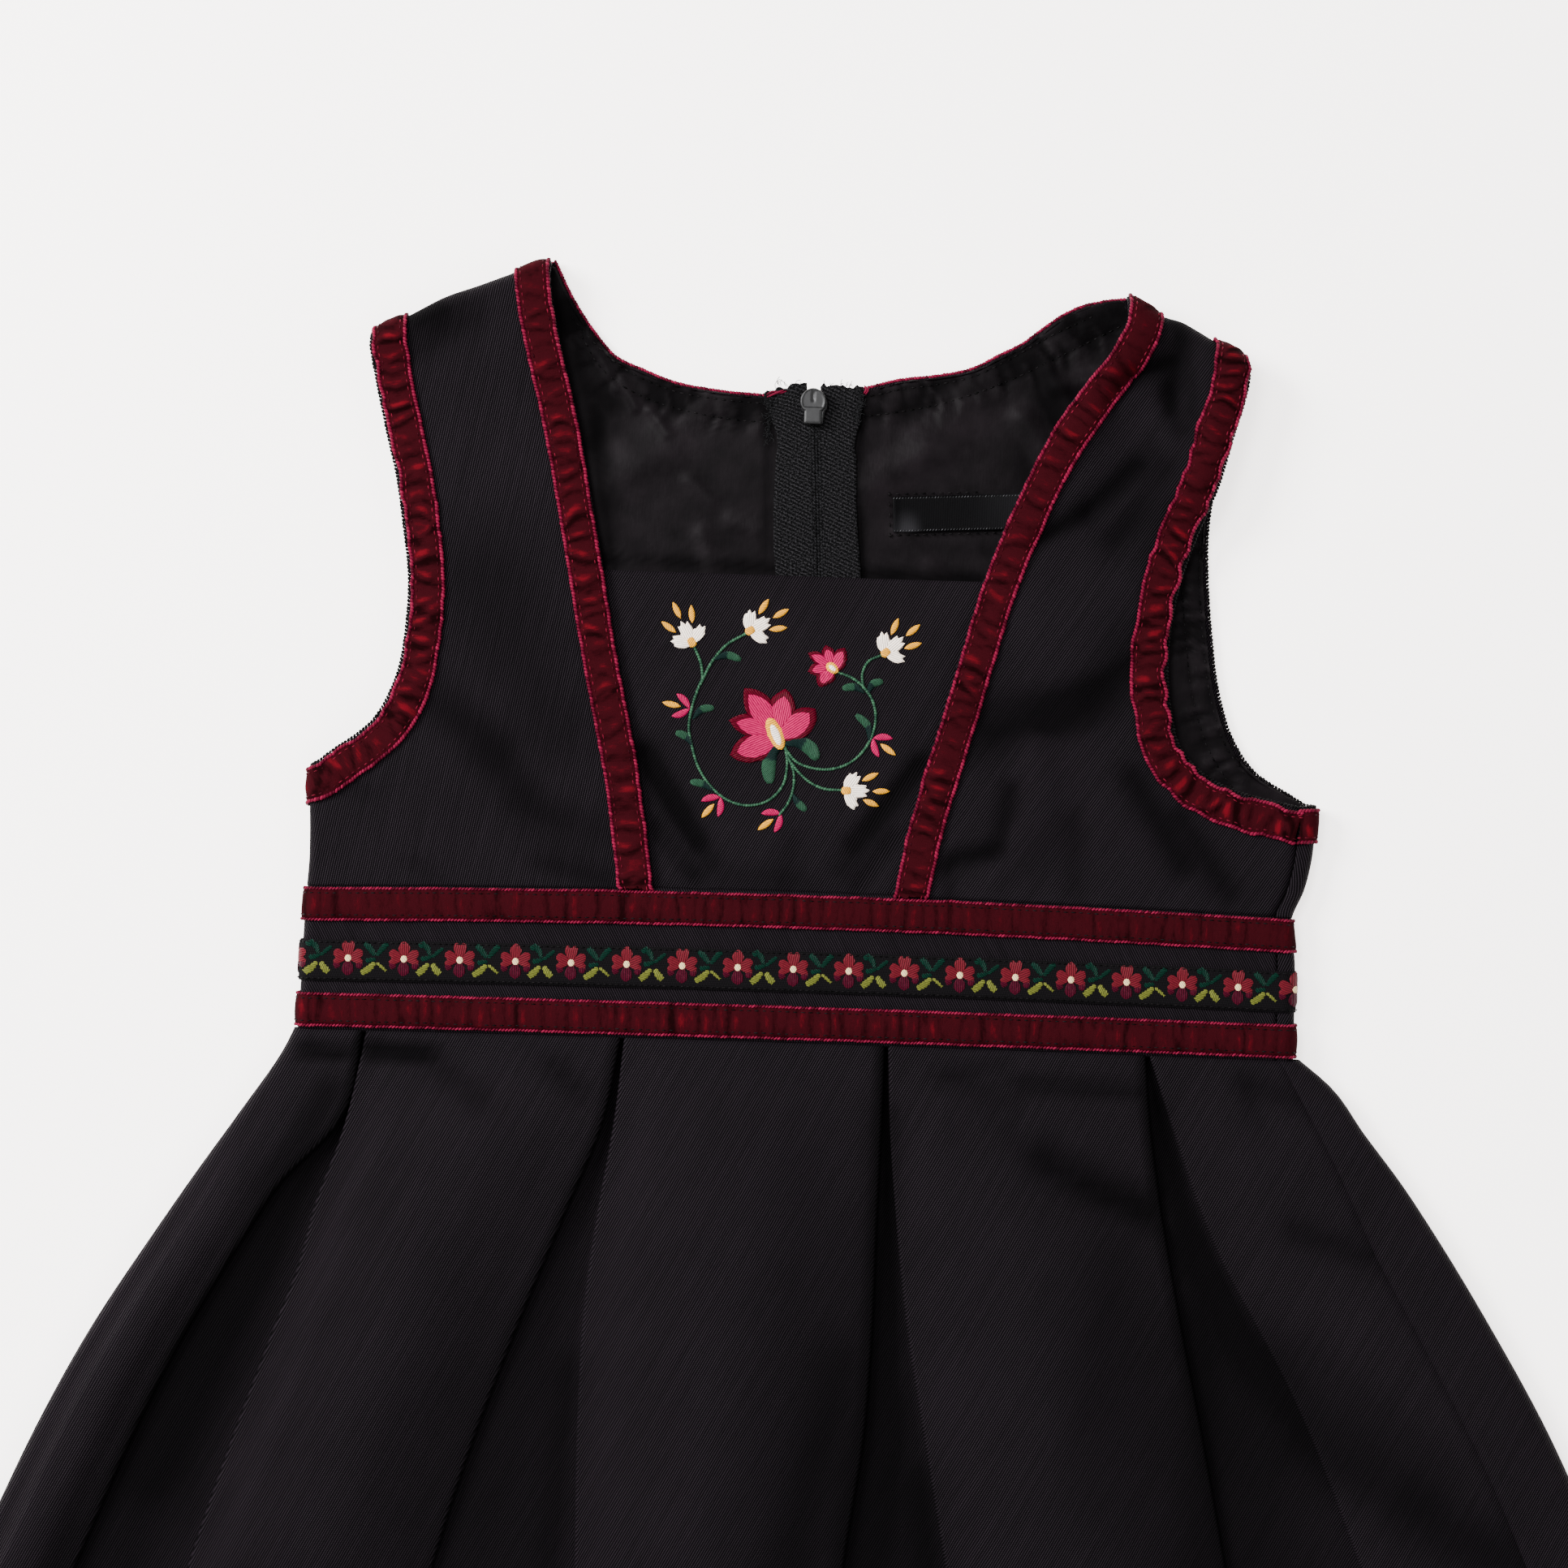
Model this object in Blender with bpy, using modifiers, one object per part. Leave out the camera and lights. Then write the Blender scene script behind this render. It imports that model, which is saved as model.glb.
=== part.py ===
"""A girl's folk-dress pinafore, laid flat on its back with the hem fanned out.

The tables give places in millimetres on the garment as it lies: x to the right, y up towards the
neck, from the middle of the waistband, and z up from the surface that it lies on. The garment is a
flattened tube. Its front layer lies over its back layer, turns down over the two side folds and
over the two shoulder folds, and every piece is laid on one of these two layers and moved in or out.
"""

import math

import bmesh
import bpy
import numpy as np

MM = 0.001

# Cloth. A layer is one wall and the gap to the next one.
WALL = 1.0
GAP = 0.3
LAYER = WALL + GAP
ON_CLOTH = LAYER + 0.05

# Heights of the middle of each main layer over the surface.
BACK_Z = WALL / 2 + LAYER + 0.1
SKIRT_BACK_Z = WALL / 2
FRONT_Z = 7.2

# Where the garment's waistband lies from the middle of the whole part's outline.
LAY_X = -3.0
LAY_Y = 93.0

# Trimmings.
VELVET_WIDTH = 10.0
FLORAL_WIDTH = 12.0
FLORAL_TOP = 2.0

# Waistband: its upper and lower edges bow a little between the sides.
BAND_TOP = 18.0
BAND_TOP_BOW = 2.4
BAND_FOOT = -23.9
BAND_FOOT_BOW = 0.6
BAND_HALF = 142.0

# Zip down the middle of the back.
ZIP_TOP_X, ZIP_TOP_Y = -0.9, 161.0
ZIP_LEAN = 0.055
ZIP_END_Y = -76.0
TAPE_WIDTH = 12.0
TAPE_TOP_Y = 164.5
ZIP_SLIT = 0.45
ZIP_SPREAD = 2.0
ZIP_LIFT = 1.9
ZIP_LIFT_WIDTH = 30.0

# Side seams: how far past the fold each one lies, round the edge.
LEFT_SEAM_BODICE = 6.0
RIGHT_SEAM_BODICE = 2.1
UNDERARM_DIP = 4.6

# Shoulder seams, which lie on the back: straight lines between two places.
SHOULDER_SEAMS = {-1: ((-128.0, 168.2), (-74.0, 189.4)), 1: ((84.0, 184.5), (126.0, 163.6))}

# Outermost places of the bodice cloth at the sides, by height.
BODICE_SIDES = [  # y, left, right
    (-30.0, -143.4, 143.2),
    (-12.0, -142.9, 142.8),
    (4.0, -142.5, 142.4),
    (16.0, -141.9, 141.4),
    (24.0, -141.5, 144.6),
    (32.0, -141.6, 146.4),
    (42.0, -142.0, 147.2),
    (54.0, -142.2, 147.4),
]

# Outermost places of the cloth over the shoulders, from left to right.
LEFT_SHOULDER = [  # x, y
    (-132.0, 172.5),
    (-127.0, 176.0),
    (-119.0, 179.6),
    (-107.0, 186.2),
    (-98.0, 189.6),
    (-90.0, 192.6),
    (-82.0, 195.4),
    (-72.0, 196.4),
]
RIGHT_SHOULDER = [  # x, y
    (82.0, 193.0),
    (88.0, 191.0),
    (93.0, 187.4),
    (97.5, 185.4),
    (103.0, 185.4),
    (108.0, 183.2),
    (113.0, 180.4),
    (118.0, 178.4),
    (123.0, 175.0),
    (128.0, 170.0),
]

# Free edges of the front, from the waist or the underarm up to the shoulder fold.
FRONT_NECK_LEFT = [  # x, y
    (-42.0, 17.4), (-47.0, 49.6), (-54.5, 84.3), (-61.4, 119.0),
    (-68.6, 153.6), (-74.0, 174.4), (-76.5, 186.0), (-77.3, 191.5),
]
FRONT_NECK_RIGHT = [  # x, y
    (26.4, 18.2), (30.1, 38.2), (35.7, 59.4), (43.2, 87.5), (51.3, 115.7), (59.7, 136.9),
    (66.4, 151.1), (75.5, 165.4), (83.0, 175.8), (87.6, 184.2),
]
FRONT_ARMHOLE_LEFT = [  # x, y
    (-139.0, 51.6), (-134.5, 55.2), (-128.6, 59.4), (-123.6, 64.0), (-119.8, 70.5), (-117.1, 77.5),
    (-115.0, 91.6), (-114.7, 105.6), (-116.6, 119.5), (-118.9, 133.3), (-122.4, 147.2),
    (-125.6, 161.0), (-127.6, 170.6),
]
FRONT_ARMHOLE_RIGHT = [  # x, y
    (142.0, 47.3), (134.7, 48.7), (121.4, 52.2), (113.1, 56.6), (107.3, 62.7), (103.4, 75.6),
    (102.4, 92.0), (105.0, 110.5), (109.4, 124.6), (114.8, 138.8), (118.5, 152.8),
    (121.6, 164.0), (122.6, 169.0),
]

# Free edges of the back, as it lies under the front.
BACK_ARMHOLE_LEFT = [  # x, y
    (-133.3, 46.6), (-127.0, 50.0), (-121.0, 57.0), (-117.0, 66.0), (-114.6, 78.0),
    (-113.4, 92.0), (-113.6, 105.6), (-115.4, 119.5), (-117.8, 133.3), (-121.2, 147.2),
    (-124.4, 161.0), (-126.2, 169.5),
]
BACK_ARMHOLE_RIGHT = [  # x, y
    (144.2, 48.2), (139.5, 50.9), (129.0, 57.4), (123.0, 65.6), (118.4, 78.4), (115.3, 97.0),
    (113.8, 112.0), (113.4, 125.0), (114.8, 139.0), (117.6, 153.0), (120.4, 164.0), (121.4, 166.0),
]
BACK_NECK_LEFT = [  # x, y
    (-3.0, 160.6), (-14.4, 160.8), (-29.6, 161.9), (-41.5, 163.9), (-50.5, 167.2),
    (-57.7, 172.0), (-63.5, 178.8), (-68.6, 185.8), (-73.0, 190.6),
]
BACK_NECK_RIGHT = [  # x, y
    (1.0, 161.6), (12.3, 163.4), (24.0, 166.6), (33.1, 167.9), (44.6, 170.6), (52.0, 174.6),
    (61.0, 179.2), (70.0, 183.2), (80.0, 186.0),
]

# Soft ridges of the front layer. Each one runs along a line.
FRONT_RIDGES = [  # x0, y0, x1, y1, half width, height
    (-124.0, 176.0, -80.0, 194.0, 24.0, 3.0),
    (86.0, 184.0, 74.0, 158.0, 13.0, 5.6),
    (118.0, 178.0, 110.0, 140.0, 13.0, 5.4),
    (102.0, 182.0, 98.0, 150.0, 24.0, 2.4),
    (66.0, 146.0, 56.0, 118.0, 16.0, 1.6),
    (-92.0, 150.0, -100.0, 60.0, 26.0, 1.2),
    (72.0, 100.0, 92.0, 40.0, 24.0, 1.4),
]
SKIRT_RIDGES = [  # x0, y0, x1, y1, half width, height
    (-158.0, -68.0, -286.0, -330.0, 20.0, 2.4),
    (-98.0, -72.0, -176.0, -352.0, 28.0, 2.2),
    (-12.0, -70.0, -26.0, -360.0, 28.0, 2.2),
    (66.0, -70.0, 126.0, -358.0, 28.0, 2.2),
    (156.0, -68.0, 272.0, -330.0, 26.0, 2.4),
]

# Skirt: lines that run from the waist to the hem on the front layer, each by height.
SKIRT_LINES = {
    "left side": [(-24.0, -143.8), (-30.0, -146.5), (-49.5, -158.9), (-70.9, -172.9), (-85.1, -181.9),
                  (-113.6, -199.4), (-142.1, -214.0), (-163.3, -223.3), (-220.0, -246.0),
                  (-290.0, -271.5), (-354.0, -292.0)],
    "a left": [(-24.0, -124.9), (-52.0, -131.5), (-69.4, -147.5), (-81.5, -155.0), (-112.0, -172.5),
               (-180.0, -202.0), (-262.0, -233.0), (-357.0, -266.0)],
    "a right": [(-24.0, -121.9), (-55.5, -128.4), (-74.3, -134.8), (-93.1, -139.3), (-111.9, -146.0),
                (-180.0, -168.0), (-262.0, -187.0), (-368.0, -208.0)],
    "b left": [(-24.0, -51.1), (-50.7, -56.1), (-71.9, -64.2), (-104.9, -76.9), (-152.0, -93.0),
               (-178.3, -100.3), (-262.0, -119.0), (-378.0, -136.0)],
    "b right": [(-24.0, -48.1), (-48.2, -50.3), (-76.3, -54.4), (-99.7, -57.0), (-136.9, -58.0),
                (-176.9, -57.4), (-262.0, -58.5), (-383.0, -62.0)],
    "c left": [(-24.0, 24.5), (-50.3, 24.3), (-73.6, 23.9), (-106.2, 23.6), (-134.1, 22.4),
               (-174.4, 17.5), (-262.0, 14.5), (-385.0, 12.0)],
    "c right": [(-24.0, 27.5), (-50.3, 29.0), (-73.4, 31.4), (-105.9, 35.8), (-138.2, 42.0),
                (-173.4, 49.0), (-262.0, 67.0), (-382.0, 88.0)],
    "d left": [(-24.0, 99.2), (-43.1, 101.1), (-68.6, 105.2), (-98.7, 111.3), (-131.0, 118.6),
               (-170.8, 127.0), (-262.0, 144.0), (-375.0, 162.0)],
    "d right": [(-24.0, 102.2), (-47.5, 110.6), (-69.1, 118.7), (-84.9, 126.1), (-99.3, 134.6),
                (-112.0, 142.0), (-180.0, 172.0), (-262.0, 203.0), (-364.0, 236.0)],
    "right seam": [(-24.0, 138.2), (-54.9, 155.6), (-80.8, 168.3), (-107.9, 183.7), (-137.8, 200.0),
                   (-168.1, 214.0), (-262.0, 248.0), (-352.0, 274.0)],
    "right side": [(-24.0, 143.8), (-32.1, 154.0), (-45.7, 164.4), (-59.3, 175.1), (-73.0, 184.7),
                   (-100.3, 202.3), (-127.7, 218.6), (-160.0, 234.4), (-220.0, 258.0),
                   (-290.0, 281.0), (-346.0, 298.0)],
}
PLEATS = [  # name, left fold's depth, right fold's depth, width when it is fully open
    ("a", 12.0, 20.0, 62.0),
    ("b", 20.0, 20.0, 76.0),
    ("c", 20.0, 20.0, 76.0),
    ("d", 20.0, 20.0, 76.0),
]
# Back of the skirt: the pleats by their middle and their opening, at the waist and at the hem.
BACK_PLEATS = [  # middle at waist, middle at hem, opening at waist, opening at hem
    (-113.0, -222.0, 3.0, 46.0),
    (-38.0, -86.0, 3.0, 62.0),
    (54.0, 104.0, 3.0, 62.0),
    (116.0, 240.0, 3.0, 54.0),
]
BACK_PLEAT_DEPTH = 16.0
BACK_PLEAT_FULL = 78.0
HEM_FOOT = -385.0
HEM_RISE = 33.0
HEM_HALF = 292.0
LEFT_SEAM_SKIRT = (6.0, 24.0)
LEAST_DEPTH = 3.0
SKIRT_ROWS = 11
SEAM_AT_WAIST = 0.5

COLOURS = {  # red, green, blue, roughness
    "black_twill": (0.012, 0.012, 0.014, 0.62),
    "lining_satin": (0.010, 0.010, 0.011, 0.42),
    "velvet": (0.115, 0.006, 0.014, 0.85),
    "floral_band": (0.022, 0.020, 0.022, 0.75),
    "zip_tape": (0.014, 0.014, 0.015, 0.80),
    "slider_metal": (0.16, 0.16, 0.17, 0.42),
    "label_satin": (0.014, 0.014, 0.016, 0.40),
}


# ---------------------------------------------------------------- curves and heights


def smoothly(points):
    """A function of t, from 0 to 1, along a smooth curve through the points."""
    p = np.array(points, float)
    knots = np.concatenate([[0.0], np.cumsum(np.linalg.norm(np.diff(p, axis=0), axis=1))])
    knots /= knots[-1]
    slopes = np.gradient(p, knots, axis=0)

    def at(t):
        k = int(np.clip(np.searchsorted(knots, t) - 1, 0, len(p) - 2))
        span = knots[k + 1] - knots[k]
        s = (t - knots[k]) / span
        return (
            (1 + 2 * s) * (1 - s) ** 2 * p[k]
            + s * (1 - s) ** 2 * span * slopes[k]
            + s * s * (3 - 2 * s) * p[k + 1]
            - s * s * (1 - s) * span * slopes[k + 1]
        )

    return at


def column_of(table, column):
    """A smooth function of a table's first column."""
    rows = np.array(sorted(table), float)
    slopes = np.gradient(rows[:, column], rows[:, 0])

    def at(value):
        v = float(np.clip(value, rows[0, 0], rows[-1, 0]))
        k = int(np.clip(np.searchsorted(rows[:, 0], v) - 1, 0, len(rows) - 2))
        span = rows[k + 1, 0] - rows[k, 0]
        s = (v - rows[k, 0]) / span
        return float(
            (1 + 2 * s) * (1 - s) ** 2 * rows[k, column]
            + s * (1 - s) ** 2 * span * slopes[k]
            + s * s * (3 - 2 * s) * rows[k + 1, column]
            - s * s * (1 - s) * span * slopes[k + 1]
        )

    return at


def ease(value):
    """From 0 to 1 with a soft start and a soft end."""
    s = min(1.0, max(0.0, value))
    return s * s * (3 - 2 * s)


def ridges(table, x, y):
    """The summed height of soft ridges at a place."""
    total = 0.0
    for x0, y0, x1, y1, half_width, height in table:
        dx, dy = x1 - x0, y1 - y0
        along = min(1.0, max(0.0, ((x - x0) * dx + (y - y0) * dy) / (dx * dx + dy * dy)))
        away = math.hypot(x - x0 - along * dx, y - y0 - along * dy)
        total += height * math.exp(-((away / half_width) ** 2))
    return total


def zip_x(y):
    return ZIP_TOP_X + ZIP_LEAN * (ZIP_TOP_Y - y)


def zip_gap(y):
    """Half the slit between the two sides of the back, which opens round the slider."""
    return ZIP_SLIT + ZIP_SPREAD * ease((y - 146.0) / 8.0)


def front_z(x, y):
    return FRONT_Z + ridges(FRONT_RIDGES, x, y)


def back_z(x, y):
    """The back layer, which rides up over the zip's pull."""
    off = (x - zip_x(y)) / ZIP_LIFT_WIDTH
    return BACK_Z + ZIP_LIFT * math.exp(-off * off) * ease((y - 104.0) / 34.0)


def band_top(x):
    return BAND_TOP - BAND_TOP_BOW * (x / BAND_HALF) ** 2


def band_foot(x):
    return BAND_FOOT - BAND_FOOT_BOW * (x / BAND_HALF) ** 2


# ---------------------------------------------------------------- laying cloth on the two layers


def turned(beyond, z_from, z_to):
    """How far past a fold, and how high, cloth lies that turns over there to another layer."""
    radius = abs(z_from - z_to) / 2
    middle = (z_from + z_to) / 2
    up = 1 if z_from > z_to else -1
    turn = beyond / radius
    if turn < math.pi:
        return radius * math.sin(turn), middle + up * radius * math.cos(turn)
    return math.pi * radius - beyond, z_to


BODICE_EDGE = {-1: column_of(BODICE_SIDES, 1), 1: column_of(BODICE_SIDES, 2)}
SHOULDER_EDGE = {-1: column_of(LEFT_SHOULDER, 1), 1: column_of(RIGHT_SHOULDER, 1)}
SIDE_TURN = (FRONT_Z - BACK_Z) / 2


def side_fold(side, y):
    """Where the front layer starts to turn down at a side of the bodice."""
    return BODICE_EDGE[side](y) - side * (SIDE_TURN + WALL / 2)


def shoulder_turn(side, x):
    """The radius of the turn over a shoulder."""
    return (front_z(x, SHOULDER_EDGE[side](x) - 6.0) - BACK_Z) / 2


def shoulder_fold(side, x):
    """Where the front layer starts to turn down over a shoulder."""
    return SHOULDER_EDGE[side](x) - shoulder_turn(side, x) - WALL / 2


def shoulder_seam(side, x):
    (x0, y0), (x1, y1) = SHOULDER_SEAMS[side]
    return y0 + (y1 - y0) * (x - x0) / (x1 - x0)


def front_place(a, b):
    """Where cloth of the front lies. Past a fold it turns over and lies on the back."""
    side = 1 if a > 0 else -1
    fold = side_fold(side, b)
    beyond = side * (a - fold)
    if beyond > 0 and b < 80:
        out, z = turned(beyond, FRONT_Z, BACK_Z)
        return fold + side * out, b, z
    fold = shoulder_fold(side, a)
    if b > fold:
        out, z = turned(b - fold, 2 * shoulder_turn(side, a) + BACK_Z, BACK_Z)
        return a, fold + out, z
    return a, b, front_z(a, b)


def back_place(a, b):
    """Where cloth of the back lies. Past a side fold it turns up and lies on the front."""
    side = 1 if a > 0 else -1
    fold = side_fold(side, b)
    beyond = side * (a - fold)
    if beyond > 0:
        out, z = turned(beyond, BACK_Z, FRONT_Z)
        return fold + side * out, b, z
    return a, b, back_z(a, b)


def moved_out(place, a, b, lift):
    """A place on the cloth, moved along the cloth's normal."""
    step = 0.4
    here = np.array(place(a, b))
    across = np.array(place(a + step, b)) - np.array(place(a - step, b))
    up = np.array(place(a, b + step)) - np.array(place(a, b - step))
    normal = np.cross(across, up)
    return here + lift * normal / np.linalg.norm(normal)


def on_front(a, b, lift):
    return moved_out(front_place, a, b, lift)


def on_back(a, b, lift):
    return moved_out(back_place, a, b, -lift)


# ---------------------------------------------------------------- grids of cloth


def share(values):
    """Values scaled to run from 0 to 1."""
    v = np.array(values, float)
    return (v - v[0]) / (v[-1] - v[0])


def line(start, end):
    return lambda t: np.array(start, float) * (1 - t) + np.array(end, float) * t


def edged(curve, t, inward):
    """Three places across a ribbon: its inner edge, its middle and its outer edge on the curve."""
    ahead, behind = curve(min(1.0, t + 0.004)), curve(max(0.0, t - 0.004))
    direction = (ahead - behind) / np.linalg.norm(ahead - behind)
    normal = inward * np.array([-direction[1], direction[0]])
    return [curve(t) + normal * VELVET_WIDTH * k / 2 for k in (2, 1, 0)]


def plain(x, y):
    """A row's end without a ribbon."""
    return [np.array([x, y], float), None, None]


def panel(outer, inner, interior):
    """A grid whose rows run from one edge to the other. Each row's end is three places across the
    ribbon there, or one place if it has none."""
    grid = []
    for a, b in zip(outer, inner):
        middle = [a[0] + (b[0] - a[0]) * k / (interior + 1) for k in range(1, interior + 1)]
        grid.append([a[2], a[1], a[0]] + middle + b)
    return grid


def beside_fold(grid, side, reach):
    """Moves the rows past a side fold so that they follow it all the way down."""
    for row, w in zip(grid, around_side(reach, ROLL_STEPS)):
        for p in row:
            if p is not None:
                p[0] = side_fold(side, p[1]) + side * w
    return grid


def on_foot(grid):
    """Moves the first row onto the waistband's edge."""
    grid[0] = [None if p is None else np.array([p[0], foot_of(p[0])]) for p in grid[0]]
    return grid


def only(grid, keep):
    """A part of a grid, with its other places left out."""
    return [[p if keep(i, j) else None for j, p in enumerate(row)] for i, row in enumerate(grid)]


# ---------------------------------------------------------------- Blender objects

COLLECTION = None


def start():
    global COLLECTION
    for obj in list(bpy.data.objects):
        bpy.data.objects.remove(obj, do_unlink=True)
    COLLECTION = bpy.data.collections.new("FolkDressPinafore")
    bpy.context.scene.collection.children.link(COLLECTION)


def material(name):
    found = bpy.data.materials.get(name)
    if found:
        return found
    made = bpy.data.materials.new(name)
    made.use_nodes = True
    shader = made.node_tree.nodes["Principled BSDF"]
    red, green, blue, roughness = COLOURS[name]
    shader.inputs["Base Color"].default_value = (red, green, blue, 1)
    shader.inputs["Roughness"].default_value = roughness
    shader.inputs["Metallic"].default_value = 1.0 if name == "slider_metal" else 0.0
    return made


def add_object(name, mesh, finish):
    obj = bpy.data.objects.new(name, mesh)
    mesh.materials.append(material(finish))
    COLLECTION.objects.link(obj)
    return obj


def sheet(name, grid, finish, wall=WALL):
    """A wall of cloth from a grid of places in its middle. A place that is None is left out."""
    rows, columns = len(grid), len(grid[0])
    bm = bmesh.new()
    bmesh.ops.create_grid(bm, x_segments=columns - 1, y_segments=rows - 1, size=1)
    bm.verts.ensure_lookup_table()
    outside = []
    for index, vertex in enumerate(bm.verts):
        place = grid[index // columns][index % columns]
        if place is None:
            outside.append(vertex)
            continue
        x, y, z = place
        vertex.co = ((x + LAY_X) * MM, (y + LAY_Y) * MM, z * MM)
    bmesh.ops.delete(bm, geom=outside, context="VERTS")
    mesh = bpy.data.meshes.new(name)
    bm.to_mesh(mesh)
    bm.free()
    mesh.shade_smooth()
    mesh.set_sharp_from_angle(angle=math.radians(50))
    obj = add_object(name, mesh, finish)
    solid = obj.modifiers.new("wall", "SOLIDIFY")
    solid.thickness = wall * MM
    solid.offset = 0
    return obj


def laid(grid, lay, lift=0.0):
    return [[None if p is None else lay(p[0], p[1], lift) for p in row] for row in grid]


# ---------------------------------------------------------------- bodice

ROLL_STEPS = 5
SHOULDER_STEPS = 8
ARMHOLE_ROWS = 13
ARMHOLE_ROWS_TO_FOOT = 3
SIDE_HEIGHTS = (24.0, 31.0)


def over_shoulder(grid, side):
    """Moves the last row onto the shoulder fold and adds the rows that turn over to the seam."""
    grid[-1] = [np.array([p[0], shoulder_fold(side, p[0])]) for p in grid[-1]]
    top = grid[-1]
    for k in range(1, SHOULDER_STEPS + 1):
        grid.append([
            np.array([p[0], p[1] + math.pi * shoulder_turn(side, p[0]) * k / SHOULDER_STEPS]) for p in top
        ])
    grid.append([
        np.array([p[0], 2 * p[1] + math.pi * shoulder_turn(side, p[0]) - shoulder_seam(side, p[0])])
        for p in top
    ])
    return grid


def around_side(reach, count):
    """Distances past a side fold, from the seam back to the fold, that follow its turn."""
    turn = math.pi * SIDE_TURN
    return [turn + reach] + [turn * k / count for k in range(count, 0, -1)]


def wrapped_rows(side, corner_y, reach, dip):
    """Rows that run down from the armhole's edge where it turns over a side fold, to the foot."""
    edge, feet = [], []
    wraps = around_side(reach, ROLL_STEPS)
    for w in wraps:
        top = corner_y - dip * (w / wraps[0]) ** 0.8
        foot = foot_of(side_fold(side, BAND_TOP))
        x_top = side_fold(side, top) + side * w
        ribbon = [top - VELVET_WIDTH, top - VELVET_WIDTH / 2, top]
        edge.append([np.array([side_fold(side, y) + side * w, y]) for y in ribbon])
        feet.append(plain(side_fold(side, foot) + side * w, foot))
    return edge, feet


def foot_of(x):
    return band_top(x) + GAP


def neck_rows(curve, side, count):
    """Ends of rows up a front neck edge. The first one lies along the foot."""
    rows = []
    for k in range(count):
        ends = edged(curve, k / (count - 1), -side)
        if k == 0:
            x = curve(0)[0]
            across = [x + side * w for w in (VELVET_WIDTH, VELVET_WIDTH / 2, 0)]
            ends = [np.array([x, foot_of(x)]) for x in across]
        rows.append(ends)
    return rows


def front_left():
    armhole = smoothly([(side_fold(-1, FRONT_ARMHOLE_LEFT[0][1]), FRONT_ARMHOLE_LEFT[0][1])]
                       + FRONT_ARMHOLE_LEFT[1:])
    outer, inner = wrapped_rows(-1, FRONT_ARMHOLE_LEFT[0][1], LEFT_SEAM_BODICE, UNDERARM_DIP)
    corner_x = FRONT_NECK_LEFT[0][0] - VELVET_WIDTH
    fold = side_fold(-1, BAND_TOP)
    for k in range(ARMHOLE_ROWS_TO_FOOT):
        x = fold + (corner_x - fold) * k / ARMHOLE_ROWS_TO_FOOT
        inner.append(plain(x, foot_of(x)))
    inner += neck_rows(smoothly(FRONT_NECK_LEFT), -1, ARMHOLE_ROWS + 1 - ARMHOLE_ROWS_TO_FOOT)
    outer += [edged(armhole, k / ARMHOLE_ROWS, -1) for k in range(ARMHOLE_ROWS + 1)]
    grid = over_shoulder(beside_fold(panel(outer, inner, 6), -1, LEFT_SEAM_BODICE), -1)
    neck_from = len(around_side(0, ROLL_STEPS)) + ARMHOLE_ROWS_TO_FOOT
    last = len(grid[0]) - 1
    sheet("front_left", laid(grid, on_front), "black_twill")
    arm = only(grid, lambda i, j: j <= 2)
    neck = only(grid, lambda i, j: j >= last - 2 and i >= neck_from)
    sheet("armhole_ribbon_left", laid(arm, on_front, ON_CLOTH), "velvet")
    sheet("neck_ribbon_left", laid(neck, on_front, ON_CLOTH), "velvet")


def front_right():
    corner_y = FRONT_ARMHOLE_RIGHT[0][1]

    def seam(y):
        return np.array([side_fold(1, y) - RIGHT_SEAM_BODICE - GAP, y])

    armhole = smoothly([tuple(seam(corner_y))] + FRONT_ARMHOLE_RIGHT[1:])
    foot = foot_of(side_fold(1, BAND_TOP))
    outer = [plain(*seam(y)) for y in (foot,) + SIDE_HEIGHTS]
    outer.append([seam(corner_y - w) for w in (VELVET_WIDTH, VELVET_WIDTH / 2, 0)])
    outer += [edged(armhole, k / ARMHOLE_ROWS, 1) for k in range(1, ARMHOLE_ROWS + 1)]
    inner = neck_rows(smoothly(FRONT_NECK_RIGHT), 1, len(outer))
    grid = over_shoulder(on_foot(panel(outer, inner, 7)), 1)
    arm_from = 1 + len(SIDE_HEIGHTS)
    last = len(grid[0]) - 1
    sheet("front_right", laid(grid, on_front), "black_twill")
    arm = only(grid, lambda i, j: j <= 2 and i >= arm_from)
    neck = only(grid, lambda i, j: j >= last - 2)
    sheet("armhole_ribbon_right", laid(arm, on_front, ON_CLOTH), "velvet")
    sheet("neck_ribbon_right", laid(neck, on_front, ON_CLOTH), "velvet")


INSERT_TOP = 109.3
INSERT_UNDER = 5.0


def insert():
    """The embroidered piece between the two fronts, which lies under their edges."""
    necks = [smoothly(FRONT_NECK_LEFT), smoothly(FRONT_NECK_RIGHT)]
    grid = []
    for v in share(range(9)):
        y = foot_of(0) + (INSERT_TOP - foot_of(0)) * v
        ends = []
        for neck, side in zip(necks, (-1, 1)):
            points = np.array([neck(s) for s in np.linspace(0, 1, 200)])
            ends.append(float(np.interp(y, points[:, 1], points[:, 0])) + side * INSERT_UNDER)
        row = []
        for u in share(range(9)):
            x = ends[0] + (ends[1] - ends[0]) * u
            row.append(np.array([x, y - (foot_of(0) - foot_of(x)) * (1 - v)]))
        grid.append(row)
    sheet("front_insert", laid(grid, on_front, -LAYER), "black_twill")


BACK_NECK_ROWS = 6
ZIP_LIFT_HEIGHTS = (104.0, 121.0, 138.0)


def middle_edge(side, y):
    return np.array([zip_x(y) + side * zip_gap(y), y])


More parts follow.
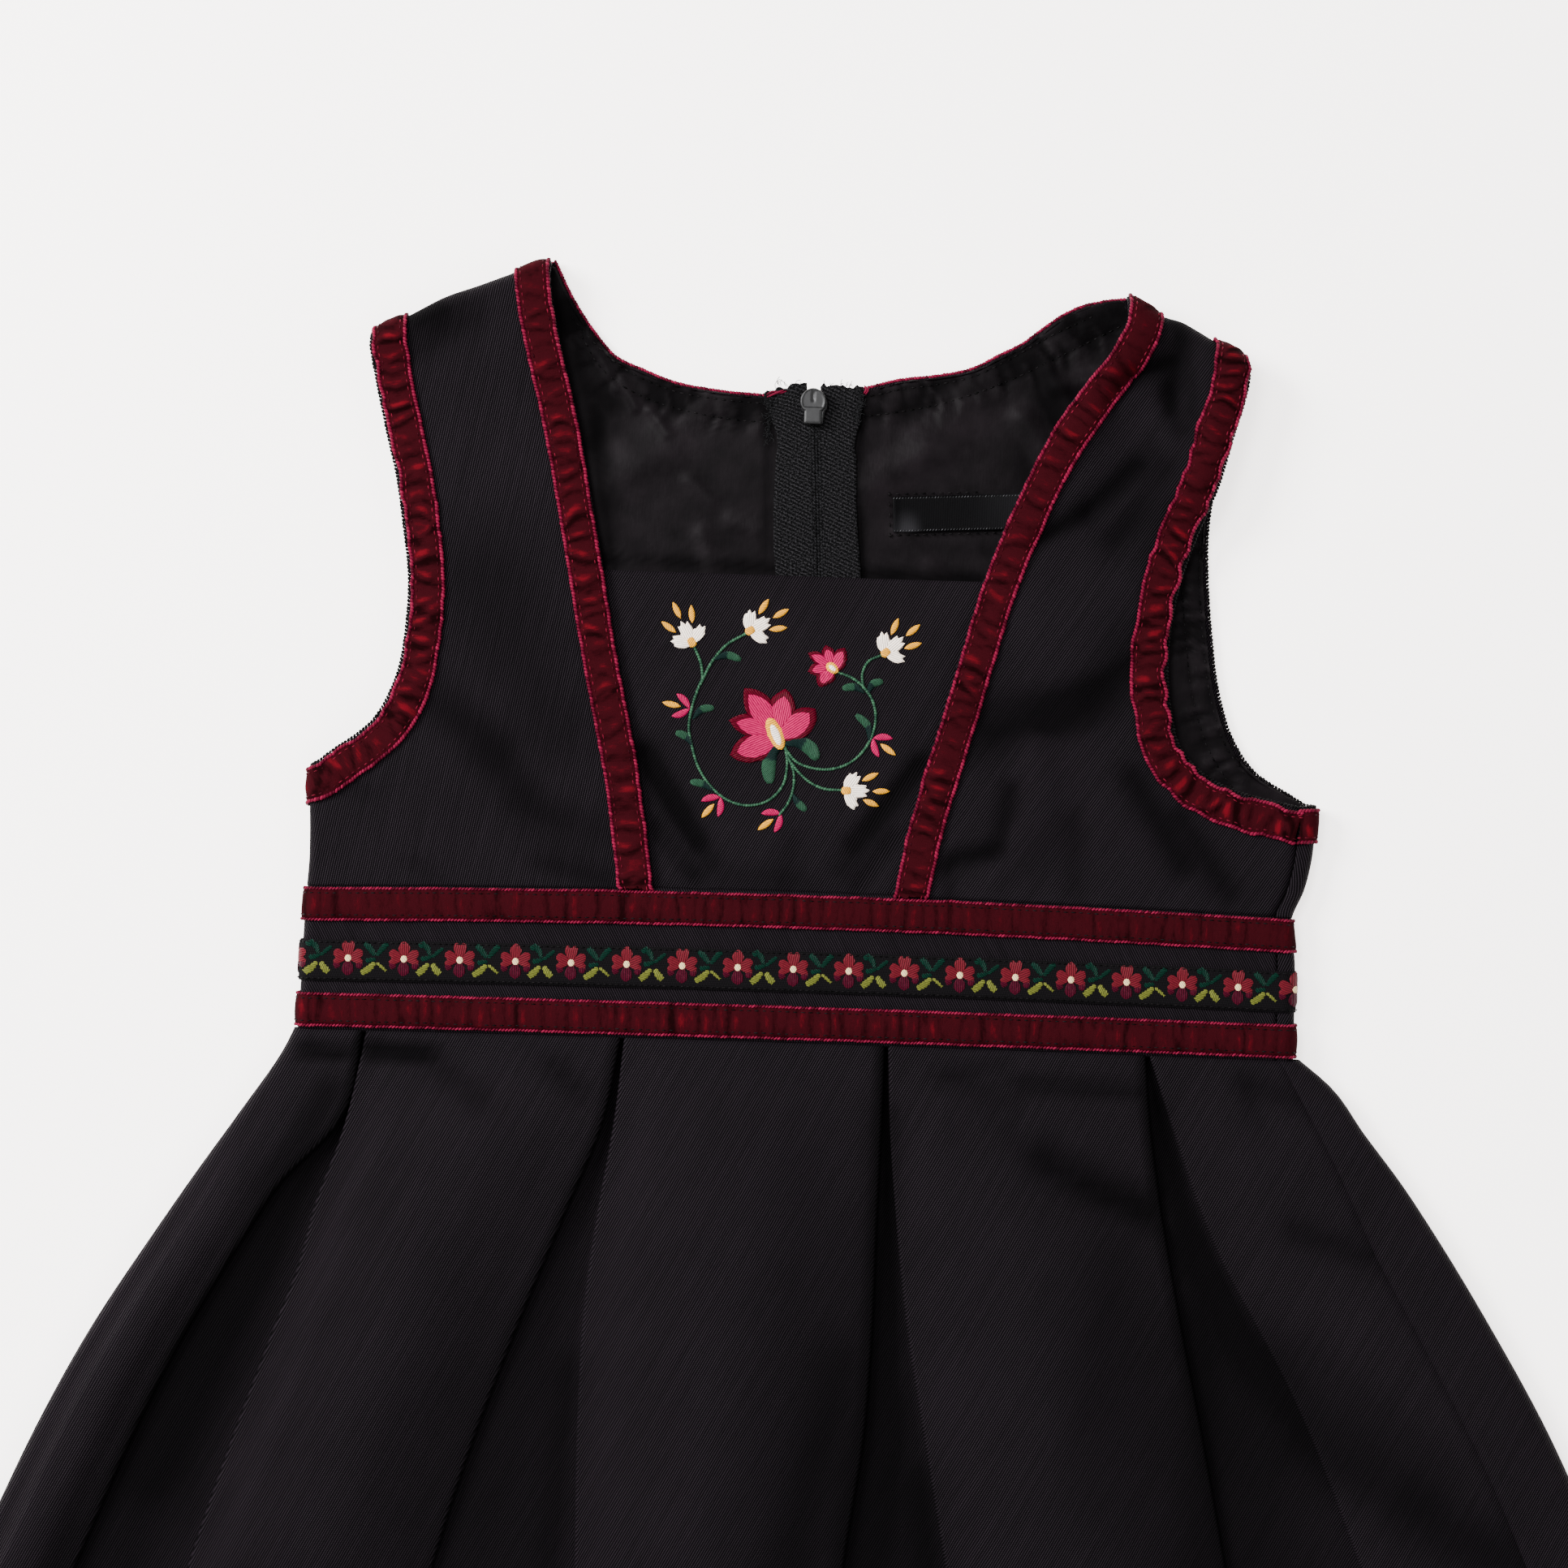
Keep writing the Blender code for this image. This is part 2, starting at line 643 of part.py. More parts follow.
def back_inner_rows(side, zip_rows):
    """Ends of a back half's rows: up the zip, then round the neck to the shoulder seam."""
    neck = BACK_NECK_LEFT if side < 0 else BACK_NECK_RIGHT
    top = neck[0][1]
    end_x = neck[-1][0]
    curve = smoothly([tuple(middle_edge(side, top))] + neck[1:-1]
                     + [(end_x, shoulder_seam(side, end_x) - GAP)])
    heights = list(np.linspace(foot_of(0), ZIP_LIFT_HEIGHTS[0], zip_rows - 2)) + list(ZIP_LIFT_HEIGHTS[1:])
    rows = [plain(*middle_edge(side, y)) for y in heights]
    rows.append([middle_edge(side, top - w) for w in (VELVET_WIDTH, VELVET_WIDTH / 2, 0)])
    rows += [edged(curve, k / BACK_NECK_ROWS, -side) for k in range(1, BACK_NECK_ROWS + 1)]
    return rows


def to_seam(grid, side):
    grid[-1] = [np.array([p[0], shoulder_seam(side, p[0]) - GAP]) for p in grid[-1]]
    return grid


def back_piece(side, grid, arm_from, neck_from):
    name = "left" if side < 0 else "right"
    last = len(grid[0]) - 1
    sheet(f"back_{name}", laid(grid, on_back), "black_twill")
    arm = only(grid, lambda i, j: j <= 2 and i >= arm_from)
    neck = only(grid, lambda i, j: j >= last - 2 and i >= neck_from)
    sheet(f"back_armhole_ribbon_{name}", laid(arm, on_back, ON_CLOTH), "velvet")
    sheet(f"back_neck_ribbon_{name}", laid(neck, on_back, ON_CLOTH), "velvet")


def back_left():
    corner_y = BACK_ARMHOLE_LEFT[0][1]

    def seam(y):
        return np.array([side_fold(-1, y) + LEFT_SEAM_BODICE + GAP, y])

    end_x = BACK_ARMHOLE_LEFT[-1][0]
    armhole = smoothly([tuple(seam(corner_y))] + BACK_ARMHOLE_LEFT[1:-1]
                       + [(end_x, shoulder_seam(-1, end_x) - GAP)])
    foot = foot_of(side_fold(-1, BAND_TOP))
    outer = [plain(*seam(y)) for y in (foot,) + SIDE_HEIGHTS]
    outer.append([seam(corner_y - w) for w in (VELVET_WIDTH, VELVET_WIDTH / 2, 0)])
    outer += [edged(armhole, k / ARMHOLE_ROWS, -1) for k in range(1, ARMHOLE_ROWS + 1)]
    inner = back_inner_rows(-1, len(outer) - 1 - BACK_NECK_ROWS)
    grid = to_seam(on_foot(panel(outer, inner, 5)), -1)
    back_piece(-1, grid, 1 + len(SIDE_HEIGHTS), len(outer) - 1 - BACK_NECK_ROWS)
    return grid


def back_right():
    corner_y = BACK_ARMHOLE_RIGHT[0][1]
    end_x = BACK_ARMHOLE_RIGHT[-1][0]
    armhole = smoothly([(side_fold(1, corner_y), corner_y)] + BACK_ARMHOLE_RIGHT[1:-1]
                       + [(end_x, shoulder_seam(1, end_x) - GAP)])
    outer, inner = wrapped_rows(1, corner_y, RIGHT_SEAM_BODICE, 0.8)
    wraps = len(outer)
    fold = side_fold(1, BAND_TOP)
    corner_x = zip_x(foot_of(0)) + zip_gap(0)
    for k in range(ARMHOLE_ROWS_TO_FOOT):
        x = fold + (corner_x - fold) * k / ARMHOLE_ROWS_TO_FOOT
        inner.append(plain(x, foot_of(x)))
    outer += [edged(armhole, k / ARMHOLE_ROWS, 1) for k in range(ARMHOLE_ROWS + 1)]
    inner += back_inner_rows(1, ARMHOLE_ROWS - ARMHOLE_ROWS_TO_FOOT - BACK_NECK_ROWS)
    grid = to_seam(beside_fold(panel(outer, inner, 6), 1, RIGHT_SEAM_BODICE), 1)
    back_piece(1, grid, 0, len(outer) - 1 - BACK_NECK_ROWS)
    return grid[wraps:]


def lining(side, grid):
    """Half the lining, from the back's own places, moved in from its edges and inside it."""
    inset = 1.2
    g = [list(row) for row in grid]
    for i, row in enumerate(g):
        known = [j for j, p in enumerate(row) if p is not None]
        for edge, inner in ((known[0], known[1]), (known[-1], known[-2])):
            step = grid[i][inner] - grid[i][edge]
            g[i][edge] = grid[i][edge] + inset * step / np.linalg.norm(step)
    for j in range(len(g[0])):
        g[-1][j] = g[-1][j] - np.array([0, 1.0])
    name = "left" if side < 0 else "right"
    sheet(f"lining_{name}", laid(g, on_back, -LAYER), "lining_satin")


# ---------------------------------------------------------------- waistband and its trimmings


def band_columns_front():
    fold = side_fold(-1, 0.0)
    seam = side_fold(1, 0.0) - RIGHT_SEAM_BODICE - GAP
    wrap = [fold - w for w in around_side(LEFT_SEAM_BODICE, ROLL_STEPS)]
    return wrap + list(np.linspace(fold, seam, 15))


def band_columns_back(side):
    fold = side_fold(side, 0.0)
    middle = zip_x(0.0) + side * ZIP_SLIT
    if side < 0:
        return list(np.linspace(fold + LEFT_SEAM_BODICE + GAP, middle, 7))
    wrap = [fold + w for w in around_side(RIGHT_SEAM_BODICE, ROLL_STEPS)]
    return list(np.linspace(middle, fold, 7)) + wrap[::-1]


def follow_fold(x, y):
    """Moves a column that is given at the middle of the band along with its side fold."""
    side = 1 if x > 0 else -1
    shift = side_fold(side, y) - side_fold(side, 0.0)
    return x + shift * ease(abs(x) / BAND_HALF * 2 - 1)


BAND_ROWS = ("foot", "lower ribbon", "floral foot", "floral top", "upper ribbon", "top")
BAND_TRIMS = [  # name, finish, first and last of the band's rows that it lies on
    ("lower", "velvet", 0, 1),
    ("floral", "floral_band", 2, 3),
    ("upper", "velvet", 4, 5),
]


def band_row(row, x):
    """The height of one of the band's rows, which lie at the edges of its ribbons."""
    top, foot = band_top(x), band_foot(x)
    floral = FLORAL_TOP + (top - BAND_TOP) / 2
    heights = (foot, foot + VELVET_WIDTH, floral - FLORAL_WIDTH, floral, top - VELVET_WIDTH, top)
    return dict(zip(BAND_ROWS, heights))[row]


def band_grid(columns):
    return [[np.array([follow_fold(x, band_row(row, x)), band_row(row, x)]) for x in columns]
            for row in BAND_ROWS]


def all_round():
    """The grid of the whole waist as one length, from the zip round both sides and back to it.
    Places on the back are given as the front's cloth would reach them past the side folds."""
    left, right = band_grid(band_columns_back(-1)), band_grid(band_columns_back(1))
    front = band_grid(band_columns_front())

    def reached(p, side):
        return np.array([2 * side_fold(side, p[1]) + side * math.pi * SIDE_TURN - p[0], p[1]])

    return [
        [reached(p, -1) for p in left[i][::-1]] + front[i] + [reached(p, 1) for p in right[i][::-1]]
        for i in range(len(BAND_ROWS))
    ]


def waistband():
    for place, columns, lay in (
        ("front", band_columns_front(), on_front),
        ("back_left", band_columns_back(-1), on_back),
        ("back_right", band_columns_back(1), on_back),
    ):
        sheet(f"waistband_{place}", laid(band_grid(columns), lay), "black_twill")
    whole = all_round()
    for trim, finish, first, last in BAND_TRIMS:
        sheet(f"waist_{trim}", laid(whole[first:last + 1], on_front, ON_CLOTH), finish)


# ---------------------------------------------------------------- skirt

SKIRT_CURVES = {name: column_of(points, 1) for name, points in SKIRT_LINES.items()}
SKIRT_TURN = (FRONT_Z - SKIRT_BACK_Z) / 2


def line_point(name, v):
    """A place on a skirt line, a share of the way from the waist to the hem."""
    waist = band_foot(SKIRT_LINES[name][0][1]) - SEAM_AT_WAIST
    hem = SKIRT_LINES[name][-1][0]
    y = waist + (hem - waist) * v
    return SKIRT_CURVES[name](y), y


def skirt_front_z(x, y):
    fade = ease((BAND_FOOT - y) / 95.0)
    return FRONT_Z + ridges(SKIRT_RIDGES, x, y) * fade


def on_skirt_front(x, y, lift):
    return x, y, skirt_front_z(x, y) + lift


def depth_at(depth, left, right, full):
    """How deep a pleat's inner fold lies. It runs out as the pleat opens."""
    return max(LEAST_DEPTH, depth * (1 - (right[0] - left[0]) / full))


def pleat(left, right, depth_left, depth_right, full):
    """One box pleat across: (x, y, lift) from its left fold, under, and out to its right fold."""
    tip = LAYER / 2
    lifts = [0.0, -tip, -LAYER, -LAYER, -LAYER - tip, -2 * LAYER, -2 * LAYER]

    def half(x, y, depth, way):
        d = depth_at(depth, left, right, full)
        folded = [0.0, tip, 0.0, -d, -d - tip, -d, 0.0]
        return [(x + way * f, y, lift) for f, lift in zip(folded, lifts)]

    return half(*left, depth_left, 1) + half(*right, depth_right, -1)[::-1]


def span(start, end, after, before):
    """Places on a panel between two folds: over the inner fold at each end, and in the middle."""
    (x0, y0), (x1, y1) = start, end
    marks = [after / (x1 - x0), None, 1 - before / (x1 - x0)]
    marks[1] = (marks[0] + marks[2]) / 2
    return [(x0 + (x1 - x0) * m, y0 + (y1 - y0) * m, 0.0) for m in marks]


def skirt_front():
    grid = []
    for i in range(SKIRT_ROWS + 1):
        v = (i / SKIRT_ROWS) ** 1.1
        x_side, y_side = line_point("left side", v)
        fold = (x_side + SKIRT_TURN + WALL / 2, y_side)
        reach = LEFT_SEAM_SKIRT[0] + (LEFT_SEAM_SKIRT[1] - LEFT_SEAM_SKIRT[0]) * ease(v * 3)
        lift = skirt_front_z(*fold)
        radius = (lift - SKIRT_BACK_Z) / 2
        row = []
        for w in [math.pi * radius + reach] + [math.pi * radius * k / 4 for k in range(4, 0, -1)]:
            out, z = turned(w, lift, SKIRT_BACK_Z)
            row.append((fold[0] - out, fold[1], z))
        flat = [fold + (0.0,)]
        previous, behind = fold, 0.0
        for name, depth_left, depth_right, full in PLEATS:
            left, right = line_point(f"{name} left", v), line_point(f"{name} right", v)
            ahead = depth_at(depth_left, left, right, full)
            marks = span(previous, left, behind, ahead)
            flat += marks[2:] if name == "a" else marks
            flat += pleat(left, right, depth_left, depth_right, full)
            previous, behind = right, depth_at(depth_right, left, right, full)
        seam = line_point("right seam", v)
        flat += span(previous, seam, behind, 0.0)[:2] + [seam + (0.0,)]
        row += [on_skirt_front(*p) for p in flat]
        grid.append(row)
    sheet("skirt_front", grid, "black_twill")


def hem_y(x):
    return HEM_FOOT + HEM_RISE * (x / HEM_HALF) ** 2


def back_line(x_waist, x_hem, v):
    """A place on a line of the skirt's back, which spreads as the front does."""
    waist = band_foot(x_waist) - SEAM_AT_WAIST
    y = waist + (hem_y(x_hem) - waist) * v
    spread = 1.0 - (1.0 - v) ** 1.35
    return x_waist + (x_hem - x_waist) * spread, y


def skirt_back(side):
    """Half the back of the skirt. Its outer layer lies on the surface and its pleats fold inwards.
    On the right it turns up over the side and ends at the seam on the front."""
    pleats = [p for p in BACK_PLEATS if p[0] * side > 0]
    grid = []
    for i in range(SKIRT_ROWS + 1):
        v = (i / SKIRT_ROWS) ** 1.1
        waist = band_foot(0) - SEAM_AT_WAIST
        centre = (zip_x(-24.0) + side * ZIP_SLIT, waist + (HEM_FOOT - waist) * v)
        if side < 0:
            x_side, y_side = line_point("left side", v)
            fold = x_side + SKIRT_TURN + WALL / 2
            reach = LEFT_SEAM_SKIRT[0] + (LEFT_SEAM_SKIRT[1] - LEFT_SEAM_SKIRT[0]) * ease(v * 3)
            previous = (fold + reach + GAP, y_side)
        else:
            previous = centre
        flat = [previous + (0.0,)]
        behind = 0.0
        for x_waist, x_hem, open_waist, open_hem in pleats:
            middle_x, middle_y = back_line(x_waist, x_hem, v)
            half = (open_waist + (open_hem - open_waist) * v**1.2) / 2
            left, right = (middle_x - half, middle_y), (middle_x + half, middle_y)
            depth = depth_at(BACK_PLEAT_DEPTH, left, right, BACK_PLEAT_FULL)
            marks = span(previous, left, behind, min(depth, left[0] - previous[0] - 0.5))
            flat += marks if behind else marks[2:]
            flat += pleat(left, right, BACK_PLEAT_DEPTH, BACK_PLEAT_DEPTH, BACK_PLEAT_FULL)
            previous, behind = right, depth
        if side < 0:
            flat += span(previous, centre, behind, 0.0)[:2] + [centre + (0.0,)]
            grid.append([(x, y, SKIRT_BACK_Z - lift) for x, y, lift in flat])
            continue
        x_side, y_side = line_point("right side", v)
        fold = (x_side - SKIRT_TURN - WALL / 2, y_side)
        flat += span(previous, fold, min(behind, fold[0] - previous[0] - 0.5), 0.0)[:1] + [fold + (0.0,)]
        row = [(x, y, SKIRT_BACK_Z - lift) for x, y, lift in flat]
        seam_x = line_point("right seam", v)[0] + GAP
        top = skirt_front_z(*fold)
        radius = (top - SKIRT_BACK_Z) / 2
        for k in range(1, 5):
            out, z = turned(math.pi * radius * k / 4, SKIRT_BACK_Z, top)
            row.append((fold[0] + out, fold[1], z))
        for k in (0.5, 1.0):
            x = fold[0] + (seam_x - fold[0]) * k
            row.append((x, y_side, skirt_front_z(x, y_side)))
        grid.append(row)
    sheet("skirt_back_left" if side < 0 else "skirt_back_right", grid, "black_twill")


# ---------------------------------------------------------------- zip and label


def zip_tape(side, name):
    """One tape, on the lining, then on the waistband and then on the skirt's back."""
    grid = []
    for y in [TAPE_TOP_Y, 161.0, 157.5, 154.0, 150.0, 146.0, 138.0, 121.0, 104.0, 60.0, 30.0, 21.0, 8.0,
              -8.0, -23.0, -36.0, ZIP_END_Y]:
        near = zip_x(y) + side * (zip_gap(y) + (0.2 if y > 0 else 0.0))
        far = zip_x(y) + side * (TAPE_WIDTH + zip_gap(y) - ZIP_SLIT)
        on_lining, on_band = ease((y - 8.0) / 13.0), ease((y + 36.0) / 13.0)
        row = []
        for k in range(3):
            x = near + (far - near) * k / 2
            skirt, band = SKIRT_BACK_Z + LAYER, BACK_Z + LAYER
            inside = back_z(x, min(y, ZIP_TOP_Y)) + 2 * LAYER
            low = skirt + (band - skirt) * on_band
            row.append((x, y, low + (inside - low) * on_lining))
        grid.append(row if side > 0 else row[::-1])
    sheet(name, grid[::-1], "zip_tape")


def box_mesh(bm, low, high):
    made = bmesh.ops.create_cube(bm, size=1)["verts"]
    for vertex in made:
        vertex.co = [lo + (hi - lo) * (c + 0.5) for c, lo, hi in zip(vertex.co, low, high)]
    return made


def outline_plate(bm, points, z_low, z_high):
    """A flat plate with the given outline."""
    foot = [bm.verts.new((x, y, z_low)) for x, y in points]
    face = bm.faces.new(foot)
    made = bmesh.ops.extrude_face_region(bm, geom=[face])
    for vertex in (v for v in made["geom"] if isinstance(v, bmesh.types.BMVert)):
        vertex.co.z = z_high
    bmesh.ops.recalc_face_normals(bm, faces=bm.faces)


def finish_mesh(name, bm, finish):
    for vertex in bm.verts:
        vertex.co = ((vertex.co.x + LAY_X) * MM, (vertex.co.y + LAY_Y) * MM, vertex.co.z * MM)
    mesh = bpy.data.meshes.new(name)
    bm.to_mesh(mesh)
    bm.free()
    return add_object(name, mesh, finish)


SLIDER_X, SLIDER_Y = -0.7, 157.4
SLIDER_HEAD = 3.7
SLIDER_TAIL = 2.5
SLIDER_TOP_Y, SLIDER_TAIL_Y = 162.2, 152.8
PIVOT_Y, PIVOT_Z = 157.4, 1.2
BAR_HALF = 0.4
BRIDGE_HALF = 0.5
BRIDGE_REACH = 3.0
LEG_HALF = 0.45
PULL_LENGTH = 19.0
PULL_HALF = 2.6
PULL_TILT = math.radians(1.9)


def slider():
    """The zip's slider: a body on the inside, a neck through the slit, and a bridge outside that
    the pull hangs on."""
    body_foot = back_z(SLIDER_X, SLIDER_Y) + 2 * LAYER + WALL / 2 + GAP
    bm = bmesh.new()
    head = [
        (SLIDER_X + SLIDER_HEAD * math.cos(a), SLIDER_TOP_Y - SLIDER_HEAD + SLIDER_HEAD * math.sin(a))
        for a in np.linspace(math.radians(-38), math.radians(218), 13)
    ]
    tail = [(SLIDER_X - SLIDER_TAIL, SLIDER_TAIL_Y), (SLIDER_X + SLIDER_TAIL, SLIDER_TAIL_Y)]
    outline_plate(bm, head + tail, body_foot, body_foot + 1.8)
    body = finish_mesh("zip_slider", bm, "slider_metal")
    bevel = body.modifiers.new("soft edge", "BEVEL")
    bevel.width, bevel.segments, bevel.limit_method = 0.35 * MM, 1, "ANGLE"
    under = PIVOT_Z + 0.75
    crossbar = (0.1, PIVOT_Z - 0.62)
    boxes = (
        ("neck", -0.8, 0.8, PIVOT_Y - BRIDGE_REACH - LEG_HALF, PIVOT_Y + BRIDGE_REACH + LEG_HALF,
         under, body_foot + 0.6),
        ("lower_leg", -BRIDGE_HALF, BRIDGE_HALF, PIVOT_Y - BRIDGE_REACH - LEG_HALF,
         PIVOT_Y - BRIDGE_REACH + LEG_HALF, crossbar[0], under + 0.3),
        ("upper_leg", -BRIDGE_HALF, BRIDGE_HALF, PIVOT_Y + BRIDGE_REACH - LEG_HALF,
         PIVOT_Y + BRIDGE_REACH + LEG_HALF, crossbar[0], under + 0.3),
        ("crossbar", -BRIDGE_HALF, BRIDGE_HALF, PIVOT_Y - BRIDGE_REACH, PIVOT_Y + BRIDGE_REACH,
         *crossbar),
    )
    for name, x0, x1, y0, y1, z0, z1 in boxes:
        piece = bmesh.new()
        box_mesh(piece, (SLIDER_X + x0, y0, z0), (SLIDER_X + x1, y1, z1))
        tool = finish_mesh(f"slider_{name}", piece, "slider_metal")
        tool.hide_render = True
        tool.display_type = "WIRE"
        join = body.modifiers.new(name, "BOOLEAN")
        join.operation, join.object = "UNION", tool


def pull():
    """The pull: a leaf with a window at its head, whose bar turns in the slider's bridge."""
    bm = bmesh.new()
    head_y = BAR_HALF
    shoulder, window_end = 3.4, -6.2
    outline = [(-1.7, head_y), (1.7, head_y)]
    outline += [(1.9, -3.0), (2.1, -8.0), (PULL_HALF, -14.0)]
    outline += [
        (PULL_HALF * math.cos(a), -PULL_LENGTH + PULL_HALF + PULL_HALF * math.sin(a))
        for a in np.linspace(0, -math.pi, 9)
    ]
    outline += [(-PULL_HALF, -14.0), (-2.1, -8.0), (-1.9, -3.0)]
    outline_plate(bm, outline[::-1], -BAR_HALF, BAR_HALF)
    window = bmesh.new()
    box_mesh(window, (-0.95, window_end, -shoulder), (0.95, -BAR_HALF, shoulder))

    def placed(mesh):
        for v in mesh.verts:
            y, z = v.co.y, v.co.z
            v.co.y = y * math.cos(PULL_TILT) - z * math.sin(PULL_TILT) + PIVOT_Y
            v.co.z = y * math.sin(PULL_TILT) + z * math.cos(PULL_TILT) + PIVOT_Z
            v.co.x += SLIDER_X
        return mesh

    leaf = finish_mesh("zip_pull", placed(bm), "slider_metal")
    cutter = finish_mesh("pull_window", placed(window), "slider_metal")
    cutter.hide_render = True
    cutter.display_type = "WIRE"
    cut = leaf.modifiers.new("window", "BOOLEAN")
    cut.operation, cut.object = "DIFFERENCE", cutter


LABEL_CORNER = (23.2, 122.8)
LABEL_SIZE = (46.0, 10.2)
LABEL_TILT = math.radians(3.4)


def label():
    """A blank label on the right half of the lining."""
    grid = []
    for k in range(3):
        row = []
        for j in range(7):
            u, v = LABEL_SIZE[0] * j / 6, LABEL_SIZE[1] * k / 2
            x = LABEL_CORNER[0] + u * math.cos(LABEL_TILT) - v * math.sin(LABEL_TILT)
            y = LABEL_CORNER[1] + u * math.sin(LABEL_TILT) + v * math.cos(LABEL_TILT)
            row.append((x, y, back_z(x, y) + 2 * LAYER))
        grid.append(row)
    sheet("label", grid, "label_satin")


def main():
    start()
    front_left()
    front_right()
    insert()
    lining(-1, back_left())
    lining(1, back_right())
    zip_tape(-1, "zip_tape_left")
    zip_tape(1, "zip_tape_right")
    waistband()
    skirt_front()
    skirt_back(-1)
    skirt_back(1)
    slider()
    pull()
    label()


main()
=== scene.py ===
"""The looks of a girl's folk-dress pinafore that lies on its back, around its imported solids.

Places are in millimetres on the garment as it lies: x to the right, y up towards the neck, from the
middle of the waistband, and z up from the surface. Cloth is laid on the front or the back layer of
the flattened garment and moved in or out, as in the solids.
"""

import collections
import math

import bpy
import numpy as np
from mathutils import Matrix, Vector


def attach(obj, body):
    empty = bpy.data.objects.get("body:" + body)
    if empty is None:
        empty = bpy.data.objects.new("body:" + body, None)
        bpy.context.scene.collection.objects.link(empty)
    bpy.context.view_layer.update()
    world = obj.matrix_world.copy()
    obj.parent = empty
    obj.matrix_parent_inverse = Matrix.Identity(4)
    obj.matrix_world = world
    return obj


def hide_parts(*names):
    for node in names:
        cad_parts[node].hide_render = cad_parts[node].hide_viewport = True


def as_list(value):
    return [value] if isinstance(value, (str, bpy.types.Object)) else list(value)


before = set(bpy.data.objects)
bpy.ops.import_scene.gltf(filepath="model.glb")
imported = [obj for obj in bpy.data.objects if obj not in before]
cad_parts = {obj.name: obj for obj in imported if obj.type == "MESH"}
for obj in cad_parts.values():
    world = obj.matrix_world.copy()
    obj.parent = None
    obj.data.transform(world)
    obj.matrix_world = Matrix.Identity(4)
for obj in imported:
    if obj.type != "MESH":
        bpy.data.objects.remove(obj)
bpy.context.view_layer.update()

MM = 0.001
WALL = 1.0
GAP = 0.3
LAYER = WALL + GAP
BACK_Z = WALL / 2 + LAYER + 0.1
SKIRT_BACK_Z = WALL / 2
FRONT_Z = 7.2
LAY_X = -3.0
LAY_Y = 93.0
CLOTH = 0.8
SKIRT_CLOTH = 0.75
TUCK = 0.9  # how far an edge tucks in at its seam
WORD = {-1: "left", 1: "right"}  # the sides by their sign
VELVET_WIDTH = 10.0
FLORAL_WIDTH = 12.0
FLORAL_TOP = 2.0
BAND_TOP = 18.0
BAND_TOP_BOW = 2.4
BAND_FOOT = -23.9
BAND_FOOT_BOW = 0.6
BAND_HALF = 142.0
ZIP_TOP_X, ZIP_TOP_Y = -0.9, 161.0
ZIP_LEAN = 0.055
ZIP_END_Y = -76.0
TAPE_WIDTH = 12.0
TAPE_TOP_Y = 164.5
ZIP_SLIT = 0.45
ZIP_SPREAD, ZIP_SPREAD_Y, ZIP_SPREAD_LENGTH = 2.0, 146.0, 8.0
ZIP_LIFT, ZIP_LIFT_Y = 1.9, 104.0
ZIP_LIFT_WIDTH, ZIP_LIFT_LENGTH = 30.0, 34.0
TAPES_PART_Y = 154.0
LEFT_SEAM_BODICE = 6.0
RIGHT_SEAM_BODICE = 2.1
UNDERARM_DIP = {-1: 4.6, 1: 0.8}  # how much lower an armhole lies where it turns over its side
UNDERARM_END = 80.0
INSERT_TOP = 109.3
INSERT_UNDER = 5.0
SHOULDER_SEAMS = {-1: ((-128.0, 168.2), (-74.0, 189.4)), 1: ((84.0, 184.5), (126.0, 163.6))}

# Outermost places of the bodice cloth at the sides, by height.
BODICE_SIDES = [  # y, left, right
    (-30, -143.4, 143.2), (-12, -142.9, 142.8), (4, -142.5, 142.4), (16, -141.9, 141.4),
    (24, -141.5, 144.6), (32, -141.6, 146.4), (42, -142, 147.2), (54, -142.2, 147.4),
]

# Outermost places of the cloth over the shoulders, from left to right.
LEFT_SHOULDER = [  # x, y
    (-132, 172.5), (-127, 176), (-119, 179.6), (-107, 186.2), (-98, 189.6), (-90, 192.8), (-82, 196),
    (-78, 197.2), (-72, 197.9),
]
RIGHT_SHOULDER = [  # x, y
    (70, 188.4), (76, 191), (82, 192.3), (88, 192.3), (92.8, 190), (96.6, 187.6), (100, 186.6),
    (103.5, 185.7), (108, 183.3), (113, 180.4), (118, 178.4), (123, 175), (128, 170),
]

# Free edges of the front, from the waist or the underarm up to the shoulder fold.
FRONT_NECK_LEFT = [  # x, y
    (-42, 17.4), (-47, 49.6), (-54.5, 84.3), (-61.4, 119), (-68.6, 153.6), (-74, 174.4), (-76.5, 186),
    (-77.3, 191.5),
]
FRONT_NECK_RIGHT = [  # x, y
    (26.4, 18.2), (30.1, 38.2), (35.7, 59.4), (43.2, 87.5), (51.3, 115.7), (59.7, 136.9), (66.4, 151.1),
    (75.5, 165.4), (83, 175.8), (87.6, 184.2),
]
FRONT_ARMHOLE_LEFT = [  # x, y
    (-139, 51.6), (-134.5, 55.2), (-128.6, 59.4), (-123.6, 64), (-119.8, 70.5), (-117.1, 77.5),
    (-115, 91.6), (-114.7, 105.6), (-116.6, 119.5), (-118.9, 133.3), (-122.4, 147.2), (-125.6, 161),
    (-127.6, 170.6),
]
FRONT_ARMHOLE_RIGHT = [  # x, y
    (142, 47.3), (134.7, 48.7), (121.4, 52.2), (113.1, 56.6), (107.3, 62.7), (103.4, 75.6), (102.4, 92),
    (105, 110.5), (109.4, 124.6), (114.8, 138.8), (118.5, 152.8), (121.6, 164), (122.6, 169),
]

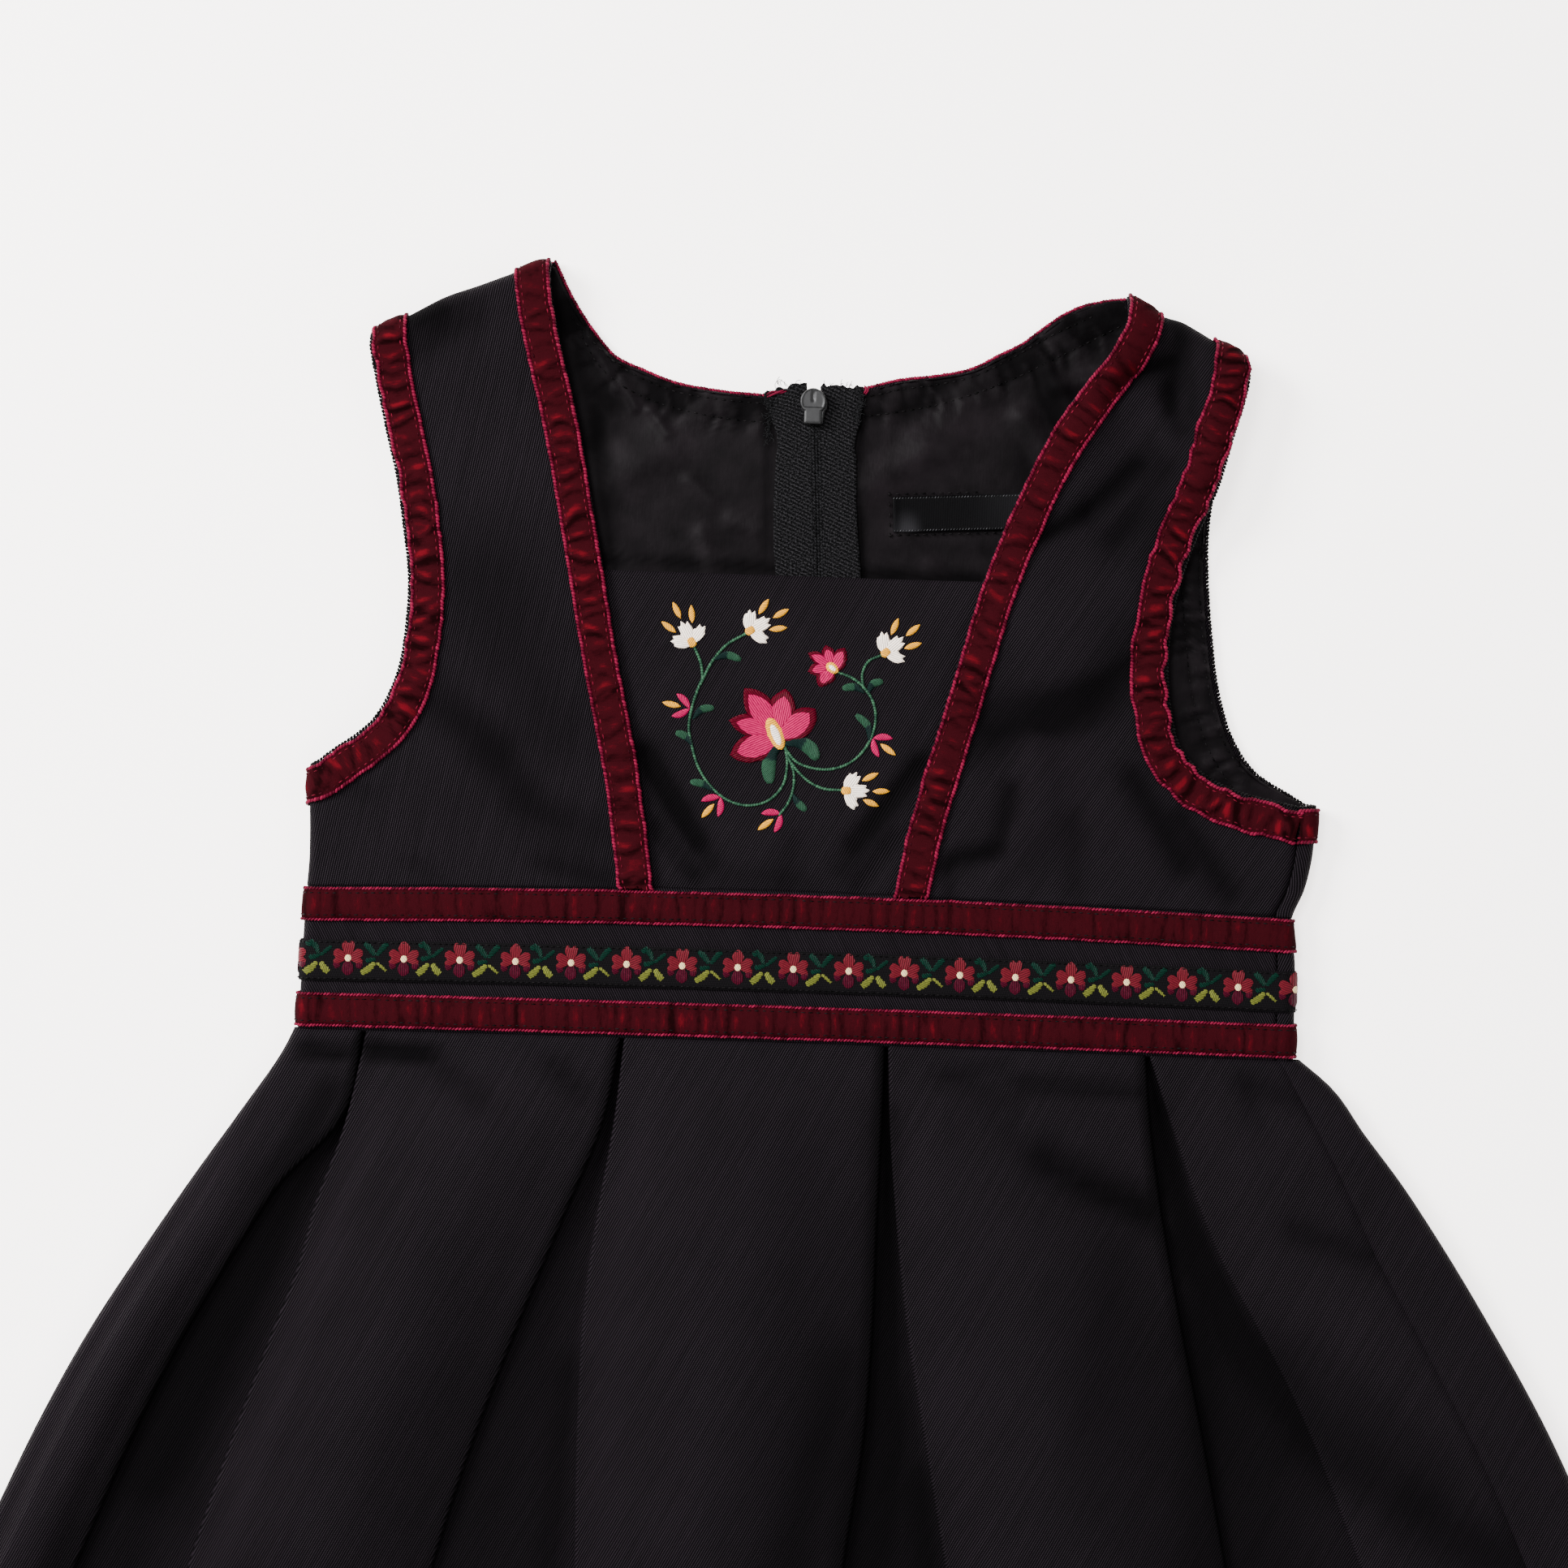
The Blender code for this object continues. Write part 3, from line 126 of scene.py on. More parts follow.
# Free edges of the back, as it lies under the front.
BACK_ARMHOLE_LEFT = [  # x, y
    (-133.3, 46.6), (-127, 50), (-121, 57), (-117, 66), (-114.6, 78), (-113.4, 92), (-113.6, 105.6),
    (-115.4, 119.5), (-117.8, 133.3), (-121.2, 147.2), (-124.4, 161), (-126.2, 169.5),
]
BACK_ARMHOLE_RIGHT = [  # x, y
    (144.2, 48.2), (139.5, 50.9), (129, 57.4), (123, 65.6), (118.4, 78.4), (115.3, 97), (113.8, 112),
    (113.4, 125), (114.8, 139), (117.6, 153), (120.4, 164), (121.4, 166),
]
BACK_NECK_LEFT = [  # x, y
    (-3, 160.6), (-14.4, 160.8), (-29.6, 161.9), (-41.5, 163.9), (-50.5, 167.2), (-58.9, 171),
    (-63.4, 175.8), (-68, 181.8), (-72.2, 188.4), (-76.8, 197),
]
BACK_NECK_RIGHT = [  # x, y
    (1, 161.6), (12.3, 163.4), (24, 166.6), (33.1, 167.9), (44.6, 170.6), (52, 174.6), (58.4, 178),
    (64.4, 182.6), (71.6, 187.7), (77, 190), (82, 191.2), (87.6, 191.4),
]

# Soft ridges of the front layer. Each one runs along a line.
FRONT_RIDGES = [  # x0, y0, x1, y1, half width, height
    (-124, 176, -80, 194, 24, 3), (86, 184, 74, 158, 13, 5.6), (118, 178, 110, 140, 13, 5.4),
    (102, 182, 98, 150, 24, 2.4), (66, 146, 56, 118, 16, 1.6), (-92, 150, -100, 60, 26, 1.2),
    (72, 100, 92, 40, 24, 1.4),
]
SKIRT_RIDGES = [  # x0, y0, x1, y1, half width, height
    (-158, -68, -286, -330, 20, 2.4), (-98, -72, -176, -352, 28, 2.2), (-12, -70, -26, -360, 28, 2.2),
    (66, -70, 126, -358, 28, 2.2), (156, -68, 272, -330, 26, 2.4),
]

# Skirt: lines that run from the waist to the hem on the front layer, each by height.
SKIRT_LINES = {  # height, x
    "left side": [
        (-24, -143.8), (-30, -146.5), (-49.5, -158.9), (-70.9, -172.9), (-85.1, -181.9), (-113.6, -199.4),
        (-142.1, -214), (-163.3, -223.3), (-220, -246), (-290, -271.5), (-354, -292),
    ],
    "a left": [
        (-24, -124.9), (-52, -131.5), (-69.4, -147.5), (-81.5, -155), (-112, -172.5), (-180, -202),
        (-262, -233), (-357, -266),
    ],
    "a right": [
        (-24, -121.9), (-55.5, -128.4), (-74.3, -134.8), (-93.1, -139.3), (-111.9, -146), (-180, -168),
        (-262, -187), (-368, -208),
    ],
    "b left": [
        (-24, -51.1), (-50.7, -56.1), (-71.9, -64.2), (-104.9, -76.9), (-152, -93), (-178.3, -100.3),
        (-262, -119), (-378, -136),
    ],
    "b right": [
        (-24, -48.1), (-48.2, -50.3), (-76.3, -54.4), (-99.7, -57), (-136.9, -58), (-176.9, -57.4),
        (-262, -58.5), (-383, -62),
    ],
    "c left": [
        (-24, 24.5), (-50.3, 24.3), (-73.6, 23.9), (-106.2, 23.6), (-134.1, 22.4), (-174.4, 17.5),
        (-262, 14.5), (-385, 12),
    ],
    "c right": [
        (-24, 27.5), (-50.3, 29), (-73.4, 31.4), (-105.9, 35.8), (-138.2, 42), (-173.4, 49), (-262, 67),
        (-382, 88),
    ],
    "d left": [
        (-24, 99.2), (-43.1, 101.1), (-68.6, 105.2), (-98.7, 111.3), (-131, 118.6), (-170.8, 127),
        (-262, 144), (-375, 162),
    ],
    "d right": [
        (-24, 102.2), (-47.5, 110.6), (-69.1, 118.7), (-84.9, 126.1), (-99.3, 134.6), (-112, 142),
        (-180, 172), (-262, 203), (-364, 236),
    ],
    "right seam": [
        (-24, 138.2), (-54.9, 155.6), (-80.8, 168.3), (-107.9, 183.7), (-137.8, 200), (-168.1, 214),
        (-262, 248), (-352, 274),
    ],
    "right side": [
        (-24, 143.8), (-32.1, 154), (-45.7, 164.4), (-59.3, 175.1), (-73, 184.7), (-100.3, 202.3),
        (-127.7, 218.6), (-160, 234.4), (-220, 258), (-290, 281), (-346, 298),
    ],
}
PLEATS = [  # name, left fold's depth, right fold's depth, width when it is fully open
    ("a", 12, 20, 62), ("b", 20, 20, 76), ("c", 20, 20, 76), ("d", 20, 20, 76),
]
# Back of the skirt: the pleats by their middle and their opening, at the waist and at the hem.
BACK_PLEATS = [  # middle at waist, middle at hem, opening at waist, opening at hem
    (-113, -222, 3, 46), (-38, -86, 3, 62), (54, 104, 3, 62), (116, 240, 3, 54),
]
BACK_PLEAT_DEPTH = 16.0
BACK_PLEAT_FULL = 78.0
HEM_FOOT = -385.0
HEM_RISE = 33.0
HEM_HALF = 292.0
LEFT_SEAM_SKIRT = (6.0, 24.0)
LEAST_DEPTH = 3.0
SEAM_AT_WAIST = 0.5

# Smaller creases that only the finished cloth has. A trough has a height below nothing.
FRONT_CREASES = [  # x0, y0, x1, y1, half width, height
    (64, 121, 79, 130, 2.6, -1.2), (79, 130, 92, 143, 3.4, -1.4), (87, 122, 100, 143, 3.6, -0.9),
    (68, 97, 92, 110, 11, 1.3), (54, 70, 84, 77, 7, -1.4), (84, 77, 92, 86, 4.5, -1.2),
    (70, 67, 81, 71, 4, -0.7), (67, 62, 69, 45, 5.5, 0.9), (59, 50, 57, 31, 3.4, -0.9),
    (44, 30, 55, 32, 2.6, -1), (42, 27, 43, 19, 2.4, -0.8), (62, 38, 55, 24, 2.4, 0.7),
    (78.5, 43, 79, 22, 3.6, -0.7), (94, 55, 109, 30, 4.4, -1), (108, 43.5, 122.5, 23, 4, -0.9),
    (102, 188, 103, 165, 3.8, -2.6), (101.5, 166, 104.6, 157, 4.5, -1.5),
    (101.8, 174, 89.7, 169.3, 2.8, -2.3), (89.7, 169.3, 84, 162, 3.4, -1.5),
    (-105, 67, -86, 57, 6.5, -0.9), (-131, 44, -124, 42, 3, -0.5), (-80, 40, -57, 34, 5, -0.7),
    (-74, 24, -56, 19.5, 3, -0.7), (-110, 23, -104, 18, 3, -0.5), (-93, 53, -80, 46, 5, -0.5),
    (-122, 168, -102, 181, 7, -1.2), (-46, 57, -29, 32, 2.8, -1.2), (-42, 36, -30, 22, 2.6, -0.9),
    (33, 56, 15, 33, 2.8, -1.2), (27, 35, 17, 21, 2.8, -0.8), (-2, 33, -4, 19, 3.4, -0.5),
]
# Painted shade on the front: where it lies away from the light, its colour is darkened.
FRONT_SHADES = [  # x0, y0, x1, y1, half width, darkness
    (-119, 181, -110, 181, 4.5, 0.9), (-92, 108, -84, 84, 15, 0.38), (-84, 84, -70, 62, 11, 0.35),
    (-106, 76, -74, 38, 7, 0.3), (-78, 34, -56, 22, 6, 0.25), (-46, 58, -36, 40, 5, 0.7),
    (-36, 40, -26, 26, 4, 0.6), (-30, 24, 0, 22, 4, 0.35), (34, 58, 20, 36, 4.5, 0.6),
    (20, 36, 12, 26, 4, 0.5), (48, 62, 66, 69, 7, 0.55), (66, 69, 84, 80, 8, 0.6),
    (84, 80, 95, 96, 8, 0.5), (95, 96, 97, 118, 5, 0.3), (54, 84, 50, 66, 6, 0.25),
    (62, 122, 78, 131, 4, 0.55), (78, 131, 96, 148, 5, 0.5), (86, 122, 102, 132, 7, 0.45),
    (100, 130, 104, 152, 5, 0.35), (84, 169, 99, 173, 4, 0.4), (87, 168.6, 102.4, 174.9, 1.7, 0.85),
    (102, 185, 103.4, 178, 2, 0.75), (103, 178, 101, 160, 3.2, 0.5), (112, 180, 108, 160, 4, 0.25),
    (42, 28, 56, 34, 4, 0.55), (56, 34, 60, 50, 3.5, 0.4), (66, 28, 74, 40, 5, 0.3),
    (95, 54, 110, 30, 5, 0.35), (108, 44, 124, 22, 5, 0.3),
]
# Painted shade on the skirt: where its folds and creases lie away from the light, its colour is darkened.
SKIRT_SHADES = [  # x0, y0, x1, y1, half width, darkness
    (-122, -30.8, -105, -31.2, 2.4, 1), (-141, -30.5, -130, -32.5, 2.6, 0.7),
    (-130, -32.5, -121, -28, 2.6, 0.5), (-104, -33, -90, -44, 3.5, 0.3), (-70, -33, -62, -40, 3.5, 0.3),
    (-133, -42, -146, -68, 5, 0.75), (-146, -68, -163, -112, 9, 0.6), (-163, -112, -178, -152, 11, 0.45),
    (-62, -120, -66, -178, 5, 0.4), (26, -44, 27, -130, 4.5, 0.9), (27, -130, 22, -168, 8, 0.6),
    (16, -116, 2, -172, 8, 0.35), (40, -150, 44, -178, 5, 0.5), (46, -33, 62, -40, 4, 0.35),
    (62, -33, 98, -35, 2.6, 0.4), (58, -44, 68, -54, 4, 0.3), (68, -54, 84, -63, 5, 0.5),
    (84, -63, 106, -71, 5, 0.65), (92, -84, 84, -150, 9, 0.25), (104, -40, 112, -72, 4, 0.8),
    (112, -72, 130, -104, 5.5, 0.7), (130, -104, 152, -134, 7.5, 0.6), (152, -134, 178, -151, 9, 0.6),
    (178, -151, 220, -172, 10, 0.7), (130, -32, 150, -37, 3.5, 0.45), (144, -73, 176, -84, 4, 0.3),
    (118, -100, 122, -176, 7, 0.3),
]
# Where the lining lies in the dark.
LINING_SHADES = [  # x0, y0, x1, y1, half width, darkness
    (-72, 184, -60, 158, 5.5, 0.8), (-63, 156, -58, 118, 3.6, 0.7), (-58, 122, -50, 114, 4.5, 0.6),
    (-60, 113, 48, 110, 2.4, 0.8), (-57, 150, -44, 140, 4.5, 0.4), (-36, 140, -26, 118, 4, 0.3),
    (64, 172, 70, 158, 5.5, 1), (72, 183, 86, 186, 6, 0.9), (60, 152, 62, 134, 4.5, 0.55),
    (-14, 158, -13.6, 112, 1.6, 0.5), (13, 158, 14.4, 112, 1.6, 0.5), (20, 118, 50, 119, 2.6, 0.3),
    (-58, 165.5, -38, 158.4, 3.4, 0.5), (-38, 158.4, -14, 156.2, 3, 0.45), (14, 158.8, 45, 166.2, 3, 0.4),
    (45, 166.2, 62, 176, 4, 0.6), (-46, 138, -22, 134, 15, 0.16),
]
SKIRT_CREASES = [  # x0, y0, x1, y1, half width, height
    (-121.6, -30.4, -103, -31, 2.4, -1.8), (-138, -31.5, -120, -32, 2.8, -1.2),
    (-100, -36, -84, -46, 4, -0.6), (-69, -33, -60, -42, 3, -0.7), (-30, -30, -26, -52, 5, 0.5),
    (66, -35, 97, -36, 2.4, -1.2), (75, -55, 104, -69, 4.5, -1.7), (42, -33, 60, -28, 2.4, -0.9),
    (145, -74, 166, -80, 4, -0.9), (146, -110, 186, -142, 8, -1.3), (128, -30, 134, -44, 2.6, -0.8),
    (-150, -190, -176, -300, 12, -1), (-10, -220, -30, -330, 12, -0.9), (90, -230, 112, -340, 12, -1),
    (215, -230, 246, -320, 12, -1),
]
LINING_CREASES = [  # x0, y0, x1, y1, half width, height
    (-61.4, 168.7, -57.7, 161.4, 1.3, 0.8), (-56.7, 165, -51.8, 156, 1.3, 0.8),
    (-69.7, 176, -62.6, 170.4, 1.5, 0.8), (-60, 134, -43, 145, 7, 1.1), (-36, 136, -29, 130, 1.6, 0.8),
    (-32, 121, -28.5, 112, 2, 0.8), (-24, 125, -15, 121.5, 1.8, 0.8), (-48, 156, -42.5, 149, 1.5, 0.6),
    (16.6, 136, 32, 147, 5, 1), (32, 147, 45.6, 162.5, 6, 0.9), (59.5, 157, 66.7, 147, 3.5, 1.1),
    (66, 171, 73, 160, 2.5, 1.1), (68, 166, 84, 170, 2.5, 1.1), (25, 123, 34.5, 114, 2.6, 0.7),
    (-70, 130, -50, 112, 5, 0.9),
]
LABEL_CORNER = (23.2, 122.8)
LABEL_SIZE = (46.0, 10.2)
LABEL_TILT = math.radians(3.4)
SLIDER_X, SLIDER_Y = -1.1, 159.2
SLIDER_TOP_Y, SLIDER_TAIL_Y = 163.0, 152.7
SLIDER_HEAD, SLIDER_TAIL = 3.75, 2.5
SLIDER_FACE = BACK_Z + ZIP_LIFT + 2 * LAYER + WALL / 2 + GAP + 1.8


# ---------------------------------------------------------------- curves and heights


def joined(*columns):
    """Places from their coordinates, each of which may be one number."""
    return np.stack(np.broadcast_arrays(*columns), -1)


def curve_at(t, knots, values, slopes):
    """The places at t of a smooth curve that has the values and slopes at its knots."""
    k = np.clip(np.searchsorted(knots, t) - 1, 0, len(knots) - 2)
    span = knots[k + 1] - knots[k]
    s = (t - knots[k]) / span
    if values.ndim > 1:
        span, s = span[..., None], s[..., None]
    return ((1 + 2 * s) * (1 - s) ** 2 * values[k] + s * (1 - s) ** 2 * span * slopes[k]
            + s * s * (3 - 2 * s) * values[k + 1] - s * s * (1 - s) * span * slopes[k + 1])


def smoothly(points):
    """A function of t, from 0 to 1, along a smooth curve through the points."""
    p = np.array(points, float)
    knots = np.concatenate([[0.0], np.cumsum(np.linalg.norm(np.diff(p, axis=0), axis=1))])
    knots /= knots[-1]
    slopes = np.gradient(p, knots, axis=0)
    return lambda t: curve_at(np.asarray(t, float), knots, p, slopes)


def places_along(points, count):
    return smoothly(points)(np.linspace(0, 1, count))


def column_of(table, column=1):
    """A smooth function of a table's first column."""
    rows = np.array(sorted(table), float)
    heights, values = rows[:, 0], rows[:, column]
    slopes = np.gradient(values, heights)
    return lambda height: curve_at(np.clip(height, heights[0], heights[-1]), heights, values, slopes)


def ease(value):
    """From 0 to 1 with a soft start and a soft end."""
    s = np.clip(value, 0.0, 1.0)
    return s * s * (3 - 2 * s)


def ridges(table, x, y):
    """The summed height of soft ridges at a place."""
    total = np.zeros(np.broadcast(x, y).shape)
    for x0, y0, x1, y1, half_width, height in table:
        dx, dy = x1 - x0, y1 - y0
        along = np.clip(((x - x0) * dx + (y - y0) * dy) / (dx * dx + dy * dy), 0, 1)
        away = np.hypot(x - x0 - along * dx, y - y0 - along * dy)
        total = total + height * np.exp(-((away / half_width) ** 2))
    return total


def shades(table, x, y):
    """How much painted shade a place gets: the darkest of the soft dark streaks there."""
    dark = np.zeros(np.broadcast(x, y).shape)
    for row in table:
        dark = np.maximum(dark, ridges([row], x, y))
    return dark


def zip_x(y):
    return ZIP_TOP_X + ZIP_LEAN * (ZIP_TOP_Y - y)


def zip_gap(y):
    """Half the slit between the two sides of the back, which opens round the slider."""
    return ZIP_SLIT + ZIP_SPREAD * ease((y - ZIP_SPREAD_Y) / ZIP_SPREAD_LENGTH)


def front_z(x, y):
    return FRONT_Z + ridges(FRONT_RIDGES, x, y)


def back_z(x, y):
    """The back layer, which rides up over the zip's pull."""
    off = (x - zip_x(y)) / ZIP_LIFT_WIDTH
    return BACK_Z + ZIP_LIFT * np.exp(-off * off) * ease((y - ZIP_LIFT_Y) / ZIP_LIFT_LENGTH)


def band_top(x):
    return BAND_TOP - BAND_TOP_BOW * (x / BAND_HALF) ** 2


def band_foot(x):
    return BAND_FOOT - BAND_FOOT_BOW * (x / BAND_HALF) ** 2


def foot_of(x):
    return band_top(x) + GAP


# ---------------------------------------------------------------- laying cloth on the two layers


def turned(beyond, z_from, z_to):
    """How far past a fold, and how high, cloth lies that turns over there to another layer."""
    radius = np.abs(z_from - z_to) / 2
    middle = (z_from + z_to) / 2
    turn = beyond / radius
    height = middle + np.sign(z_from - z_to) * radius * np.cos(turn)
    flat = turn > math.pi
    return (np.where(flat, math.pi * radius - beyond, radius * np.sin(turn)),
            np.where(flat, z_to, height))


BODICE_EDGE = {-1: column_of(BODICE_SIDES), 1: column_of(BODICE_SIDES, 2)}
SHOULDER_EDGE = {-1: column_of(LEFT_SHOULDER), 1: column_of(RIGHT_SHOULDER)}
SIDE_TURN = (FRONT_Z - BACK_Z) / 2
SIDE_WRAP = math.pi * SIDE_TURN  # how much cloth the turn at a side takes


def by_side(functions, side, value):
    return np.where(side > 0, functions[1](value), functions[-1](value))


def side_fold(side, y):
    """Where the front layer starts to turn down at a side of the bodice."""
    return by_side(BODICE_EDGE, side, y) - side * (SIDE_TURN + WALL / 2)


def shoulder_turn(side, x):
    """The radius of the turn over a shoulder."""
    return (front_z(x, by_side(SHOULDER_EDGE, side, x) - 6.0) - BACK_Z) / 2


def shoulder_fold(side, x):
    """Where the front layer starts to turn down over a shoulder."""
    return by_side(SHOULDER_EDGE, side, x) - shoulder_turn(side, x) - WALL / 2


SEAM_RISES = {-1: (-76.8, 14.0, 9.6), 1: (88.0, 15.0, 9.6)}  # x, how far it takes, how high


def shoulder_seam(side, x):
    """A shoulder's seam, which climbs towards the neck."""
    (x0, y0), (x1, y1) = SHOULDER_SEAMS[side]
    near, reach, rise = SEAM_RISES[side]
    return y0 + (y1 - y0) * (x - x0) / (x1 - x0) + rise * ease(1 - side * (x - near) / reach)


def past_side(a, b):
    """The side of each place, the side fold at its height, and how far past the fold it is."""
    side = np.where(a > 0, 1, -1)
    fold = side_fold(side, b)
    return side, fold, side * (a - fold)


def front_place(a, b):
    """Where cloth of the front lies. Past a fold it turns over and lies on the back."""
    side, fold, beyond = past_side(a, b)
    out, z = turned(np.maximum(beyond, 0), FRONT_Z, BACK_Z)
    around = joined(fold + side * out, b, z)
    top = shoulder_fold(side, a)
    out, z = turned(np.maximum(b - top, 0), 2 * shoulder_turn(side, a) + BACK_Z, BACK_Z)
    over = joined(a, top + out, z)
    creases = ridges(FRONT_CREASES, a, b) * ease((top - b) / 12.0) * ease(-beyond / 10.0)
    flat = joined(a, b, front_z(a, b) + creases)
    at_side, at_top = (beyond > 0) & (b < UNDERARM_END), b > top
    return np.where(at_side[..., None], around, np.where(at_top[..., None], over, flat))


def back_place(a, b):
    """Where cloth of the back lies. Past a side fold it turns up and lies on the front."""
    side, fold, beyond = past_side(a, b)
    out, z = turned(np.maximum(beyond, 0), BACK_Z, FRONT_Z)
    around = joined(fold + side * out, b, z)
    return np.where((beyond > 0)[..., None], around, joined(a, b, back_z(a, b)))


def normal_of(place, a, b):
    step = 0.4
    across = place(a + step, b) - place(a - step, b)
    up = place(a, b + step) - place(a, b - step)
    normal = np.cross(across, up)
    return normal / np.linalg.norm(normal, axis=-1, keepdims=True)


def moved_out(place, a, b, lift):
    """A place on the cloth, moved along the cloth's normal."""
    return place(a, b) + np.asarray(lift, float)[..., None] * normal_of(place, a, b)


def on_front(a, b, lift=0.0):
    return moved_out(front_place, a, b, lift)


def on_back(a, b, lift=0.0):
    return moved_out(back_place, a, b, -np.asarray(lift, float))


# ---------------------------------------------------------------- meshes


def metres(places):
    return (np.asarray(places, float) + (LAY_X, LAY_Y, 0.0)) * MM


def faces_of(rows, columns, flip=False):
    first = (np.arange(rows - 1)[:, None] * columns + np.arange(columns - 1)).ravel()
    quads = joined(first, first + 1, first + columns + 1, first + columns)
    return quads[:, ::-1] if flip else quads


FINISH = {}  # the materials by name


def in_scene(name, data):
    obj = bpy.data.objects.new(name, data)
    bpy.context.scene.collection.objects.link(obj)
    return obj


def link(name, mesh, finish):
    mesh.materials.clear()
    mesh.materials.append(finish)
    return in_scene(name, mesh)


def made_mesh(name, places, faces, grain=None, shade=None):
    """A smooth mesh in metres. Grain is its cloth's UV map in millimetres, and shade a value at
    each place that its finish reads."""
    mesh = bpy.data.meshes.new(name)
    mesh.from_pydata(metres(places), [], np.asarray(faces).tolist())
    if grain is not None:
        corners = np.zeros(len(mesh.loops), int)
        mesh.loops.foreach_get("vertex_index", corners)
        layer = mesh.uv_layers.new(name="grain")
        layer.data.foreach_set("uv", np.asarray(grain, float)[corners].ravel())
    if shade is not None:
        mesh.attributes.new("shade", "FLOAT", "POINT").data.foreach_set("value", np.ravel(shade))
    mesh.shade_smooth()
    return mesh


def settled(obj):
    """The object with its modifiers made part of its mesh."""
    finish = obj.data.materials[0]
    result = bpy.data.meshes.new_from_object(obj.evaluated_get(bpy.context.evaluated_depsgraph_get()))
    result.materials.clear()
    result.materials.append(finish)
    result.polygons.foreach_set("material_index", np.zeros(len(result.polygons), np.int32))
    obj.modifiers.clear()
    old, obj.data = obj.data, result
    bpy.data.meshes.remove(old)
    return obj


# How each piece of cloth was cut: its width and length, its area in square centimetres where it
# isn't a rectangle, how it is held, and what it lies on.
CUTS = {
    "front_left": (125, 205, 128, "folded", ["back_left"]),
    "front_right": (125, 205, 124, "folded", ["back_right"]),
    "front_insert": (120, 95, 91, "laid", ["lining_left", "lining_right"]),
    "back_left": (142, 182, 194, "laid", []),
    "back_right": (152, 178, 196, "folded", []),
    "lining_left": (140, 180, 192, "laid", ["back_left"]),
    "lining_right": (148, 178, 191, "folded", ["back_right"]),
    "waistband_front": (42, 308, None, "folded", ["waistband_back_left", "waistband_back_right"]),
    "waistband_back_left": (42, 150, None, "laid", []),
    "waistband_back_right": (42, 150, None, "folded", []),
    "skirt_front": (680, 370, 2345, "folded", ["skirt_back_left", "skirt_back_right"]),
    "skirt_back_left": (330, 370, 1120, "folded", []),
    "skirt_back_right": (360, 370, 1246, "folded", []),
    "neck_ribbon_left": (10, 187, None, "laid", ["front_left"]),
    "neck_ribbon_right": (10, 202, None, "laid", ["front_right"]),
    "armhole_ribbon_left": (10, 169, None, "folded", ["front_left"]),
    "armhole_ribbon_right": (10, 182, None, "folded", ["front_right"]),
    "back_neck_ribbon_left": (10, 89, None, "laid", ["back_left"]),
    "back_neck_ribbon_right": (10, 88, None, "laid", ["back_right"]),
    "back_armhole_ribbon_left": (10, 131, None, "laid", ["back_left"]),
    "back_armhole_ribbon_right": (10, 148, None, "folded", ["back_right"]),
    "waist_lower": (10, 575, None, "folded", ["waistband_front"]),
    "waist_upper": (10, 572, None, "folded", ["waistband_front"]),
    "waist_floral": (12, 574, None, "folded", ["waistband_front"]),
    "zip_tape_left": (14, 241, None, "laid", ["lining_left"]),
    "zip_tape_right": (14, 241, None, "laid", ["lining_right"]),
    "label": (13, 47, None, "laid", ["lining_right"]),
}


def wear(obj, slot, node=""):
    """Puts a finished piece on the garment. Cloth goes in place of the solid with its name."""
    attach(obj, "dress")
    if node in CUTS:
        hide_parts(node)
        width, length, area, held, below = CUTS[node]
        area and area / 10000
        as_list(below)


def cloth(name, places, grain, slot, wall=CLOTH, offset=0.0, shade=None, flip=False):
    """A thin wall of cloth from a grid of places in its middle, or on its face where offset is -1.
    Its finish has the name of its slot."""
    mesh = made_mesh(name, places.reshape(-1, 3), faces_of(*places.shape[:2], flip),
                     grain.reshape(-1, 2), shade)
    obj = link(name, mesh, FINISH[slot])
    solid = obj.modifiers.new("wall", "SOLIDIFY")
    solid.thickness = wall * MM
    solid.offset = offset
    wear(settled(obj), slot, name)


TWILL_ANGLES = {  # how the twill's lines lean on the garment, in degrees
    "front_left": 79, "front_right": 56, "front_insert": 60, "back": 62, "waistband": 118, "skirt": 62,
}


def twill_grain(a, b, angle):
    """Cloth coordinates along and across its twill lines, which lean by an angle."""
    c, s = math.cos(math.radians(angle)), math.sin(math.radians(angle))
    return joined(a * c + b * s, b * c - a * s)


# ---------------------------------------------------------------- finishes


def add_node(tree, kind, settings=None, **inputs):
    """Adds a node with its settings, and gives values or links to its sockets. A socket is named
    with _ for each space, or has its number after a _."""
    node = tree.nodes.new(kind)
    for key, value in (settings or {}).items():
        setattr(node, key, value)
    for key, value in inputs.items():
        socket = node.inputs[int(key[1:]) if key[0] == "_" else key.replace("_", " ")]
        if isinstance(value, Value):
            value = value.socket
        if isinstance(value, bpy.types.NodeSocket):
            tree.links.new(value, socket)
        else:
            socket.default_value = value
    return node


class Value:
    """A shader socket that Python's operators work on by adding Math nodes."""

    def __init__(self, tree, socket):
        self.tree, self.socket = tree, socket

    def maths(self, operation, *others):
        inputs = {f"_{k}": other for k, other in enumerate(others)}
        node = add_node(self.tree, "ShaderNodeMath", {"operation": operation}, **inputs)
        return Value(self.tree, node.outputs[0])

    def __add__(self, other):
        return self.maths("ADD", self, other)

    def __sub__(self, other):
        return self.maths("SUBTRACT", self, other)

    def __rsub__(self, other):
        return self.maths("SUBTRACT", other, self)

    def __mul__(self, other):
        return self.maths("MULTIPLY", self, other)

    def size(self):
        return self.maths("ABSOLUTE", self)

    __radd__ = __add__
    __rmul__ = __mul__

    def wave(self, length):
        """A sine of this value with the given wavelength, from 0 to 1."""
        return self.maths("SINE", self * (2 * math.pi / length)) * 0.5 + 0.5

    def between(self, low, high):
        """From 0 to 1, softly, as this value goes from low to high."""
        node = add_node(self.tree, "ShaderNodeMapRange", {"interpolation_type": "SMOOTHSTEP"},
                        Value=self, From_Min=low, From_Max=high)
        return Value(self.tree, node.outputs["Result"])


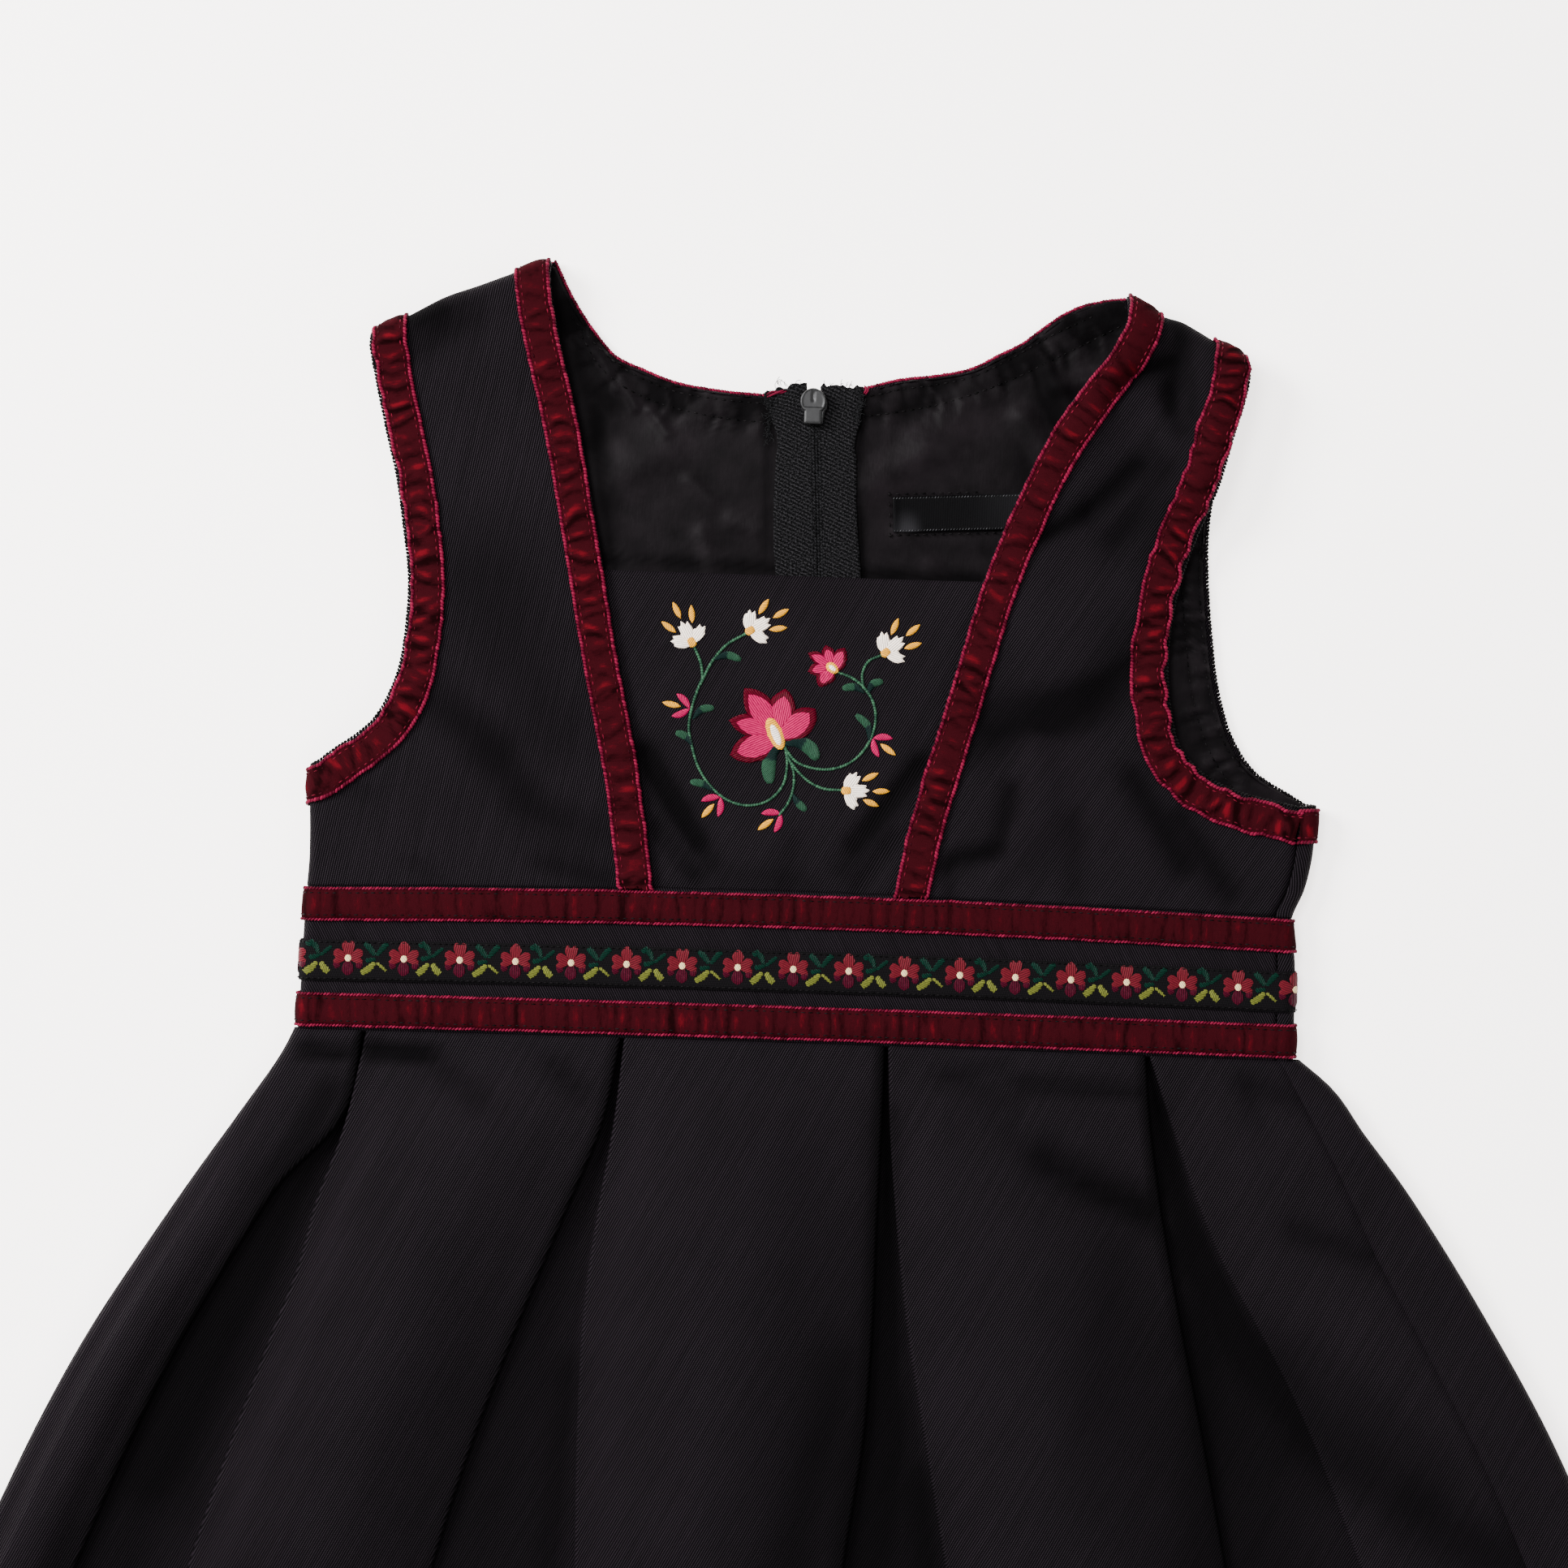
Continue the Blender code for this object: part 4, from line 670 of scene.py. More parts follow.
class Finish:
    """A material with one Principled shader, kept in FINISH by its name."""

    def __init__(self, name, **constants):
        self.material = FINISH[name] = bpy.data.materials.new(name)
        self.material.use_nodes = True
        self.tree = self.material.node_tree
        self.shader = self.tree.nodes["Principled BSDF"]
        for socket, value in constants.items():
            self.shader.inputs[socket.replace("_", " ")].default_value = value

    def value(self, kind, settings=None, out=0, **inputs):
        """One output of a new node."""
        return Value(self.tree, add_node(self.tree, kind, settings, **inputs).outputs[out])

    def grain(self):
        """The cloth's coordinates in millimetres: the pair, and each one alone."""
        pair = self.value("ShaderNodeUVMap", {"uv_map": "grain"})
        split = add_node(self.tree, "ShaderNodeSeparateXYZ", Vector=pair)
        return pair, Value(self.tree, split.outputs["X"]), Value(self.tree, split.outputs["Y"])

    def place(self):
        return self.value("ShaderNodeTexCoord", out="Object")

    def noise(self, vector, scale, detail=2.0, roughness=0.5):
        """Noise at a scale, which may be another one in each direction."""
        stretched = self.value("ShaderNodeMapping", Vector=vector, Scale=scale)
        return self.value("ShaderNodeTexNoise", Vector=stretched, Scale=1.0, Detail=detail,
                          Roughness=roughness)

    def shade(self):
        return self.value("ShaderNodeAttribute", {"attribute_name": "shade"}, "Fac")

    def mix(self, share, *colours):
        first, second = [c if isinstance(c, Value) else (*c, 1) for c in colours]
        return self.value("ShaderNodeMix", {"data_type": "RGBA"}, 2, Factor=share, _6=first, _7=second)

    def colour(self, value):
        self.tree.links.new(value.socket, self.shader.inputs["Base Color"])

    def rough(self, value):
        self.tree.links.new(value.socket, self.shader.inputs["Roughness"])

    def bump(self, height, depth, strength=1.0):
        bump = self.value("ShaderNodeBump", Height=height, Distance=depth * MM, Strength=strength)
        self.tree.links.new(bump.socket, self.shader.inputs["Normal"])


# ---------------------------------------------------------------- bodice


def between(outer, inner, columns):
    """A grid whose rows run straight from one edge to the other."""
    v = np.linspace(0, 1, columns)[None, :, None]
    return outer[:, None] * (1 - v) + inner[:, None] * v


def wraps(reach, count=14):
    """Distances past a side fold, from the seam back to the fold."""
    return np.linspace(SIDE_WRAP + reach, 0.0, count)[:-1]


def wrapped(side, corner_y, reach):
    """The ends of rows that run down from the armhole where it turns over a side fold."""
    w = wraps(reach)
    top = corner_y - UNDERARM_DIP[side] * (w / w[0]) ** 0.8
    foot = np.full_like(w, foot_of(side_fold(side, BAND_TOP)))
    ends = [joined(side_fold(side, y) + side * w, y) for y in (top, foot)]
    return w, ends[0], ends[1]


def beside_fold(grid, side, w):
    """Moves the rows past a side fold so that they follow it all the way down."""
    near = grid[:len(w)]
    near[..., 0] = side_fold(side, near[..., 1]) + side * w[:, None]
    return grid


def foot_line(start, end, count):
    x = np.linspace(start, end, count, endpoint=False)
    return joined(x, foot_of(x))


def over_shoulder(grid, side):
    """Adds the rows that turn over a shoulder to its seam."""
    x = grid[-1, :, 0]
    turn = math.pi * shoulder_turn(side, x)
    fold = shoulder_fold(side, x)
    reach = turn + np.maximum(fold - shoulder_seam(side, x), 0)
    rows = [joined(x, fold + reach * k) for k in np.linspace(0, 1, 24)]
    rows[-1][:, 1] += 1.2
    return np.concatenate([grid[:-1], np.stack(rows)])


def onto_foot(grid):
    grid[0, :, 1] = foot_of(grid[0, :, 0])
    return grid


def to_seam(grid, side):
    grid[-1, :, 1] = shoulder_seam(side, grid[-1, :, 0]) - GAP
    return grid


def with_start(start, points, end=None):
    """Points of an edge, with another first one, and another last one where it is given."""
    return [tuple(start)] + (points[1:] if end is None else points[1:-1] + [tuple(end)])


def at_shoulder(side, x):
    return x, shoulder_seam(side, x) - GAP


def front_left_places():
    corner_y = FRONT_ARMHOLE_LEFT[0][1]
    armhole = with_start((float(side_fold(-1, corner_y)), corner_y), FRONT_ARMHOLE_LEFT)
    w, tops, feet = wrapped(-1, corner_y, LEFT_SEAM_BODICE)
    foot = foot_line(side_fold(-1, BAND_TOP), FRONT_NECK_LEFT[0][0], 26)
    inner = np.concatenate([feet, foot, places_along(FRONT_NECK_LEFT, 84)])
    outer = np.concatenate([tops, places_along(armhole, 110)])
    grid = beside_fold(between(outer, inner, 50), -1, w)
    return over_shoulder(grid, -1), len(w) + len(foot)


def side_seam(side, y):
    """The seam at a side of the panel that doesn't turn round it."""
    reach = LEFT_SEAM_BODICE if side < 0 else RIGHT_SEAM_BODICE
    return joined(side_fold(side, y) - side * (reach + GAP), y)


def up_side(side, corner_y, count):
    """The side seam from the waistband up to the underarm's corner, without its end."""
    return side_seam(side, np.linspace(foot_of(side_fold(side, BAND_TOP)), corner_y, count)[:-1])


def front_right_places():
    corner_y = FRONT_ARMHOLE_RIGHT[0][1]
    side = up_side(1, corner_y, 18)
    armhole = with_start(side_seam(1, corner_y), FRONT_ARMHOLE_RIGHT)
    outer = np.concatenate([side, places_along(armhole, 105)])
    grid = between(outer, places_along(FRONT_NECK_RIGHT, len(outer)), 56)
    return over_shoulder(onto_foot(grid), 1), len(side)


def insert_places(rows=64, columns=76):
    """The embroidered piece between the two fronts, which lies under their edges."""
    y = np.linspace(foot_of(0), INSERT_TOP, rows)
    ends = []
    for neck, side in ((smoothly(FRONT_NECK_LEFT), -1), (smoothly(FRONT_NECK_RIGHT), 1)):
        points = neck(np.linspace(0, 1, 400))
        ends.append(np.interp(y, points[:, 1], points[:, 0]) + side * INSERT_UNDER)
    grid = between(joined(ends[0], y), joined(ends[1], y), columns)
    down = np.linspace(1, 0, rows)[:, None]
    grid[..., 1] -= (foot_of(0) - foot_of(grid[..., 0])) * down
    return grid


def middle_edge(side, y):
    y = np.asarray(y, float)
    return joined(zip_x(y) + side * zip_gap(y), y)


NECK_ROWS, ARMHOLE_ROWS, FOOT_ROWS, BACK_COLUMNS = 50, 110, 24, 91


def back_inner(side, rows):
    """The ends of a back half's rows: up the zip, then round the neck to the shoulder seam."""
    neck = BACK_NECK_LEFT if side < 0 else BACK_NECK_RIGHT
    curve = with_start(middle_edge(side, neck[0][1]), neck, at_shoulder(side, neck[-1][0]))
    up = middle_edge(side, np.linspace(foot_of(0), neck[0][1], rows - NECK_ROWS + 1)[:-1])
    return np.concatenate([up, places_along(curve, NECK_ROWS)]), len(up)


def back_left_places():
    corner_y, end_x = BACK_ARMHOLE_LEFT[0][1], BACK_ARMHOLE_LEFT[-1][0]
    side = up_side(-1, corner_y, 16)
    armhole = with_start(side_seam(-1, corner_y), BACK_ARMHOLE_LEFT, at_shoulder(-1, end_x))
    outer = np.concatenate([side, places_along(armhole, 95)])
    inner, neck_from = back_inner(-1, len(outer))
    return to_seam(onto_foot(between(outer, inner, BACK_COLUMNS)), -1), len(side), neck_from


def back_right_places():
    corner_y, end_x = BACK_ARMHOLE_RIGHT[0][1], BACK_ARMHOLE_RIGHT[-1][0]
    armhole = with_start((float(side_fold(1, corner_y)), corner_y), BACK_ARMHOLE_RIGHT,
                         at_shoulder(1, end_x))
    w, tops, feet = wrapped(1, corner_y, RIGHT_SEAM_BODICE)
    outer = np.concatenate([tops, places_along(armhole, ARMHOLE_ROWS)])
    foot = foot_line(side_fold(1, BAND_TOP), zip_x(foot_of(0)) + zip_gap(0.0), FOOT_ROWS)
    inner, neck_from = back_inner(1, ARMHOLE_ROWS - FOOT_ROWS)
    grid = between(outer, np.concatenate([feet, foot, inner]), BACK_COLUMNS)
    return to_seam(beside_fold(grid, 1, w), 1), len(w), len(w) + FOOT_ROWS + neck_from


def panel(name, grid, lay, angle, slot="black_twill", lift=0.0, shade=None):
    """A panel of cloth laid on the front or the back."""
    a, b = grid[..., 0], grid[..., 1]
    cloth(name, lay(a, b, lift), twill_grain(a, b, angle), slot, shade=shade)


def front_panel(name, grid, lift=0.0, side_rows=0):
    """A panel of the bodice's front, with painted shade in its troughs. Its edges at the seams tuck in."""
    grid = grid.copy()
    lift = np.full(grid.shape[:2], lift)
    if name != "front_insert":
        lift[-1] -= TUCK
    grid[:side_rows, 0, 0] += TUCK
    lift[:side_rows, 0] -= TUCK
    a, b = grid[..., 0], grid[..., 1]
    # Painted shade: in the troughs of the creases, and along the front's shaded streaks.
    shade = np.clip(-ridges(FRONT_CREASES, a, b) / 2.0, 0, 0.5) + shades(FRONT_SHADES, a, b)
    panel(name, grid, on_front, TWILL_ANGLES[name], lift=lift, shade=np.clip(shade, 0, 1))


# ---------------------------------------------------------------- ribbons and paths of stitches


PATHS = collections.defaultdict(list)  # by piece: its paths' places, and the ways out of the cloth


def sew(piece, places, out=(0.0, 0.0, 1.0)):
    """Adds a path of stitches to a piece."""
    PATHS[piece].append((places, np.broadcast_to(out, places.shape)))


def sew_on(piece, lay, line, lift):
    """Adds a path of stitches that follows a line on the cloth, at a height over it."""
    place, sign = (front_place, 1) if lay is on_front else (back_place, -1)
    sew(piece, lay(*line.T, lift), sign * normal_of(place, *line.T))


def evenly(points, step):
    """Places at even steps along a path."""
    along = np.concatenate([[0], np.cumsum(np.linalg.norm(np.diff(points, axis=0), axis=1))])
    at = np.linspace(0, along[-1], max(3, int(along[-1] / step)))
    return np.stack([np.interp(at, along, points[:, k]) for k in range(points.shape[1])], -1)


def beside(path, inward, distances):
    """Places beside a path, at distances to its left (inward 1) or to its right (inward -1)."""
    direction = np.gradient(path, axis=0)
    soft = np.array([1, 2, 3, 4, 3, 2, 1.0])
    direction = np.stack([
        np.convolve(np.pad(direction[:, k], 3, "edge"), soft / soft.sum(), "valid") for k in (0, 1)
    ], -1)
    direction /= np.linalg.norm(direction, axis=1, keepdims=True)
    normal = inward * joined(-direction[:, 1], direction[:, 0])
    distances = np.asarray(distances, float)
    if distances.ndim == 1:
        distances = distances[None]
    return path[:, None] + normal[:, None] * distances[..., None]


RIBBON_STEP = 0.7
RIBBON_INSET = 0.7
RIBBON_LIFT = 1.1
RIBBON_WALL = 0.6
STITCH_INSET = 1.3


def puckers(along, share, seed, step, strength, shine, curl):
    """The puckers of a ribbon: how high they rise, and their painted highlights and shade (from 0, dark, to
    1).
    """
    rng = np.random.default_rng(seed)
    height = np.zeros((len(along), len(share)))
    light, dark = height.copy(), height.copy()
    at = rng.uniform(0, step)
    while at < along[-1]:
        width, strong = rng.uniform(0.8, 1.6), rng.uniform(0.35, 1.0) * strength
        for part in (1.0, rng.uniform(0.2, 0.8)):
            lean, bow = rng.uniform(-2.3 * curl, 2.3 * curl, 2)
            middle = rng.uniform(-0.5, 0.5)
            away = along[:, None] - at - lean * share[None] - bow * share[None] ** 2
            within = part * strong * np.exp(-((share[None] - middle) / rng.uniform(0.4, 0.85)) ** 4)
            height += within * np.exp(-((away / (width * 1.1)) ** 2))
            # Painted highlight on one flank of each pucker, and painted shade beyond its other flank.
            light += shine * within * np.exp(-(((away - 0.5 * width) / (width * 0.8)) ** 2))
            dark += part * strong * np.exp(-(((away + 1.2 * width) / (width * 0.8)) ** 2))
        at += step * rng.uniform(0.45, 1.6)
    return height, np.clip(0.42 + 0.6 * light - 0.4 * dark, 0, 1), rng


def edge_waves(count, rng, size):
    """How far a ribbon's edge strays from a true line, in small uneven waves."""
    knots = rng.uniform(-size, size, max(3, int(count * RIBBON_STEP / 2.4)))
    return np.interp(np.linspace(0, 1, count), np.linspace(0, 1, len(knots)), knots)


def velvet_ribbon(name, edge, inward, lay, seed, step=4.6, strength=0.85, waves=0.16, bound=None,
                  shine=1.0, curl=1.0, columns=13, sewn=("satin_edges", "ribbon_topstitches")):
    """A velvet ribbon beside the edge of a panel, with its satin edges and two rows of stitches."""
    path = evenly(edge, RIBBON_STEP)
    share = np.linspace(-1, 1, columns)
    across = (RIBBON_INSET + VELVET_WIDTH - 0.35) / 2 + (VELVET_WIDTH - 0.35 - RIBBON_INSET) / 2 * share
    along = np.arange(len(path)) * RIBBON_STEP
    height, light, rng = puckers(along, share, seed, step, strength, shine, curl)
    outer, inner = (edge_waves(len(path), rng, waves * k) for k in (1.0, 0.6))
    stray = outer[:, None] * (1 - share) / 2 + inner[:, None] * (1 + share) / 2

    def beside_edge(distance):
        near = beside(path, inward, distance)
        return near if bound is None else bound(near)

    grid = beside_edge(across[None] + stray)
    lift = RIBBON_LIFT + 0.3 * (1 - share**4)[None] + 0.4 * height * (1 - share**4)
    grain = joined(along[:, None], across[None])
    # The velvet's colour carries the puckers' painted highlights and shade.
    cloth(name, lay(grid[..., 0], grid[..., 1], lift), grain, "velvet", wall=RIBBON_WALL,
          offset=-1.0, shade=light, flip=(inward > 0) == (lay is on_front))
    for column, sign in ((0, 1), (-1, -1)):
        at = across[column] + stray[:, column]
        for piece, further, over in zip(sewn, (0.0, sign * STITCH_INSET), (0.05, 0.22)):
            sew_on(piece, lay, beside_edge((at + further)[:, None])[:, 0], RIBBON_LIFT + over)


# ---------------------------------------------------------------- waistband


def follow_fold(x, y):
    """Moves a column that is given at the middle of the band along with its side fold."""
    side = np.where(x > 0, 1, -1)
    shift = side_fold(side, y) - side_fold(side, 0.0)
    return x + shift * ease(np.abs(x) / BAND_HALF * 2 - 1)


def round_waist(a, height):
    """A place round the waist: how far it is from the front's middle, and its height there by a
    function of the distance from the middle. The back is reached past the side folds."""
    side, fold, beyond = past_side(a, 0.0)
    x = np.where(beyond > SIDE_WRAP, 2 * fold + side * SIDE_WRAP - a, np.where(beyond > 0, fold, a))
    y = height(x)
    shift = side_fold(side, y) - side_fold(side, 0.0)
    near = ease(np.abs(x) / BAND_HALF * 2 - 1)
    return joined(a + shift * np.where(beyond > SIDE_WRAP, 2 - near, near), y)


def floral_foot(a):
    """The lower edge of the woven ribbon, by how far round the waist it is."""
    return round_waist(a, lambda x: FLORAL_TOP + (band_top(x) - BAND_TOP) / 2 - FLORAL_WIDTH)


def waist_ends():
    """How far round the waist the zip's slit is, to the left and to the right."""
    return [float(2 * side_fold(side, 0.0) + side * SIDE_WRAP - (zip_x(0.0) + side * ZIP_SLIT))
            for side in (-1, 1)]


def gathers(a, y):
    """Small uneven gathers across the waistband, beside the woven band's stitches."""
    wave = np.sin(a / 1.9 + 2.0 * np.sin(a / 11.0)) + 0.7 * np.sin(a / 3.3 + 1.5 * np.sin(a / 17.0))
    fade = 0.55 + 0.45 * np.sin(a / 23.0 + 1.0)
    return 0.16 * wave * fade * np.sin(np.pi * np.clip((y - BAND_FOOT) / (BAND_TOP - BAND_FOOT), 0, 1))


def waistband():
    left, right = side_fold(-1, 0.0), side_fold(1, 0.0)
    v = np.linspace(0, 1, 20)[:, None]
    pieces = (
        ("waistband_front", np.concatenate([left - wraps(LEFT_SEAM_BODICE),
                                            np.linspace(left, right - RIGHT_SEAM_BODICE - GAP, 220)]),
         on_front),
        ("waistband_back_left", np.linspace(left + LEFT_SEAM_BODICE + GAP, zip_x(0.0) - ZIP_SLIT, 60),
         on_back),
        ("waistband_back_right", np.concatenate([np.linspace(zip_x(0.0) + ZIP_SLIT, right, 60),
                                                 (right + wraps(RIGHT_SEAM_BODICE))[::-1]]),
         on_back),
    )
    for name, x, lay in pieces:
        y = band_foot(x) + (band_top(x) - band_foot(x)) * v
        y = np.concatenate([y[:1] - 0.8, y, y[-1:] + 0.8])
        a = follow_fold(x[None], y)
        lift = gathers(a, y)
        lift[0], lift[-1] = -TUCK, -TUCK
        cloth(name, lay(a, y, lift), twill_grain(a, y, TWILL_ANGLES["waistband"]), "black_twill",
              flip=lay is on_back)


FLORAL_STEP = 2.0


def waist_ribbons():
    a = np.linspace(*waist_ends(), 900)
    lower = round_waist(a, band_foot)
    upper = round_waist(a, lambda x: band_top(x) - VELVET_WIDTH)
    looks = {"waves": 0.1, "curl": 0.35, "columns": 9, "sewn": ("waist_edges", "waist_topstitches")}
    velvet_ribbon("waist_lower", lower, 1, on_front, 31, 2.8, 0.52, shine=0.85, **looks)
    velvet_ribbon("waist_upper", upper, 1, on_front, 32, 3.3, 0.48, shine=0.7, **looks)
    path = evenly(floral_foot(a), FLORAL_STEP)
    across = np.linspace(0.1, FLORAL_WIDTH - 0.1, 10)
    grid = beside(path, 1, across)
    lift = RIBBON_LIFT + 0.12 * (1 - np.linspace(-1, 1, 10) ** 4)[None] + np.zeros((len(path), 1))
    grain = joined((np.arange(len(path)) * FLORAL_STEP)[:, None], across[None])
    cloth("waist_floral", on_front(grid[..., 0], grid[..., 1], lift), grain, "floral_band",
          wall=RIBBON_WALL, offset=-1.0, flip=True)


# ---------------------------------------------------------------- skirt

SKIRT_CURVES = {name: column_of(points) for name, points in SKIRT_LINES.items()}
SKIRT_TURN = (FRONT_Z - SKIRT_BACK_Z) / 2


def line_point(name, v):
    """A place on a skirt line, a share of the way from the waist to the hem."""
    waist = band_foot(SKIRT_LINES[name][0][1]) - SEAM_AT_WAIST
    hem = SKIRT_LINES[name][-1][0]
    y = waist + (hem - waist) * v
    return SKIRT_CURVES[name](y), y


def skirt_front_z(x, y):
    fade = ease((BAND_FOOT - y) / 95.0)
    near = ease((BAND_FOOT - y) / 10.0)
    return FRONT_Z + ridges(SKIRT_RIDGES, x, y) * fade + ridges(SKIRT_CREASES, x, y) * near


def depth_at(depth, left_x, right_x, full):
    """How deep a pleat's inner fold lies. It runs out as the pleat opens."""
    return np.maximum(LEAST_DEPTH, depth * (1 - (right_x - left_x) / full))


def half_pleat(x, y, depth, way):
    """Half a box pleat across: out round its edge, back under it, and round again to its middle."""
    tip = LAYER / 2
    turns = np.linspace(0, math.pi, 9)
    run = np.linspace(0, 1, 4)[1:]
    folded = [tip * math.sin(t) for t in turns] + [-depth * k for k in run]
    lifts = [-tip * (1 - math.cos(t)) for t in turns] + [-LAYER] * len(run)
    folded += [-depth - tip * math.sin(t) for t in turns[1:]] + [-depth * (1 - k) for k in run]
    lifts += [-LAYER - tip * (1 - math.cos(t)) for t in turns[1:]] + [-2 * LAYER] * len(run)
    return [joined(x + way * f, y, lift) for f, lift in zip(folded, lifts)]


def run_between(start, end, count):
    """Places of a panel between two folds, without its ends."""
    return [start + (end - start) * k for k in np.linspace(0, 1, count + 2)[1:-1]]


FALL = 1.3  # how far a pleat's inner layer falls away to its right
# How strong the painted shade is in each pleat's inner layers.
PLEAT_SHADE = {"a": 0.9, "b": 0.75, "c": 1.0, "d": 0.8}


def pleat(left, right, depths, full, under=7, fall=0.0):
    """One box pleat across, from its left edge, under, and out to its right edge. Its inner layer
    may fall away towards the right."""
    first = half_pleat(*left, depth_at(depths[0], left[0], right[0], full), 1)
    last = half_pleat(*right, depth_at(depths[1], left[0], right[0], full), -1)[::-1]
    inner = run_between(first[-1], last[0], under)
    for k, place in enumerate(inner):
        place[..., 2] -= fall * ease((k + 1) / (under + 1) * 2 - 0.4)
    return first + inner + last


PUFF = 3.6  # how high a panel rises between two pleats


def puffed(line, first, last, v):
    """Raises a panel between two pleats: crisp on its left side, and falling away on its right. It yields the
    painted shade of each of its columns, darker towards the right.
    """
    count = last - first
    for k in range(first, last):
        share = (k - first + 0.5) / count
        rise = ease(share / 0.16) * ease((1 - share) / 0.55)
        line[k] = line[k] + joined(0, 0, PUFF * rise * ease(v * 9))
        yield ease((share - 0.4) * 1.7) * ease(v * 3) * 0.55


def flat_point(point):
    return joined(*point, 0)


def skirt_rows():
    return np.linspace(0, 1, 72) ** 1.2


def left_reach(v):
    """How far the front's cloth runs on under the skirt, past its turn at the left side."""
    return LEFT_SEAM_SKIRT[0] + (LEFT_SEAM_SKIRT[1] - LEFT_SEAM_SKIRT[0]) * ease(v * 3)


def skirt_front():
    v = skirt_rows()
    x_side, y_side = line_point("left side", v)
    fold = (x_side + SKIRT_TURN + WALL / 2, y_side)
    reach = left_reach(v)
    lift = skirt_front_z(*fold)
    radius = (lift - SKIRT_BACK_Z) / 2
    wrap = []
    for w in [math.pi * radius + reach * k for k in (1, 0.66, 0.33)] \
            + [math.pi * radius * k for k in np.linspace(1, 0, 9)[:-1]]:
        out, z = turned(w, lift, SKIRT_BACK_Z)
        wrap.append(joined(fold[0] - out, fold[1], z))
    line, shade = [flat_point(fold)], [0 * v]
    for name, depth_left, depth_right, full in PLEATS:
        left, right = line_point(f"{name} left", v), line_point(f"{name} right", v)
        first = len(line)
        line += run_between(line[-1], flat_point(left), 8 if name == "a" else 24)
        # The first panel gets three times the painted shade, and its puff and shade come on more slowly down
        # the skirt.
        dim = 3.0 if name == "a" else 1.0
        shade += [dark * dim for dark in puffed(line, first, len(line), v / dim)]
        line += pleat(left, right, (depth_left, depth_right), full, 11, FALL)
        count = len(line) - len(shade)
        # Painted shade in the pleat's inner layers: darkest near its left side, and lighter towards the hem.
        shade += [PLEAT_SHADE[name] * (1 - 0.55 * ease(k / count * 2.6 - 0.9)) * ease(2.2 - 2.6 * k / count)
                  * (1 - 0.35 * ease(v * 2 - 0.6)) for k in range(count)]
    seam = line_point("right seam", v)
    line += run_between(line[-1], flat_point(seam), 12)
    line += [flat_point(seam), flat_point(seam) + (0.8, 0, -TUCK)]
    flat = np.stack(line, 1)
    flat[..., 2] += skirt_front_z(flat[..., 0], flat[..., 1])
    places = np.concatenate([np.stack(wrap, 1), flat], 1)
    grain = twill_grain(places[..., 0], places[..., 1], TWILL_ANGLES["skirt"])
    # Painted shade: in the pleats, in the troughs of the creases, and along the skirt's shaded streaks.
    dark = np.zeros(places.shape[:2])
    dark[:, len(wrap):len(wrap) + len(shade)] = np.stack(shade, 1)
    dark += np.clip(-ridges(SKIRT_CREASES, places[..., 0], places[..., 1]) / 3, 0, 0.3)
    dark += shades(SKIRT_SHADES, places[..., 0], places[..., 1])
    cloth("skirt_front", places, grain, "black_twill", wall=SKIRT_CLOTH, shade=np.clip(dark, 0, 1),
          flip=True)


def hem_y(x):
    return HEM_FOOT + HEM_RISE * (x / HEM_HALF) ** 2


def back_line(x_waist, x_hem, v):
    """A place on a line of the skirt's back, which spreads as the front does."""
    waist = band_foot(x_waist) - SEAM_AT_WAIST
    spread = 1.0 - (1.0 - v) ** 1.35
    return x_waist + (x_hem - x_waist) * spread, waist + (hem_y(x_hem) - waist) * v


def skirt_back(side):
    """Half the back of the skirt, whose pleats fold inwards. The right half turns up over the side
    and ends at the seam on the front."""
    v = skirt_rows()
    waist = band_foot(0) - SEAM_AT_WAIST
    centre = (zip_x(-24.0) + side * ZIP_SLIT, waist + (HEM_FOOT - waist) * v)
    pleats = [p for p in BACK_PLEATS if p[0] * side > 0]
    if side < 0:
        x_side, y_side = line_point("left side", v)
        start = (x_side + SKIRT_TURN + WALL / 2 + left_reach(v) + GAP, y_side)
    else:
        start = centre
    line = [flat_point(start)]
    for x_waist, x_hem, open_waist, open_hem in pleats:
        middle_x, middle_y = back_line(x_waist, x_hem, v)
        half = (open_waist + (open_hem - open_waist) * v**1.2) / 2
        left, right = (middle_x - half, middle_y), (middle_x + half, middle_y)
        line += run_between(line[-1], flat_point(left), 8)
        line += pleat(left, right, (BACK_PLEAT_DEPTH,) * 2, BACK_PLEAT_FULL, 5)
    if side < 0:
        line += run_between(line[-1], flat_point(centre), 8) + [flat_point(centre)]
        places = np.stack(line, 1)
        places[..., 2] = SKIRT_BACK_Z - places[..., 2]
    else:
        x_side, y_side = line_point("right side", v)
        fold = (x_side - SKIRT_TURN - WALL / 2, y_side)
        line += run_between(line[-1], flat_point(fold), 10) + [flat_point(fold)]
        flat = np.stack(line, 1)
        flat[..., 2] = SKIRT_BACK_Z - flat[..., 2]
        seam_x, seam_y = line_point("right seam", v)
        top = skirt_front_z(*fold)
        radius = (top - SKIRT_BACK_Z) / 2
        wrap = []
        for k in np.linspace(0, 1, 10)[1:]:
            out, z = turned(math.pi * radius * k, SKIRT_BACK_Z, top)
            wrap.append(joined(fold[0] + out, fold[1], z))
        for k in np.linspace(0, 1, 8)[1:]:
            x, y = fold[0] + (seam_x + 0.1 - fold[0]) * k, y_side + (seam_y - y_side) * k
            wrap.append(joined(x, y, skirt_front_z(x, y)))
        places = np.concatenate([flat, np.stack(wrap, 1)], 1)
    grain = twill_grain(places[..., 0], places[..., 1], TWILL_ANGLES["skirt"])
    cloth(f"skirt_back_{WORD[side]}", places, grain, "black_twill", wall=SKIRT_CLOTH)


# ---------------------------------------------------------------- zip


